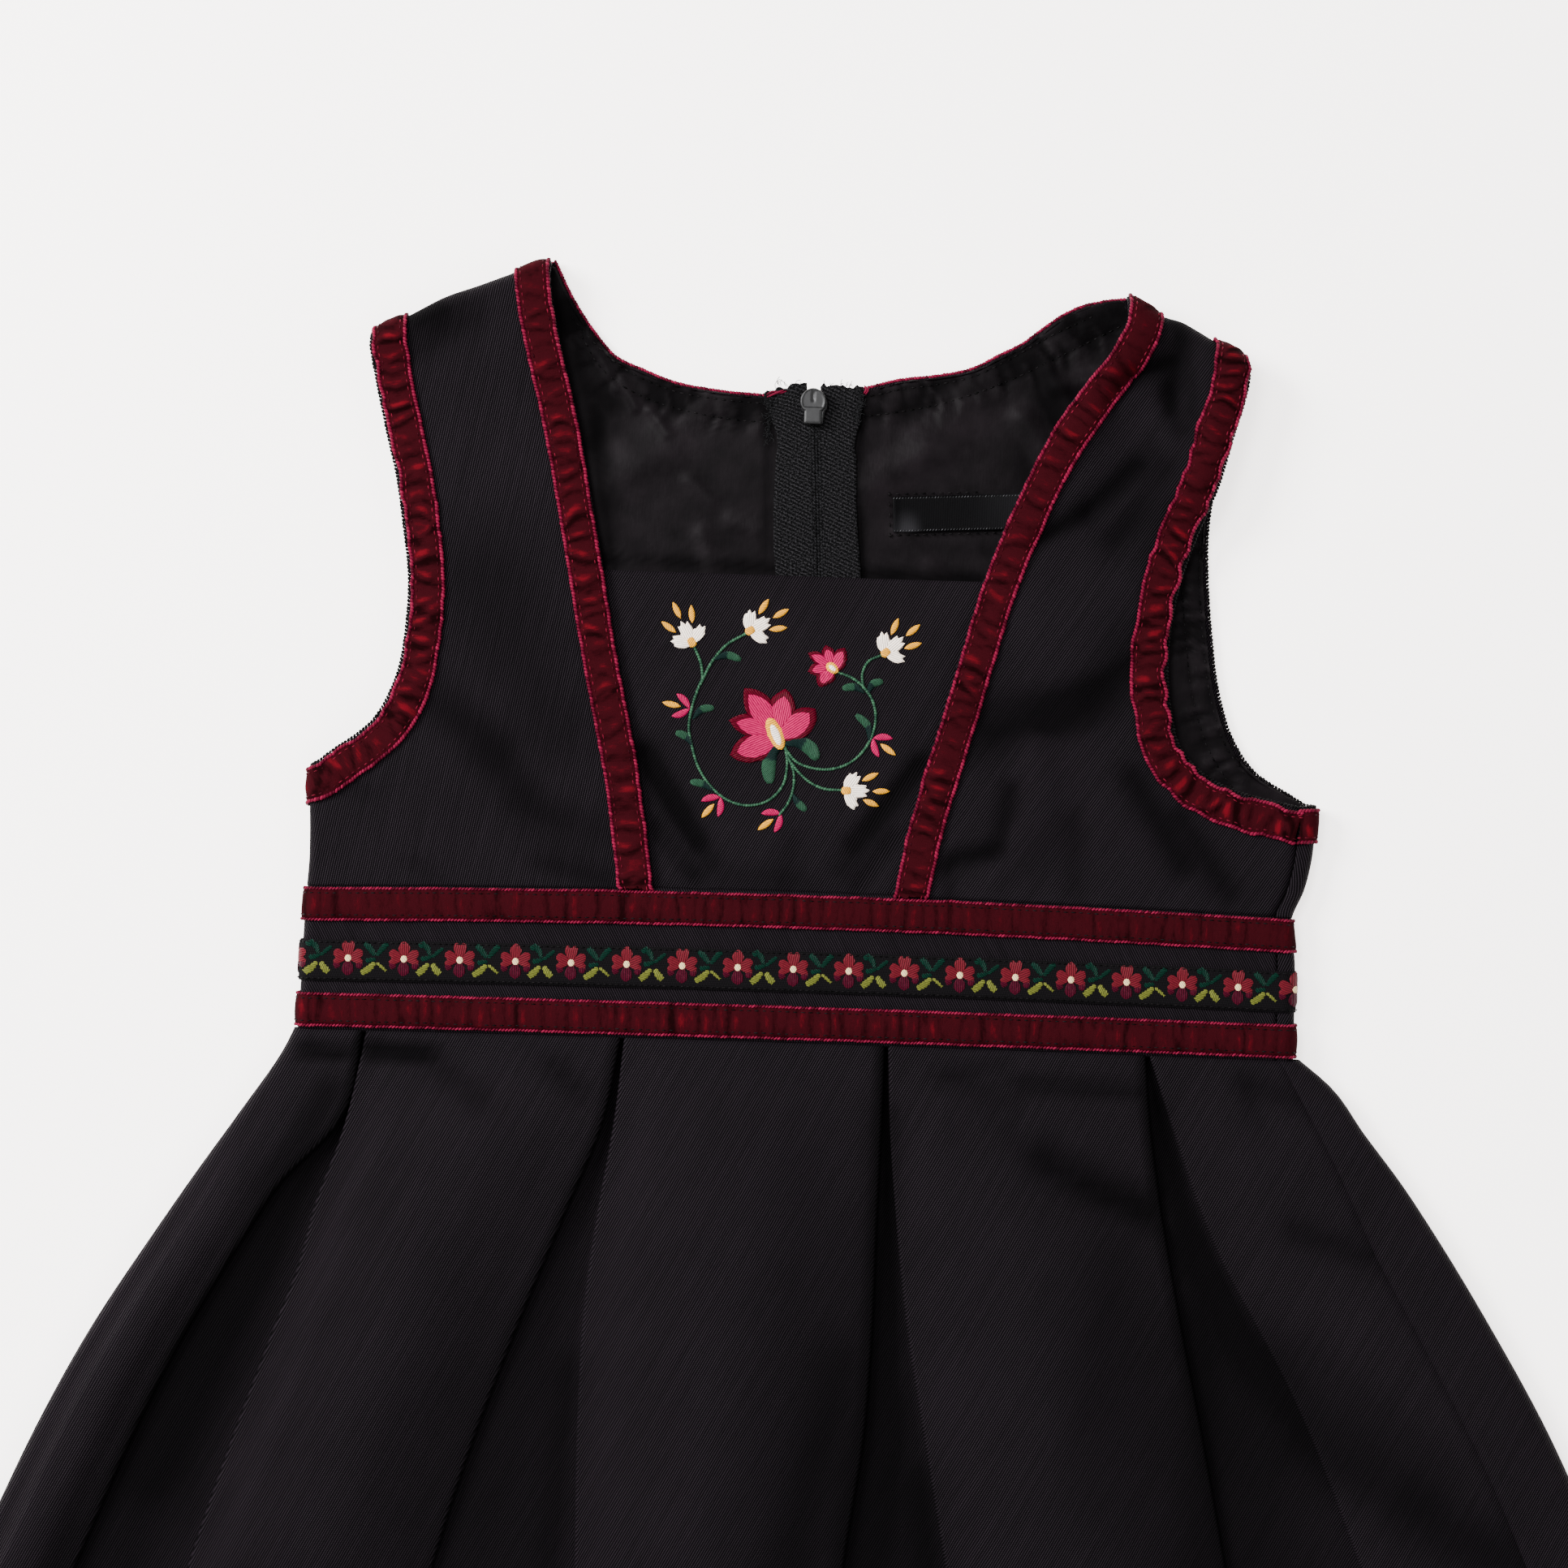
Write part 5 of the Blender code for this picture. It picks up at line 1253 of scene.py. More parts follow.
def on_tape(x, y):
    """A place on the zip's tapes, which lie on the lining, the waistband and the skirt's back."""
    on_lining, on_band = ease((y - 8.0) / 13.0), ease((y + 36.0) / 13.0)
    skirt, band = SKIRT_BACK_Z + LAYER, BACK_Z + LAYER
    inside = back_z(x, np.minimum(y, ZIP_TOP_Y)) + 2 * LAYER
    low = skirt + (band - skirt) * on_band
    return joined(x, y, low + (inside - low) * on_lining)


def zip_tape(side):
    """One of the two tapes, which part above the slider."""
    y = np.linspace(ZIP_END_Y, TAPE_TOP_Y, 260)[:, None]
    near = zip_x(y) + side * (-0.08 + ZIP_SPREAD * ease((y - TAPES_PART_Y) / ZIP_SPREAD_LENGTH))
    far = zip_x(y) + side * (TAPE_WIDTH + zip_gap(y) - ZIP_SLIT + 0.5 * np.sin(y / 8.0 + side)
                             - 1.6 * np.exp(-(((y - 152.0) / 7.0) ** 2)))
    x = near + (far - near) * np.linspace(0, 1, 14)[None]
    rng = np.random.default_rng(40 + side)
    x[:, -1] += rng.uniform(-0.15, 0.15, len(x))
    frayed = np.zeros_like(x)
    frayed[-1] = rng.uniform(-0.9, 0.5, x.shape[1])
    slope = (2.8 if side < 0 else 0.2) * np.linspace(0, 1, 14)[None] ** 1.5 * ease((y - TAPE_TOP_Y + 12) / 12)
    places = on_tape(x, y + frayed - slope)
    cloth(f"zip_tape_{WORD[side]}", places, joined(x - zip_x(y), y), "zip_tape", flip=side < 0)


def zip_coil():
    """The two rows of stitched loops over the zip's coil, below the slider."""
    y = np.arange(ZIP_END_Y + 1, SLIDER_TAIL_Y + 1.0, 0.9)
    for side in (-1, 1):
        for away in (0.42, 1.35):
            sew("coil_loops", on_tape(zip_x(y) + side * away, y) + (0, 0, 0.5 if away < 1 else 0.4))


def tube(path, radius, sides=5):
    """The rings of a thread along a path, for faces_of."""
    along = np.gradient(path, axis=0)
    along /= np.linalg.norm(along, axis=1, keepdims=True) + 1e-9
    side = np.cross(along, (0.0, 0.3, 1.0))
    side /= np.linalg.norm(side, axis=1, keepdims=True) + 1e-9
    up = np.cross(side, along)
    turn = np.linspace(0, 2 * math.pi, sides + 1)
    taper = radius * np.minimum(1, np.minimum(np.arange(len(path)), np.arange(len(path))[::-1]) * 0.5 + 0.3)
    return path[:, None] + taper[:, None, None] * (side[:, None] * np.cos(turn)[None, :, None]
                                                   + up[:, None] * np.sin(turn)[None, :, None])


def threads(name, paths, radius, finish, slot):
    """Loose threads, each along its own curve, as one piece."""
    places, faces, count = [], [], 0
    for path in paths:
        rings = tube(places_along(path, 10), radius)
        places.append(rings.reshape(-1, 3))
        faces.append(faces_of(*rings.shape[:2]) + count)
        count += len(places[-1])
    mesh = made_mesh(name, np.concatenate(places), np.concatenate(faces), None,
                     np.linspace(0.2, 0.9, count))
    wear(link(name, mesh, FINISH[finish]), slot)


FRAYED = (  # x, y, how far across and down the tangle spreads, how many threads
    (-13.9, 160.0, 1.5, 1.7, 30),
    (-13.5, 155.0, 0.8, 2.6, 26),
    (-13.6, 149.4, 0.9, 1.5, 18),
    (11.9, 161.4, 0.9, 1.8, 26),
    (11.8, 156.6, 0.7, 2.6, 26),
)


def frayed_ends():
    """The frayed sides and tops of the tapes, and the crimson threads at their corners."""
    rng = np.random.default_rng(52)
    loose = []
    for x, y, across, down, count in FRAYED:
        for _ in range(count):
            start = np.array([x, y]) + rng.uniform(-1, 1, 2) * (across, down)
            turn, path = rng.uniform(0, 2 * math.pi), []
            for _ in range(4):
                height = float(on_tape(start[0], start[1])[..., 2].item())
                path.append((*start, height + rng.uniform(0.1, 0.9)))
                turn += rng.uniform(-1.4, 1.4)
                start = start + rng.uniform(0.4, 1.0) * np.array([math.cos(turn), math.sin(turn)])
            loose.append(path)
    for side in (-1, 1):
        for _ in range(12):
            x, y = zip_x(160) + side * rng.uniform(3.0, 11.5), TAPE_TOP_Y - rng.uniform(0.2, 1.2)
            lean, reach = rng.uniform(0.6, 2.5), rng.uniform(0.8, 2.2)
            z = float(on_tape(np.array(x), np.array(y))[2])
            middle = x + 0.5 * reach * math.cos(lean + 0.5), y + 0.5 * reach * math.sin(lean + 0.5)
            end = x + reach * math.cos(lean), y + reach * math.sin(lean)
            loose.append([(x, y, z + 0.3), (*middle, z + 0.9), (*end, z + 0.5)])
    z = float(on_tape(np.array(-14.0), np.array(161.0))[2])
    loose.append([(-11.0, 161.5, z), (-12.2, 164.0, z + 0.8), (-11.0, 165.4, z + 1.0),
                  (-9.4, 164.4, z + 0.8), (-7.8, 163.0, z + 0.6)])
    threads("loose_threads", loose, 0.09, "tape_thread", "zip_tape")
    threads("crimson_ends", [
        [(-15.0, 160.6, z), (-12.6, 162.0, z + 0.9), (-10.6, 161.6, z + 0.7), (-8.8, 162.2, z + 0.6)],
        [(-14.6, 160.2, z + 0.2), (-12.4, 161.2, z + 1.2), (-9.6, 162.4, z + 0.8)],
        [(13.4, 164.6, z), (14.0, 163.4, z + 1.1), (13.4, 162.2, z + 0.8)],
        [(13.9, 164.4, z), (14.5, 163.2, z + 0.9), (13.8, 162.0, z + 0.6)],
    ], 0.3, "satin_edge", "velvet")


def label():
    """A blank label on the right half of the lining."""
    u, v = np.meshgrid(np.linspace(0, LABEL_SIZE[0], 90), np.linspace(0, LABEL_SIZE[1], 20))

    def lying(u, v, lift=0.0):
        x = LABEL_CORNER[0] + u * math.cos(LABEL_TILT) - v * math.sin(LABEL_TILT)
        y = LABEL_CORNER[1] + u * math.sin(LABEL_TILT) + v * math.cos(LABEL_TILT)
        rise = 0.35 * np.exp(-(((u - 20) / 14) ** 2)) + 0.3 * np.exp(-(((u - 0.6) / 0.9) ** 2))
        return joined(x, y, back_z(x, y) + 2 * LAYER + rise + lift)

    cloth("label", lying(u, v), joined(u, v), "label_satin", wall=0.5)
    along = np.linspace(0.4, LABEL_SIZE[0] - 0.4, 80)
    for height in (0.45, LABEL_SIZE[1] - 0.45):
        sew("label_stitches", lying(along, height, 0.3))
    for u, v in (([-0.9, -0.9], [-0.8, 11.0]), ([-0.9, 24.0], [11.0, 11.0]), ([-0.9, 44.0], [-0.8, -0.8])):
        sew("lining_stitches", lying(np.linspace(*u, 24), np.linspace(*v, 24), -0.2))


# ---------------------------------------------------------------- rows of stitches on the lining


def along_line(points, x, y):
    """How far along a line, and how far from it, places are."""
    line = evenly(places_along(points, 200), 0.8)
    square = (x[..., None] - line[:, 0]) ** 2 + (y[..., None] - line[:, 1]) ** 2
    nearest = square.argmin(-1)
    return nearest * 0.8, np.sqrt(square.min(-1))


def gathered(points, x, y, seed, reach, height):
    """Small uneven gathers across a row of stitches."""
    along, away = along_line(points, x, y)
    knots = np.random.default_rng(seed).uniform(-1, 1, 80)
    at = along / 1.9 + 0.12 * away
    k = np.clip(at.astype(int), 0, 78)
    wave = knots[k] + (knots[k + 1] - knots[k]) * ease(at - k)
    return height * wave * np.exp(-((away / reach) ** 2)) - 0.3 * np.exp(-((away / 1.0) ** 2))


LINING_ROWS = (
    [
        (-71, 181.5), (-64, 174), (-57.5, 168.6), (-50, 164.6), (-41.5, 161.6), (-29.6, 159.6),
        (-14.4, 158.6),
    ],
    [
        (-68, 176), (-62.5, 167.6), (-56, 162.4), (-49.6, 159.4), (-38, 156), (-24, 153.8),
        (-13.2, 153.1),
    ],
    [
        (13.4, 161.2), (24, 164), (33.1, 165.6), (44.6, 168.4), (55, 173.8), (66.8, 181), (78, 186.6),
    ],
    [
        (127.6, 55.6), (121, 64.4), (116.2, 77.8), (113.1, 96.8), (111.6, 112), (111.2, 125),
    ],
    [
        (124.2, 51.4), (117, 61.4), (111.4, 76), (108.2, 96), (106.6, 112), (106.2, 125),
    ],
    [
        (13.1, 155.7), (25, 157.8), (36.4, 160.5), (47, 164.2), (55.7, 168), (72, 176.5), (86, 184),
    ],
)


def lining_rise(x, y):
    """How far the lining rises over its creases and at its rows of stitches."""
    rise = ridges(LINING_CREASES, x, y)
    for k, row in enumerate(LINING_ROWS):
        rise = rise + gathered(row, x, y, 60 + k, 4.2, 0.45)
    return rise


def lining_rows():
    for row in LINING_ROWS:
        line = evenly(places_along(row, 200), 1.0)
        lift = -LAYER - lining_rise(*line.T) - CLOTH / 2 - 0.05
        sew("lining_stitches", on_back(*line.T, lift))


# ---------------------------------------------------------------- the finishes of this garment


TWILL_PITCH = 0.63


def twill():
    f = Finish("black_twill", Specular_IOR_Level=0.03)
    pair, along, across = f.grain()
    wobble = f.noise(pair, (0.16, 0.6, 1.0)) - 0.5
    line = (across + wobble * 0.22).wave(TWILL_PITCH)
    yarn = (along + across * 0.5).wave(0.62)
    weave = line * 0.75 + line * yarn * 0.25
    streak = f.noise(pair, (0.03, 0.55, 1.0))
    patch = f.noise(pair, (0.03, 0.03, 1.0))
    lit = weave.between(0.2, 0.95)
    tone = lit * (streak * 0.8 + 0.35) + patch * 0.15
    # Painted shade: the shade attribute darkens the colour and dulls the gloss.
    open_light = 1.0 - f.shade() * 0.8
    f.colour(f.mix(tone * open_light, (0.0005, 0.0004, 0.0005), (0.0110, 0.0080, 0.0108)))
    f.rough(0.95 - lit * open_light * 0.52)
    f.bump(weave, 0.22, 0.9)


def lining():
    f = Finish("lining_satin", Specular_IOR_Level=0.025)
    pair = f.grain()[0]
    cross = f.noise(pair, (2.2, 0.25, 1.0))
    slub = f.noise(pair, (0.12, 0.12, 1.0), 3.0)
    crumple = f.noise(pair, (0.45, 0.3, 1.0))
    # Painted light and shade: the shade attribute sets how dark the colour and how dull the gloss are.
    open_light = 1.0 - f.shade() * 0.85
    f.colour(f.mix(slub * open_light, (0.0004, 0.0003, 0.0004), (0.0078, 0.0060, 0.0071)))
    f.rough(0.85 - open_light * 0.42)
    f.bump(cross * 0.15 + slub * 0.7 + crumple * 0.6, 0.3, 0.6)


def velvet():
    f = Finish("velvet", Roughness=0.85, Sheen_Weight=0.012, Sheen_Roughness=0.3,
               Sheen_Tint=(0.9, 0.02, 0.04, 1), Specular_IOR_Level=0.01)
    pair = f.grain()[0]
    brushed = f.noise(pair, (1.5, 0.5, 1.0), 3.0, 0.6)
    pile = f.noise(pair, (5.0, 5.0, 1.0))
    # Painted highlights and shade of the puckers, broken up by streaks of brushed pile, pick the colour.
    lit = f.shade() + (brushed - 0.5) * 0.55
    low = f.mix(lit.between(0.0, 0.45), (0.0042, 0.0005, 0.0008), (0.0172, 0.0014, 0.0027))
    f.colour(f.mix(lit.between(0.5, 1.0), low, (0.0660, 0.0022, 0.0050)))
    f.bump(pile + brushed * 0.6, 0.22, 0.6)


def floral():
    f = Finish("floral_band", Roughness=0.8, Specular_IOR_Level=0.03)
    _, along, across = f.grain()
    rib = across.wave(0.42)
    cord = (along + across * 0.3).wave(0.5)
    f.colour(f.mix(rib * cord, (0.0012, 0.0010, 0.0012), (0.0066, 0.0056, 0.0066)))
    f.bump(rib + cord * 0.5, 0.12, 0.7)


def tape():
    f = Finish("zip_tape", Roughness=0.8, Specular_IOR_Level=0.03)
    pair, along, across = f.grain()
    knots = f.noise(pair, (1.9, 2.3, 1.0), 1.0)
    rows = (across + along * 0.45).wave(1.15)
    lump = (knots * 0.9 + rows * 0.22).between(0.38, 0.75)
    f.colour(f.mix(lump, (0.0004, 0.0004, 0.0005), (0.0132, 0.0126, 0.0138)))
    f.bump(lump, 0.5, 1.0)


def metal():
    f = Finish("slider_metal", Metallic=0.7, Roughness=0.42)
    worn = f.noise(f.place(), (900, 900, 900), 3.0)
    f.colour(f.mix(worn, (0.008, 0.008, 0.0085), (0.022, 0.022, 0.0225)))
    f.rough(worn * 0.3 + 0.3)


def label_satin():
    f = Finish("label_satin", Roughness=0.4, Specular_IOR_Level=0.02)
    _, along, across = f.grain()
    rib = along.wave(0.36)
    # Painted highlights: a glare near the left end, fading across the label, and a sheen towards the far end
    # lighten the colour.
    glare = (1.0 - (along - 4.0).size() * 0.16).between(0.0, 1.0) * (1.0 - across * 0.13)
    far = (along * 0.035 - 0.5).between(0.0, 1.0)
    lit = (glare + far * 0.5).between(0.0, 1.0)
    f.colour(f.mix(lit, (0.0010, 0.0009, 0.0011), (0.0100, 0.0096, 0.0108)))
    f.bump(rib, 0.06, 0.4)


THREADS = {  # dark and light tone, which change from stitch to stitch, and gloss
    "satin_edge": ((0.026, 0.0006, 0.0042), (0.132, 0.0050, 0.0230), 0.03),
    "topstitch": ((0.010, 0.0003, 0.0016), (0.090, 0.0040, 0.0125), 0.03),
    "tape_thread": ((0.0014, 0.0014, 0.0015), (0.0075, 0.0075, 0.0082), 0.04),
    "label_thread": ((0.006, 0.006, 0.0065), (0.040, 0.040, 0.043), 0.1),
    "dark_thread": ((0.0004, 0.0004, 0.0004), (0.0045, 0.0038, 0.0042), 0.03),
    "stem_silk": ((0.0060, 0.0240, 0.0130), (0.0230, 0.0700, 0.0360), 0.1),
}
SATIN_STITCHES = {  # first tone, second tone, share of them that the low places keep
    "white_silk": ((0.98, 0.84, 0.72), (0.98, 0.84, 0.72), 0.5),
    "yellow_silk": ((0.70, 0.31, 0.016), (0.70, 0.31, 0.016), 0.5),
    "pink_silk": ((0.37, 0.004, 0.066), (0.060, 0.0004, 0.0066), 0.4),
    "green_silk": ((0.0046, 0.0130, 0.0120), (0.0170, 0.0520, 0.0290), 0.4),
    "red_weft": ((0.084, 0.0058, 0.0110), (0.146, 0.0125, 0.0215), 0.45),
    "crimson_weft": ((0.038, 0.0014, 0.0080), (0.074, 0.0034, 0.0160), 0.35),
    "cream_weft": ((0.66, 0.50, 0.26), (0.66, 0.50, 0.26), 0.6),
    "fir_weft": ((0.0012, 0.0160, 0.0100), (0.0022, 0.0290, 0.0180), 0.3),
    "lime_weft": ((0.10, 0.11, 0.018), (0.17, 0.18, 0.034), 0.35),
}


def thread(name, dark, light, gloss):
    f = Finish(name, Roughness=0.45, Specular_IOR_Level=gloss)
    f.colour(f.mix(f.shade(), dark, light))


def satin_stitch(name, first, second, low):
    """Satin stitch in two tones, its threads lying across each patch."""
    f = Finish(name, Roughness=0.45, Specular_IOR_Level=0.04)
    pair, along, _ = f.grain()
    jagged = f.noise(pair, (2.2, 0.3, 1.0)) - 0.5
    fleck = f.noise(pair, (2.6, 0.7, 1.0))
    line = (along + (fleck - 0.5) * 0.3).wave(0.6)
    tone = (f.shade() + jagged * 0.7).between(0.4, 0.6)
    lit = (fleck * 0.55 + line * 0.5).between(0.2, 0.75)
    deep = [tuple(c * low for c in tint) for tint in (first, second)]
    f.colour(f.mix(lit, f.mix(tone, *deep), f.mix(tone, first, second)))
    f.bump(line + fleck * 0.7, 0.2, 0.9)


def make_finishes():
    for cloth_finish in (twill, lining, velvet, floral, tape, metal, label_satin):
        cloth_finish()
    for name, looks in THREADS.items():
        thread(name, *looks)
    for name, looks in SATIN_STITCHES.items():
        satin_stitch(name, *looks)


# ---------------------------------------------------------------- stitches along paths


def stitch_tree():
    """A node tree that sets one small stitch after another along a path."""
    tree = bpy.data.node_groups.new("stitches_along_a_path", "GeometryNodeTree")
    for socket, kind, way in (("Path", "Geometry", "INPUT"), ("Step", "Float", "INPUT"),
                              ("Size", "Vector", "INPUT"), ("Turn", "Float", "INPUT"),
                              ("Finish", "Material", "INPUT"), ("Stitches", "Geometry", "OUTPUT")):
        tree.interface.new_socket(socket, in_out=way, socket_type=f"NodeSocket{kind}")
    given = tree.nodes.new("NodeGroupInput").outputs

    def add(kind, settings=None, out=0, **inputs):
        return add_node(tree, kind, settings, **inputs).outputs[out]

    line = add("GeometryNodeMeshToCurve", Mesh=given["Path"])
    even = add("GeometryNodeResampleCurve", {"mode": "LENGTH"}, Curve=line, Length=given["Step"])
    up = add("GeometryNodeInputNamedAttribute", {"data_type": "FLOAT_VECTOR"}, Name="up")
    tangent = add("GeometryNodeInputTangent")
    along = add("FunctionNodeAlignRotationToVector", {"axis": "X"}, Vector=tangent)
    laid = add("FunctionNodeAlignRotationToVector", {"axis": "Z", "pivot_axis": "X"}, Rotation=along,
               Vector=up)
    lean = add("FunctionNodeAxisAngleToRotation", Axis=(0, 0, 1), Angle=given["Turn"])
    final = add("FunctionNodeRotateRotation", {"rotation_space": "LOCAL"}, Rotation=laid, Rotate_By=lean)
    bead = add("GeometryNodeMeshIcoSphere", Radius=0.5, Subdivisions=1)
    vary = add("FunctionNodeRandomValue", {"data_type": "FLOAT_VECTOR"}, Min=(0.85, 0.85, 0.85),
               Max=(1.15, 1.15, 1.15), Seed=3)
    size = add("ShaderNodeVectorMath", {"operation": "MULTIPLY"}, _0=given["Size"], _1=vary)
    beads = add("GeometryNodeInstanceOnPoints", Points=even, Instance=bead, Rotation=final, Scale=size)
    tone = add("FunctionNodeRandomValue", {"data_type": "FLOAT"}, 1, Seed=8)
    toned = add("GeometryNodeStoreNamedAttribute", {"data_type": "FLOAT", "domain": "INSTANCE"},
                Geometry=beads, Name="shade", Value=tone)
    real = add("GeometryNodeRealizeInstances", Geometry=toned)
    smooth = add("GeometryNodeSetShadeSmooth", Geometry=real)
    done = add("GeometryNodeSetMaterial", Geometry=smooth, Material=given["Finish"])
    add_node(tree, "NodeGroupOutput", _0=done)
    return tree


STITCH_TREE = stitch_tree()
STITCHED = {  # finish, slot, step, size, turn
    "satin_edges": ("satin_edge", "velvet", 0.95, (1.6, 1.05, 1.0), 0.7),
    "waist_edges": ("satin_edge", "velvet", 0.95, (1.55, 0.7, 0.8), 0.6),
    "neck_edge": ("satin_edge", "velvet", 0.85, (1.5, 1.2, 1.0), 0.5),
    "ribbon_topstitches": ("topstitch", "velvet", 2.2, (1.5, 0.45, 0.5), 0.0),
    "waist_topstitches": ("dark_thread", "velvet", 2.2, (1.5, 0.4, 0.45), 0.0),
    "overcast_edges": ("dark_thread", "black_twill", 1.05, (1.5, 1.05, 1.0), 0.7),
    "lining_stitches": ("dark_thread", "lining_satin", 2.4, (1.6, 0.5, 0.4), 0.0),
    "coil_loops": ("tape_thread", "zip_tape", 0.9, (0.95, 0.62, 0.5), 0.5),
    "label_stitches": ("label_thread", "label_satin", 0.85, (0.8, 0.26, 0.2), 0.9),
    "floral_stitches": ("dark_thread", "floral_band", 1.7, (1.3, 0.42, 0.35), 0.0),
    "embroidery_stems": ("stem_silk", "black_twill", 0.75, (1.25, 0.9, 0.6), 0.35),
}


def stitches(name, paths, finish, slot, step, size, turn):
    """One piece of many small stitches along paths. Each path is its places and the ways out."""
    edges, start = [], 0
    for places, _ in paths:
        edges += [(start + k, start + k + 1) for k in range(len(places) - 1)]
        start += len(places)
    mesh = bpy.data.meshes.new(name)
    mesh.from_pydata(metres(np.concatenate([places for places, _ in paths])), edges, [])
    ups = np.concatenate([out for _, out in paths])
    mesh.attributes.new("up", "FLOAT_VECTOR", "POINT").data.foreach_set("vector", ups.ravel())
    obj = link(name, mesh, FINISH[finish])
    mod = obj.modifiers.new("stitches", "NODES")
    mod.node_group = STITCH_TREE
    given = {"Step": step * MM, "Size": [s * MM for s in size], "Turn": turn, "Finish": FINISH[finish]}
    for socket in STITCH_TREE.interface.items_tree:
        if socket.name in given:
            mod[socket.identifier] = given[socket.name]
    wear(settled(obj), slot)


# ---------------------------------------------------------------- needlework


class Needlework:
    """Patches of satin stitch in one finish, gathered into one piece."""

    def __init__(self):
        self.places, self.faces, self.grain, self.shade, self.count = [], [], [], [], 0

    def add(self, places, grain, shade):
        rows, columns = places.shape[:2]
        self.places.append(places.reshape(-1, 3))
        self.faces.append(faces_of(rows, columns) + self.count)
        self.grain.append(grain.reshape(-1, 2))
        self.shade.append(np.broadcast_to(shade, (rows, columns)).ravel())
        self.count += rows * columns

    def made(self, name, finish, slot):
        mesh = made_mesh(name, np.concatenate(self.places), np.concatenate(self.faces),
                         np.concatenate(self.grain), np.concatenate(self.shade))
        wear(link(name, mesh, FINISH[finish]), slot)


def patch(work, lay, spine, half_widths, height, base, shade=0.0, slant=0.0, teeth=0.0):
    """A raised patch of satin stitch along a spine. Its half widths are given at even shares of the
    length, and shade by a function of the share along and the share across, from -1 to 1."""
    curve = smoothly(spine)
    coarse = curve(np.linspace(0, 1, 40))
    length = np.linalg.norm(np.diff(coarse, axis=0), axis=1).sum()
    rows = max(7, int(length / 0.42))
    s = np.linspace(0, 1, rows)
    centre = curve(s)
    direction = np.gradient(centre, axis=0)
    direction /= np.linalg.norm(direction, axis=1, keepdims=True)
    normal = joined(-direction[:, 1], direction[:, 0])
    half = half_widths(s) if callable(half_widths) else np.interp(s, *table_of(half_widths))
    half = np.maximum(half, 0.03) + teeth * (np.arange(rows) % 2)
    columns = 9
    t = np.linspace(-1, 1, columns)
    flat = centre[:, None] + normal[:, None] * (half[:, None] * t)[..., None]
    end = np.minimum(1, np.minimum(s, 1 - s) * length / 0.7)[:, None]
    dome = np.sqrt(np.clip(1 - np.abs(t) ** 3, 0, 1))[None] * np.sqrt(end)
    places = lay(flat[..., 0], flat[..., 1], base + height * dome)
    along = s[:, None] * length + slant * half[:, None] * t
    grain = joined(along, half[:, None] * t)
    value = shade(s[:, None], t[None]) if callable(shade) else shade
    work.add(places, grain, np.broadcast_to(value, flat.shape[:2]))


def table_of(half_widths):
    """Many even shares of a patch's length and its half widths there, on a smooth curve."""
    pairs = list(zip(np.linspace(0, 1, len(half_widths)), half_widths))
    return places_along(pairs, 60).T


def oval(half):
    return lambda s: half * np.sqrt(np.clip(1 - (2 * s - 1) ** 2, 0, 1))


def toward(x, y, turn, distance):
    a = math.radians(turn)
    return x + distance * math.cos(a), y + distance * math.sin(a)


def fan(work, lay, heart, outline, height, base, thread_turn=None, rim=0.0, near=0.4, teeth=0.0, full=1.0):
    """A raised patch of satin stitch that spreads from a heart to an outline, given as the reach at
    each turn. Between two rows of the outline the reach follows a line, bowed out where full is under 1."""
    turns, reaches = np.array(outline, float).T
    turn = 2.0 if reaches.max() > 5 else 6.0
    at = np.unique(np.concatenate([np.arange(turns[0], turns[-1], turn), turns]))
    k = np.clip(np.searchsorted(turns, at, "right") - 1, 0, len(turns) - 2)
    share = (at - turns[k]) / (turns[k + 1] - turns[k])
    low, high = np.minimum(reaches[k], reaches[k + 1]), np.maximum(reaches[k], reaches[k + 1])
    rising = np.where(reaches[k + 1] >= reaches[k], share, 1 - share)
    rng = np.random.default_rng(int(abs(heart[0] * 10)) + len(outline))
    every = max(1, round(0.5 / (reaches.max() * math.radians(turn))))
    ragged = np.repeat(rng.uniform(-1, 1, len(at) // every + 1) * teeth, every)[:len(at)]
    reach = low + (high - low) * rising**full + ragged
    rows = max(7, int(reach.max() / 0.5))
    s = np.linspace(0, 1, rows)[None]
    r = near + (reach[:, None] - near) * s
    a = np.radians(at)[:, None]
    x, y = heart[0] + r * np.cos(a), heart[1] + r * np.sin(a)
    side = np.minimum(at - at[0], at[-1] - at)[:, None] * math.pi / 180 * r
    edge = np.minimum(reach[:, None] - r, side + 0.25)
    dome = np.sqrt(np.clip(edge / 0.55, 0, 1)) * (0.85 + 0.15 * np.clip(edge / 2.0, 0, 1))
    lean = math.radians(turns[reaches.argmax()] if thread_turn is None else thread_turn)
    grain = joined((y - heart[1]) * math.cos(lean) - (x - heart[0]) * math.sin(lean),
                   (x - heart[0]) * math.cos(lean) + (y - heart[1]) * math.sin(lean))
    dark = np.clip((r - reach[:, None] + rim) / 0.5 + 0.5, 0, 1) if rim else 0
    work.add(lay(x, y, base + height * dome), grain, dark)


INSERT_FACE = -LAYER + CLOTH / 2


def on_insert(a, b, lift):
    return on_front(a, b, np.asarray(lift) + INSERT_FACE)


# Half widths of each kind of patch, at even shares of its length.
SEED = (0.05, 0.62, 0.86, 0.84, 0.6, 0.05)
PINK_BUD = (0.1, 0.7, 0.95, 0.95, 0.7, 0.1)
SMALL_LEAF = (0.15, 0.6, 0.95, 1.1, 1.0, 0.45)
BIG_LEAF = (0.35, 1.1, 1.55, 1.9, 2.0, 1.7, 0.7)


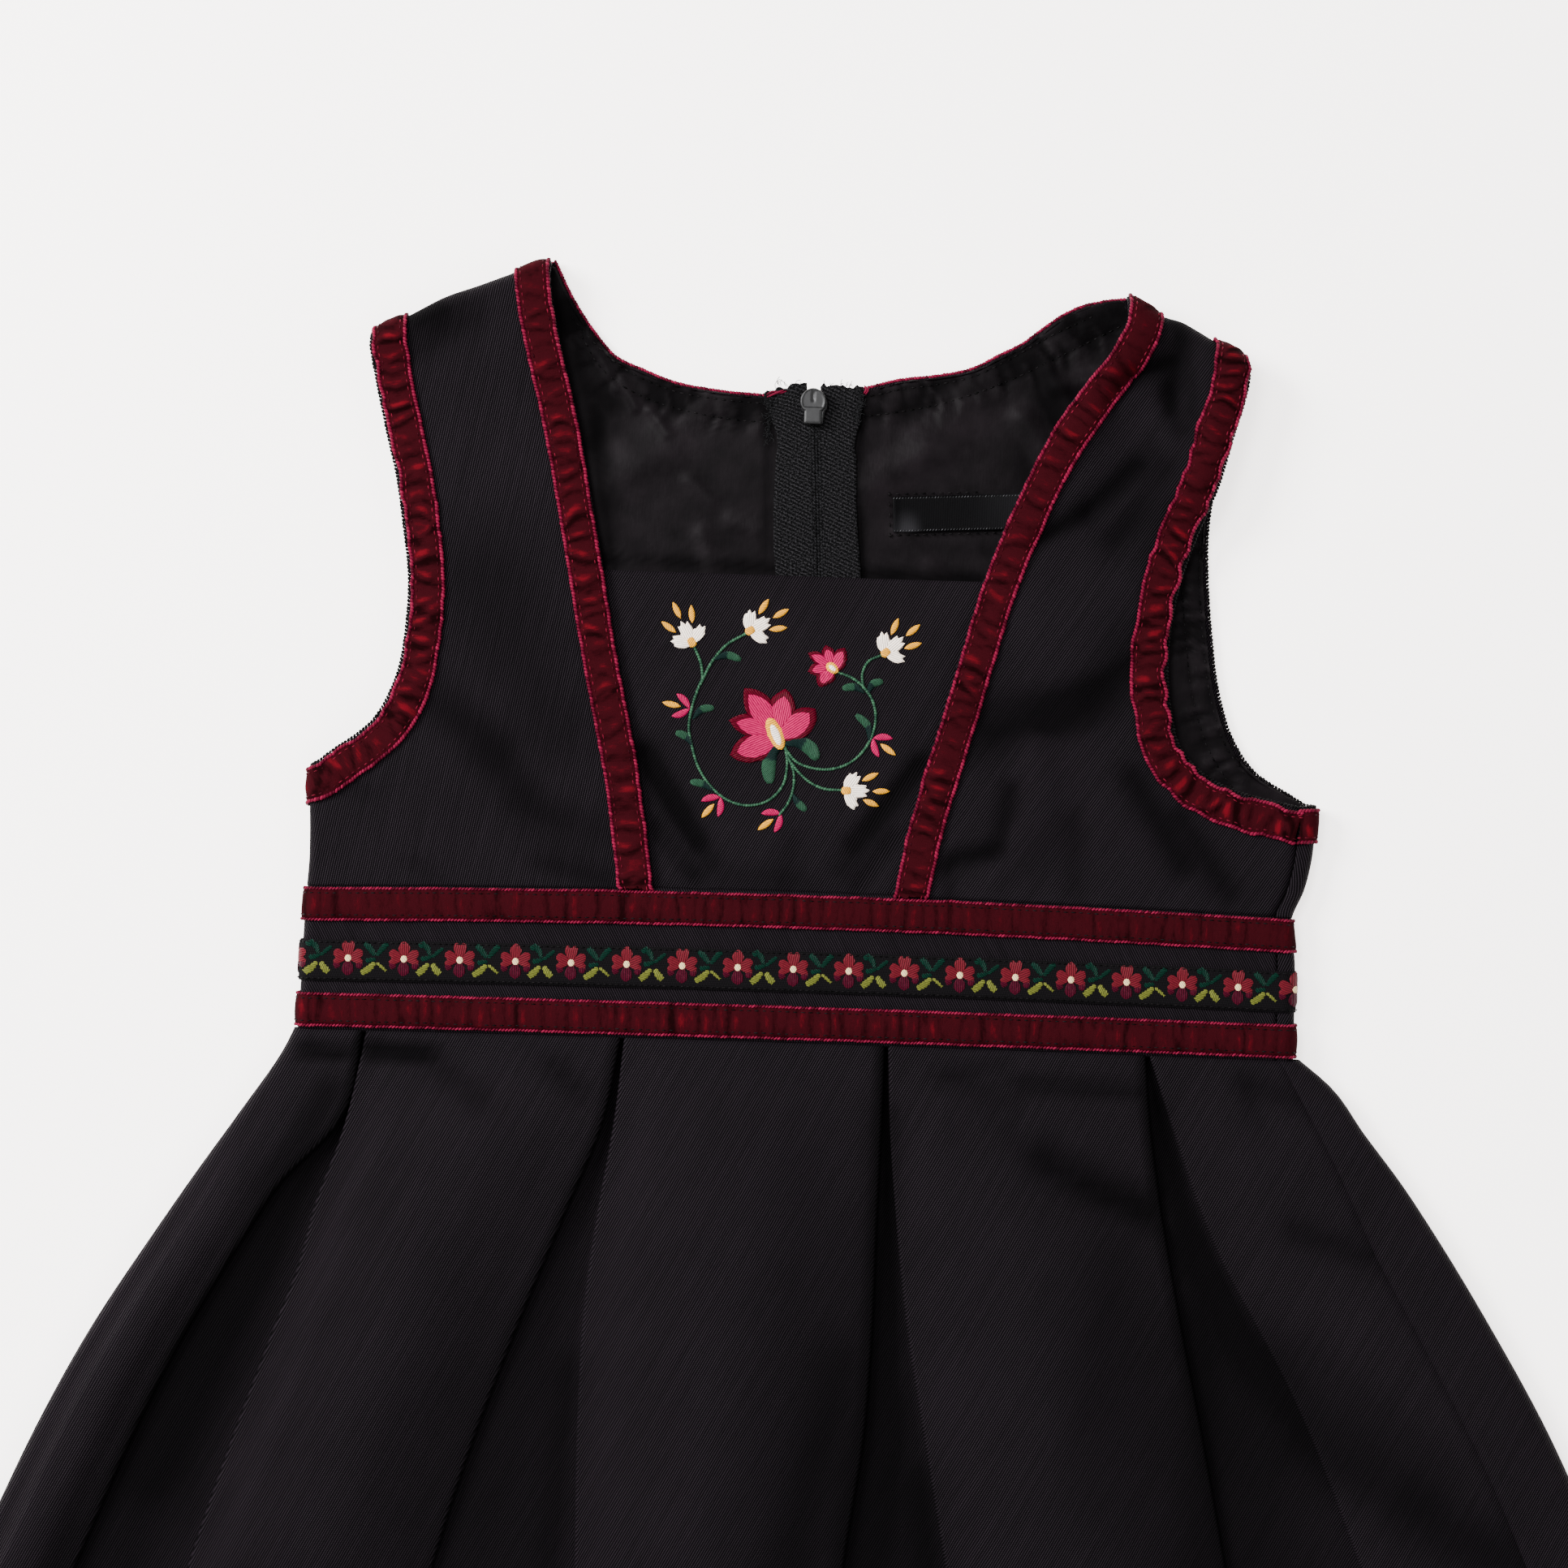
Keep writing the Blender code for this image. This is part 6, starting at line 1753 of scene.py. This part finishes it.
# Flowers, from their turns and reaches: a hollow between two petals, a tip, and so on.
BIG_FLOWER = [
    (-32, 3.4), (-10, 6.6), (18, 11.6), (35, 13.5), (55, 9), (80, 13.5), (101, 10.2), (126, 16.3),
    (146, 10.3), (165, 14.3), (183, 8.8), (205, 14.5), (216, 13.2), (233, 9.9), (250, 6.8), (264, 4.2),
]
SMALL_FLOWER = [
    (-22, 2.2), (22, 4.4), (43, 5.7), (59, 6.8), (81, 4.6), (107, 6.7), (127, 5.1), (150, 8.1),
    (166, 5), (191, 7), (209, 4.9), (238, 6.6), (259, 4.9), (292, 3),
]
HOLLOWS = {"big": (55, 101, 146, 183), "small": (81, 127, 166, 209)}
WHITE_FLOWER = [
    (-88, 1.6), (-76, 4.4), (-66, 5.4), (-60, 6.3), (-53, 5.5), (-45, 6.1), (-38, 4.6), (-27, 4.2),
    (-20, 5.4), (-12, 6.7), (-6, 6), (2, 7.4), (8, 6.2), (15, 6.5), (22, 4.6), (28, 4.2), (36, 5.2),
    (43, 6.2), (50, 5.4), (57, 6.5), (64, 5.2), (72, 5.2), (82, 4), (98, 1.7),
]


def petals(work, lay, heart, outline, hollows, turn=0.0, **looks):
    """A flower, one fan to each petal between two hollows."""
    cuts = (outline[0][0], *hollows, outline[-1][0])
    for first, last in zip(cuts, cuts[1:]):
        rows = [(t + turn, reach) for t, reach in outline if first <= t <= last]
        fan(work, lay, heart, rows, **looks)


def white_flower(x, y, turn):
    petals(WORK["white"], on_insert, (x, y), WHITE_FLOWER, (-27, 28), turn, height=0.5, base=0.05,
           teeth=0.12)
    start, end = toward(x, y, turn + 180, 1.0), toward(x, y, turn, 2.3)
    patch(WORK["yellow"], on_insert, [start, end], oval(1.35), 0.5, 0.3, slant=0.6)
    for lean, near in ((30, 5.9), (0, 8.2), (-24, 6.1)):
        start, end = toward(x, y, turn + lean, near), toward(x, y, turn + lean * 0.96, near + 5.1)
        patch(WORK["yellow"], on_insert, [start, end], SEED, 0.45, 0.05, slant=0.8)


def bud(x, y, turn):
    for lean in (35, -35):
        start, end = toward(x, y, turn + lean, 0.2), toward(x, y, turn + lean, 5.7)
        middle = toward(*toward(x, y, turn + lean, 3.0), turn + (90 if lean > 0 else -90), 0.5)
        patch(WORK["pink"], on_insert, [start, middle, end], PINK_BUD, 0.45, 0.05, slant=0.8)
    start, end = toward(x, y, turn, 2.8), toward(x, y, turn, 8.2)
    patch(WORK["yellow"], on_insert, [start, end], SEED, 0.45, 0.08, slant=0.8)


def two_toned(s, t):
    """The first tone at a leaf's stalk, and the second one at its tip."""
    return np.clip((s - 0.5) * 3.0 + 0.5, 0, 1)


def leaf(points, widths=SMALL_LEAF, height=0.45):
    patch(WORK["green"], on_insert, points, widths, height, 0.08, shade=two_toned, slant=1.0, teeth=0.06)


def embroidery():
    petals(WORK["pink"], on_insert, (-8.4, 63.6), BIG_FLOWER, HOLLOWS["big"], height=0.6, base=0.05,
           rim=2.2, teeth=0.12, full=0.85)
    patch(WORK["yellow"], on_insert, [(-10.9, 68.4), (-8.8, 63.9), (-6.8, 59.4)], oval(2.25), 0.5, 0.5)
    patch(WORK["white"], on_insert, [(-10.0, 66.6), (-8.6, 63.6), (-7.3, 60.6)], oval(1.2), 0.4, 0.85)
    petals(WORK["pink"], on_insert, (6.8, 83.4), SMALL_FLOWER, HOLLOWS["small"], height=0.55, base=0.05,
           rim=1.3, teeth=0.1, full=0.85)
    patch(WORK["yellow"], on_insert, [(5.2, 84.5), (8.6, 82.1)], oval(1.5), 0.4, 0.45)
    patch(WORK["white"], on_insert, [(5.9, 84.0), (8.0, 82.5)], oval(0.7), 0.3, 0.75)
    for x, y, turn in ((-33.3, 88.8, 117), (-17.5, 92.9, 31), (21.6, 87.8, 41), (11.5, 48.3, 0)):
        white_flower(x, y, turn)
    for x, y, turn in ((-33.4, 70.3, 169), (-23.8, 45.3, 229), (-6.3, 41.1, 217), (19.2, 63.6, -35)):
        bud(x, y, turn)
    for points in (
        [(-27.2, 84.5), (-23.4, 86.0), (-19.3, 84.8)], [(-32.6, 67.3), (-30.0, 70.2), (-26.6, 70.8)],
        [(-32.4, 59.6), (-34.2, 62.2), (-37.3, 63.4)], [(-25.8, 46.8), (-28.9, 48.8), (-32.7, 49.4)],
        [(16.4, 76.4), (13.8, 78.0), (10.0, 77.6)], [(17.4, 76.2), (18.6, 79.0), (21.6, 80.0)],
        [(18.2, 62.4), (17.8, 66.8), (14.2, 70.2)], [(-3.2, 46.9), (-1.8, 44.6), (0.8, 42.2)],
    ):
        leaf(points)
    leaf([(-5.8, 61.2), (-8.8, 59.4), (-10.3, 55.4), (-9.9, 49.6)], BIG_LEAF, 0.6)
    leaf([(-6.2, 61.0), (-2.2, 61.7), (1.2, 60.2), (3.5, 56.9)], BIG_LEAF, 0.6)
    stems = (
        [(-5.7, 60.0), (-5.1, 55.1), (-6.3, 48.9), (-10.2, 44.7), (-16.3, 43.1), (-22.1, 44.6), (-26.9, 48.4),
         (-30.7, 54.0), (-32.5, 59.4), (-33.6, 64.6), (-33.0, 70.3), (-31.5, 75.6), (-30.1, 79.4)],
        [(-30.1, 79.0), (-30.7, 83.2), (-32.8, 88.0)],
        [(-30.6, 77.6), (-27.2, 84.6), (-23.5, 89.0), (-18.4, 92.2)],
        [(-5.7, 59.6), (-2.5, 56.1), (2.3, 54.4), (7.5, 54.3), (12.7, 56.2), (16.8, 60.1), (19.1, 64.7),
         (19.8, 70.2), (18.5, 74.9), (15.7, 78.6)],
        [(15.9, 78.4), (12.8, 80.6), (9.0, 82.0)],
        [(16.0, 78.0), (15.6, 82.0), (17.2, 85.5), (20.8, 87.4)],
        [(-5.1, 57.4), (-1.9, 53.3), (2.0, 50.1), (5.8, 48.6), (10.6, 48.4)],
        [(-5.2, 58.0), (-3.2, 53.3), (-3.2, 48.0), (-4.7, 43.7), (-6.7, 40.9)],
    )
    for points in stems:
        line = evenly(places_along(points, 200), 0.5)
        sew_on("embroidery_stems", on_front, line, 0.22 + INSERT_FACE)


WORK = {name: Needlework() for name in ("white", "yellow", "pink", "green")}
BAND_WORK = {name: Needlework() for name in ("red", "crimson", "cream", "fir", "lime")}


# ---------------------------------------------------------------- woven flowers of the band

REPEAT = 15.9
FIRST_FLOWER = -128.6
FLOWER_HEIGHT = 6.7


def on_floral(x, y, lift):
    """A place on the woven band, from how far round the waist it is and its height on the band."""
    foot = floral_foot(np.asarray(x, float))
    return on_front(foot[..., 0], foot[..., 1] + y, np.asarray(lift) + RIBBON_LIFT + 0.12)


def woven(tone, centre, points, widths, teeth=0.3, base=0.04):
    spine = [(centre + x, FLOWER_HEIGHT + y) for x, y in points]
    patch(BAND_WORK[tone], on_floral, spine, widths, 0.16, base, slant=0.7, teeth=teeth)


def mirrored(half, turn):
    """An outline and its mirror image about a turn, on which the half's last row lies."""
    return half + [(2 * turn - t, reach) for t, reach in half[-2::-1]]


# The woven flower, from turns and reaches: its red petals, with and without a notch, and its
# crimson one.
RED_SIDES = [(-36, 1.6), (-30, 3.6), (-20, 4.3), (-10, 4.3), (2, 3.5), (13, 4.3), (24, 4.6), (36, 4.4),
             (46, 3.7), (52, 2.3)]
RED_NOTCHED = mirrored([(54, 2.3), (60, 3.7), (70, 4.8), (80, 5), (90, 4.2)], 90)
RED_POINTED = mirrored([(54, 2.3), (61, 3.5), (72, 4.2), (82, 4.8), (90, 5.1)], 90)
CRIMSON_PETAL = mirrored([(-132, 1.2), (-124, 2.8), (-114, 4), (-104, 4.5), (-90, 5)], -90)


def woven_flower(centre, notched):
    """A woven flower. Every second one has a notch in its top petal."""
    heart, looks = (centre, FLOWER_HEIGHT), {"height": 0.18, "base": 0.03, "near": 0.5, "teeth": 0.12}
    fan(BAND_WORK["red"], on_floral, heart, RED_NOTCHED if notched else RED_POINTED, **looks)
    fan(BAND_WORK["red"], on_floral, heart, RED_SIDES, **looks)
    fan(BAND_WORK["red"], on_floral, heart, [(180 - t, r) for t, r in RED_SIDES[::-1]], **looks)
    fan(BAND_WORK["crimson"], on_floral, heart, CRIMSON_PETAL, **looks)
    for side in (-1, 1):
        woven("crimson", centre, [(side * 2.4, -1.5), (side * 4.0, -2.4)], (0.4, 0.8, 0.8, 0.3))
    woven("cream", centre, [(-0.95, 0.0), (0.95, 0.0)], oval(1.0), teeth=0.0, base=0.2)


def woven_leaves(centre, curled):
    """The leaves between two flowers. Every second pair has a curled leaf."""
    if curled:
        woven("fir", centre, [(-3.7, 3.6), (-2.6, 4.3), (-1.3, 3.2), (-0.6, 1.3)], (0.5, 0.7, 0.7, 0.5, 0.35))
        woven("fir", centre, [(-3.1, 0.1), (-1.5, 0.3), (0.2, 1.0)], (0.45, 0.55, 0.4, 0.2))
        woven("fir", centre, [(0.2, 0.8), (1.8, 2.2), (3.2, 3.3)], (0.2, 0.38, 0.45, 0.15))
        woven("lime", centre, [(-0.9, -1.2), (-2.2, -2.7), (-4.0, -4.3)], (0.3, 0.65, 0.8, 0.6))
        woven("lime", centre, [(0.2, -1.2), (1.0, -2.6), (2.4, -4.1)], (0.45, 0.65, 0.8, 0.6))
    else:
        woven("fir", centre, [(-3.3, 4.4), (-1.7, 2.8), (-0.3, 0.9)], (0.5, 0.7, 0.65, 0.3))
        woven("fir", centre, [(3.2, 4.4), (1.6, 2.7), (0.2, 0.8)], (0.5, 0.65, 0.55, 0.25))
        woven("fir", centre, [(-2.9, -0.7), (-1.2, -0.4), (0.0, -0.2)], (0.4, 0.5, 0.4, 0.25))
        woven("lime", centre, [(-0.3, -1.2), (-1.8, -2.8), (-4.1, -4.3)], (0.3, 0.7, 0.75, 0.5))
        woven("lime", centre, [(0.2, -1.2), (1.6, -2.3), (3.0, -3.5)], (0.12, 0.25, 0.25, 0.12))


def woven_band():
    left, right = waist_ends()
    x = np.arange(left + 0.6, right - 0.6, 0.8)
    for height in (0.8, FLORAL_WIDTH - 0.8):
        sew_on("floral_stitches", on_front, floral_foot(x) + (0, height), RIBBON_LIFT + 0.2)
    first = -int((FIRST_FLOWER - left - 6) / REPEAT)
    last = int((right - 6 - FIRST_FLOWER) / REPEAT)
    for k in range(first, last + 1):
        centre = FIRST_FLOWER + k * REPEAT
        woven_flower(centre, k % 2 == 0)
        if centre + REPEAT / 2 + 4 < right:
            woven_leaves(centre + REPEAT / 2, k % 2 == 1)


# ---------------------------------------------------------------- floor, light and camera

VIEW_MIDDLE = (-8.8, 142.6)
VIEW_WIDTH = 449.2
VIEW_TURN = math.radians(1.9)
CAMERA_HEIGHT = 1000.0
SENSOR_WIDTH = 36.0
FLOOR_HALF = 4.0  # metres
LIGHTS = {  # place and width in metres, power in watts
    "key": ((-1.3, 0.75, 1.0), 0.7, 96.0),
    "upper left": ((-0.52, 0.62, 1.55), 0.6, 38.0),
    "side": ((1.4, 0.2, 1.3), 0.9, 16.0),
    "foot": ((0.1, -1.5, 1.2), 0.9, 14.0),
}


def studio():
    mesh = bpy.data.meshes.new("floor")
    corners = ((-1, -1), (1, -1), (1, 1), (-1, 1))
    mesh.from_pydata([(x * FLOOR_HALF, y * FLOOR_HALF, 0) for x, y in corners], [], [(0, 1, 2, 3)])
    # The floor paper also glows, which keeps it evenly bright and lightens the shadows on it.
    paper = Finish("floor_paper", Roughness=0.9, Base_Color=(0.92, 0.885, 0.865, 1),
                   Emission_Color=(1.0, 0.94, 0.915, 1), Emission_Strength=2.2)
    floor = link("floor", mesh, paper.material)
    for name, (place, width, power) in LIGHTS.items():
        light = bpy.data.lights.new(name, "AREA")
        light.size, light.energy = width, power
        lamp = in_scene(name, light)
        lamp.location = place
        lamp.rotation_euler = (-Vector(place)).to_track_quat("-Z", "Y").to_euler()
    world = bpy.context.scene.world = bpy.data.worlds.new("soft_white")
    world.use_nodes = True
    sky = world.node_tree.nodes["Background"].inputs
    sky["Color"].default_value = (1.0, 0.985, 0.975, 1)
    sky["Strength"].default_value = 0.6


def camera():
    data = bpy.data.cameras.new("camera")
    data.sensor_width = SENSOR_WIDTH
    data.lens = SENSOR_WIDTH * CAMERA_HEIGHT / VIEW_WIDTH
    data.clip_start = 0.05
    eye = in_scene("camera", data)
    eye.location = (VIEW_MIDDLE[0] * MM, VIEW_MIDDLE[1] * MM, (CAMERA_HEIGHT + FRONT_Z) * MM)
    eye.rotation_euler = (0.0, 0.0, VIEW_TURN)
    bpy.context.scene.camera = eye


# ---------------------------------------------------------------- the garment


def bodice():
    left, neck_from = front_left_places()
    front_panel("front_left", left)
    velvet_ribbon("armhole_ribbon_left", left[:, 0], -1, on_front, 11,
                  step=4.1, waves=0.4, shine=0.9)
    velvet_ribbon("neck_ribbon_left", left[neck_from:, -1], 1, on_front, 12,
                  strength=0.7, shine=0.85, bound=above_band)
    bound_edge("overcast_edges", left[:, 0], -1, on_front)
    right, arm_from = front_right_places()
    front_panel("front_right", right, side_rows=arm_from)
    corner = right[arm_from, 0] + (1.1, -0.3)
    velvet_ribbon("armhole_ribbon_right", np.concatenate([[corner], right[arm_from:, 0]]), 1, on_front,
                  13, step=3.9, strength=0.9, waves=0.75, shine=0.8)
    velvet_ribbon("neck_ribbon_right", right[:, -1], -1, on_front, 14,
                  strength=0.65, shine=0.8, bound=above_band)
    bound_edge("overcast_edges", right[arm_from:, 0], 1, on_front)
    front_panel("front_insert", insert_places(), -LAYER)
    for side, made, seed in ((-1, back_left_places(), 21), (1, back_right_places(), 24)):
        word = WORD[side]
        grid, arm_from, neck_from = made
        panel(f"back_{word}", grid[:, ::2], on_back, TWILL_ANGLES["back"])
        armhole, neck = grid[arm_from if side < 0 else 0:, 0], grid[neck_from:, -1]
        velvet_ribbon(f"back_armhole_ribbon_{word}", armhole, side, on_back, seed)
        velvet_ribbon(f"back_neck_ribbon_{word}", neck, -side, on_back, seed + 1)
        bound_edge("overcast_edges", armhole, side, on_back)
        bound_edge("neck_edge", neck, -side, on_back, -0.28, -0.1)
        lining_half(side, grid if side < 0 else grid[len(wraps(RIGHT_SEAM_BODICE)):])


def bound_edge(piece, edge, inward, lay, away=-0.3, lift=0.0):
    """The stitches along an edge of the bodice, which show past its ribbon."""
    sew_on(piece, lay, beside(evenly(edge, 0.8), inward, [away])[:, 0], lift)


def above_band(places):
    """Keeps a ribbon's places over the waistband's edge, which it ends at."""
    places[..., 1] = np.maximum(places[..., 1], foot_of(places[..., 0]) + 0.3)
    return places


def with_middles(grid):
    """A grid with one more row half way between each two."""
    fine = np.repeat(grid, 2, axis=0)[:-1]
    fine[1::2] = (grid[:-1] + grid[1:]) / 2
    return fine


SHOWN_LINING = 60.0  # rows that lie wholly below this height are hidden behind the front
HIDDEN_LINING = (0.15, 0.58)  # shares of a row between which the front covers it
LINING_NECK = 140.0  # rows whose inner end is higher than this lie along the neck


def lining_half(side, grid):
    """Half the lining, set in a little from the back's edges, and finer where it shows."""
    g = grid.copy()
    for edge, inner in ((0, 1), (-1, -2)):
        step = grid[:, inner] - grid[:, edge]
        g[:, edge] = grid[:, edge] + 1.2 * step / np.linalg.norm(step, axis=1, keepdims=True)
    g[-1, :, 1] -= 1.0
    row = np.arange(len(g))
    g = g[(g[..., 1].max(1) > SHOWN_LINING) | (row % 3 == 0) | (row == row[-1])]
    first = 0 if side > 0 else int(np.argmax(g[:, -1, 1] > LINING_NECK))
    g = np.concatenate([g[:first], with_middles(g[first:])])
    column = np.arange(g.shape[1])
    shown = (column < HIDDEN_LINING[0] * len(column)) | (column > HIDDEN_LINING[1] * len(column))
    g = g[:, shown | (column % 2 == 0)]
    rise = lining_rise(g[..., 0], g[..., 1])
    # Painted light and shade: lighter on the puffs of the gathers, darker in their troughs and in the
    # lining's dark places.
    shade = np.clip(0.32 - rise / 0.7, 0, 0.8) + shades(LINING_SHADES, g[..., 0], g[..., 1])
    panel(f"lining_{WORD[side]}", g, on_back, 0, "lining_satin", -LAYER - rise, np.clip(shade, 0, 1))


def slider_face():
    """The slider's plate, with a rounded rim, a hollow at its head and a step down to its tail."""
    y = np.concatenate([np.linspace(SLIDER_TAIL_Y, SLIDER_Y - 2.6, 16),
                        np.linspace(SLIDER_Y - 2.5, SLIDER_TOP_Y, 34)])
    disc = np.sqrt(np.clip(SLIDER_HEAD**2 - (y - SLIDER_Y) ** 2, 0.09, None))
    half = np.where(y < SLIDER_Y - 2.55, SLIDER_TAIL - 0.1 * ease((SLIDER_TAIL_Y + 0.5 - y) / 0.5), disc)
    share = np.linspace(-1, 1, 33)[None]
    x = share * half[:, None]
    rim = np.minimum(half[:, None] - np.abs(x), np.minimum(y - SLIDER_TAIL_Y, SLIDER_TOP_Y - y)[:, None])
    face = SLIDER_FACE + 0.5 + 0.4 * np.sqrt(np.clip(rim / 0.6, 0, 1))
    face -= 0.45 * np.exp(-((x / 0.5) ** 4) - (((y[:, None] - SLIDER_Y - 1.5) / 1.5) ** 4))
    face -= 0.25 * ease((y[:, None] - SLIDER_Y + 2.0) / 0.5) * ease((rim - 0.5) / 0.3)
    places = joined(SLIDER_X + x, y[:, None], face)
    cloth("slider_face", places, places[..., :2], "slider_metal", wall=0.6, offset=-1.0)


make_finishes()
studio()
camera()
bodice()
waistband()
waist_ribbons()
skirt_front()
skirt_back(-1)
skirt_back(1)
zip_tape(-1)
zip_tape(1)
zip_coil()
label()
lining_rows()
slider_face()
frayed_ends()
embroidery()
woven_band()
for tone, work in WORK.items():
    work.made(f"embroidery_{tone}", f"{tone}_silk", "black_twill")
for tone, work in BAND_WORK.items():
    work.made(f"woven_{tone}", f"{tone}_weft", "floral_band")
for piece, looks in STITCHED.items():
    stitches(piece, PATHS[piece], *looks)
for part in ("zip_slider", "zip_pull"):
    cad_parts[part].data.materials.clear()
    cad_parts[part].data.materials.append(FINISH["slider_metal"])
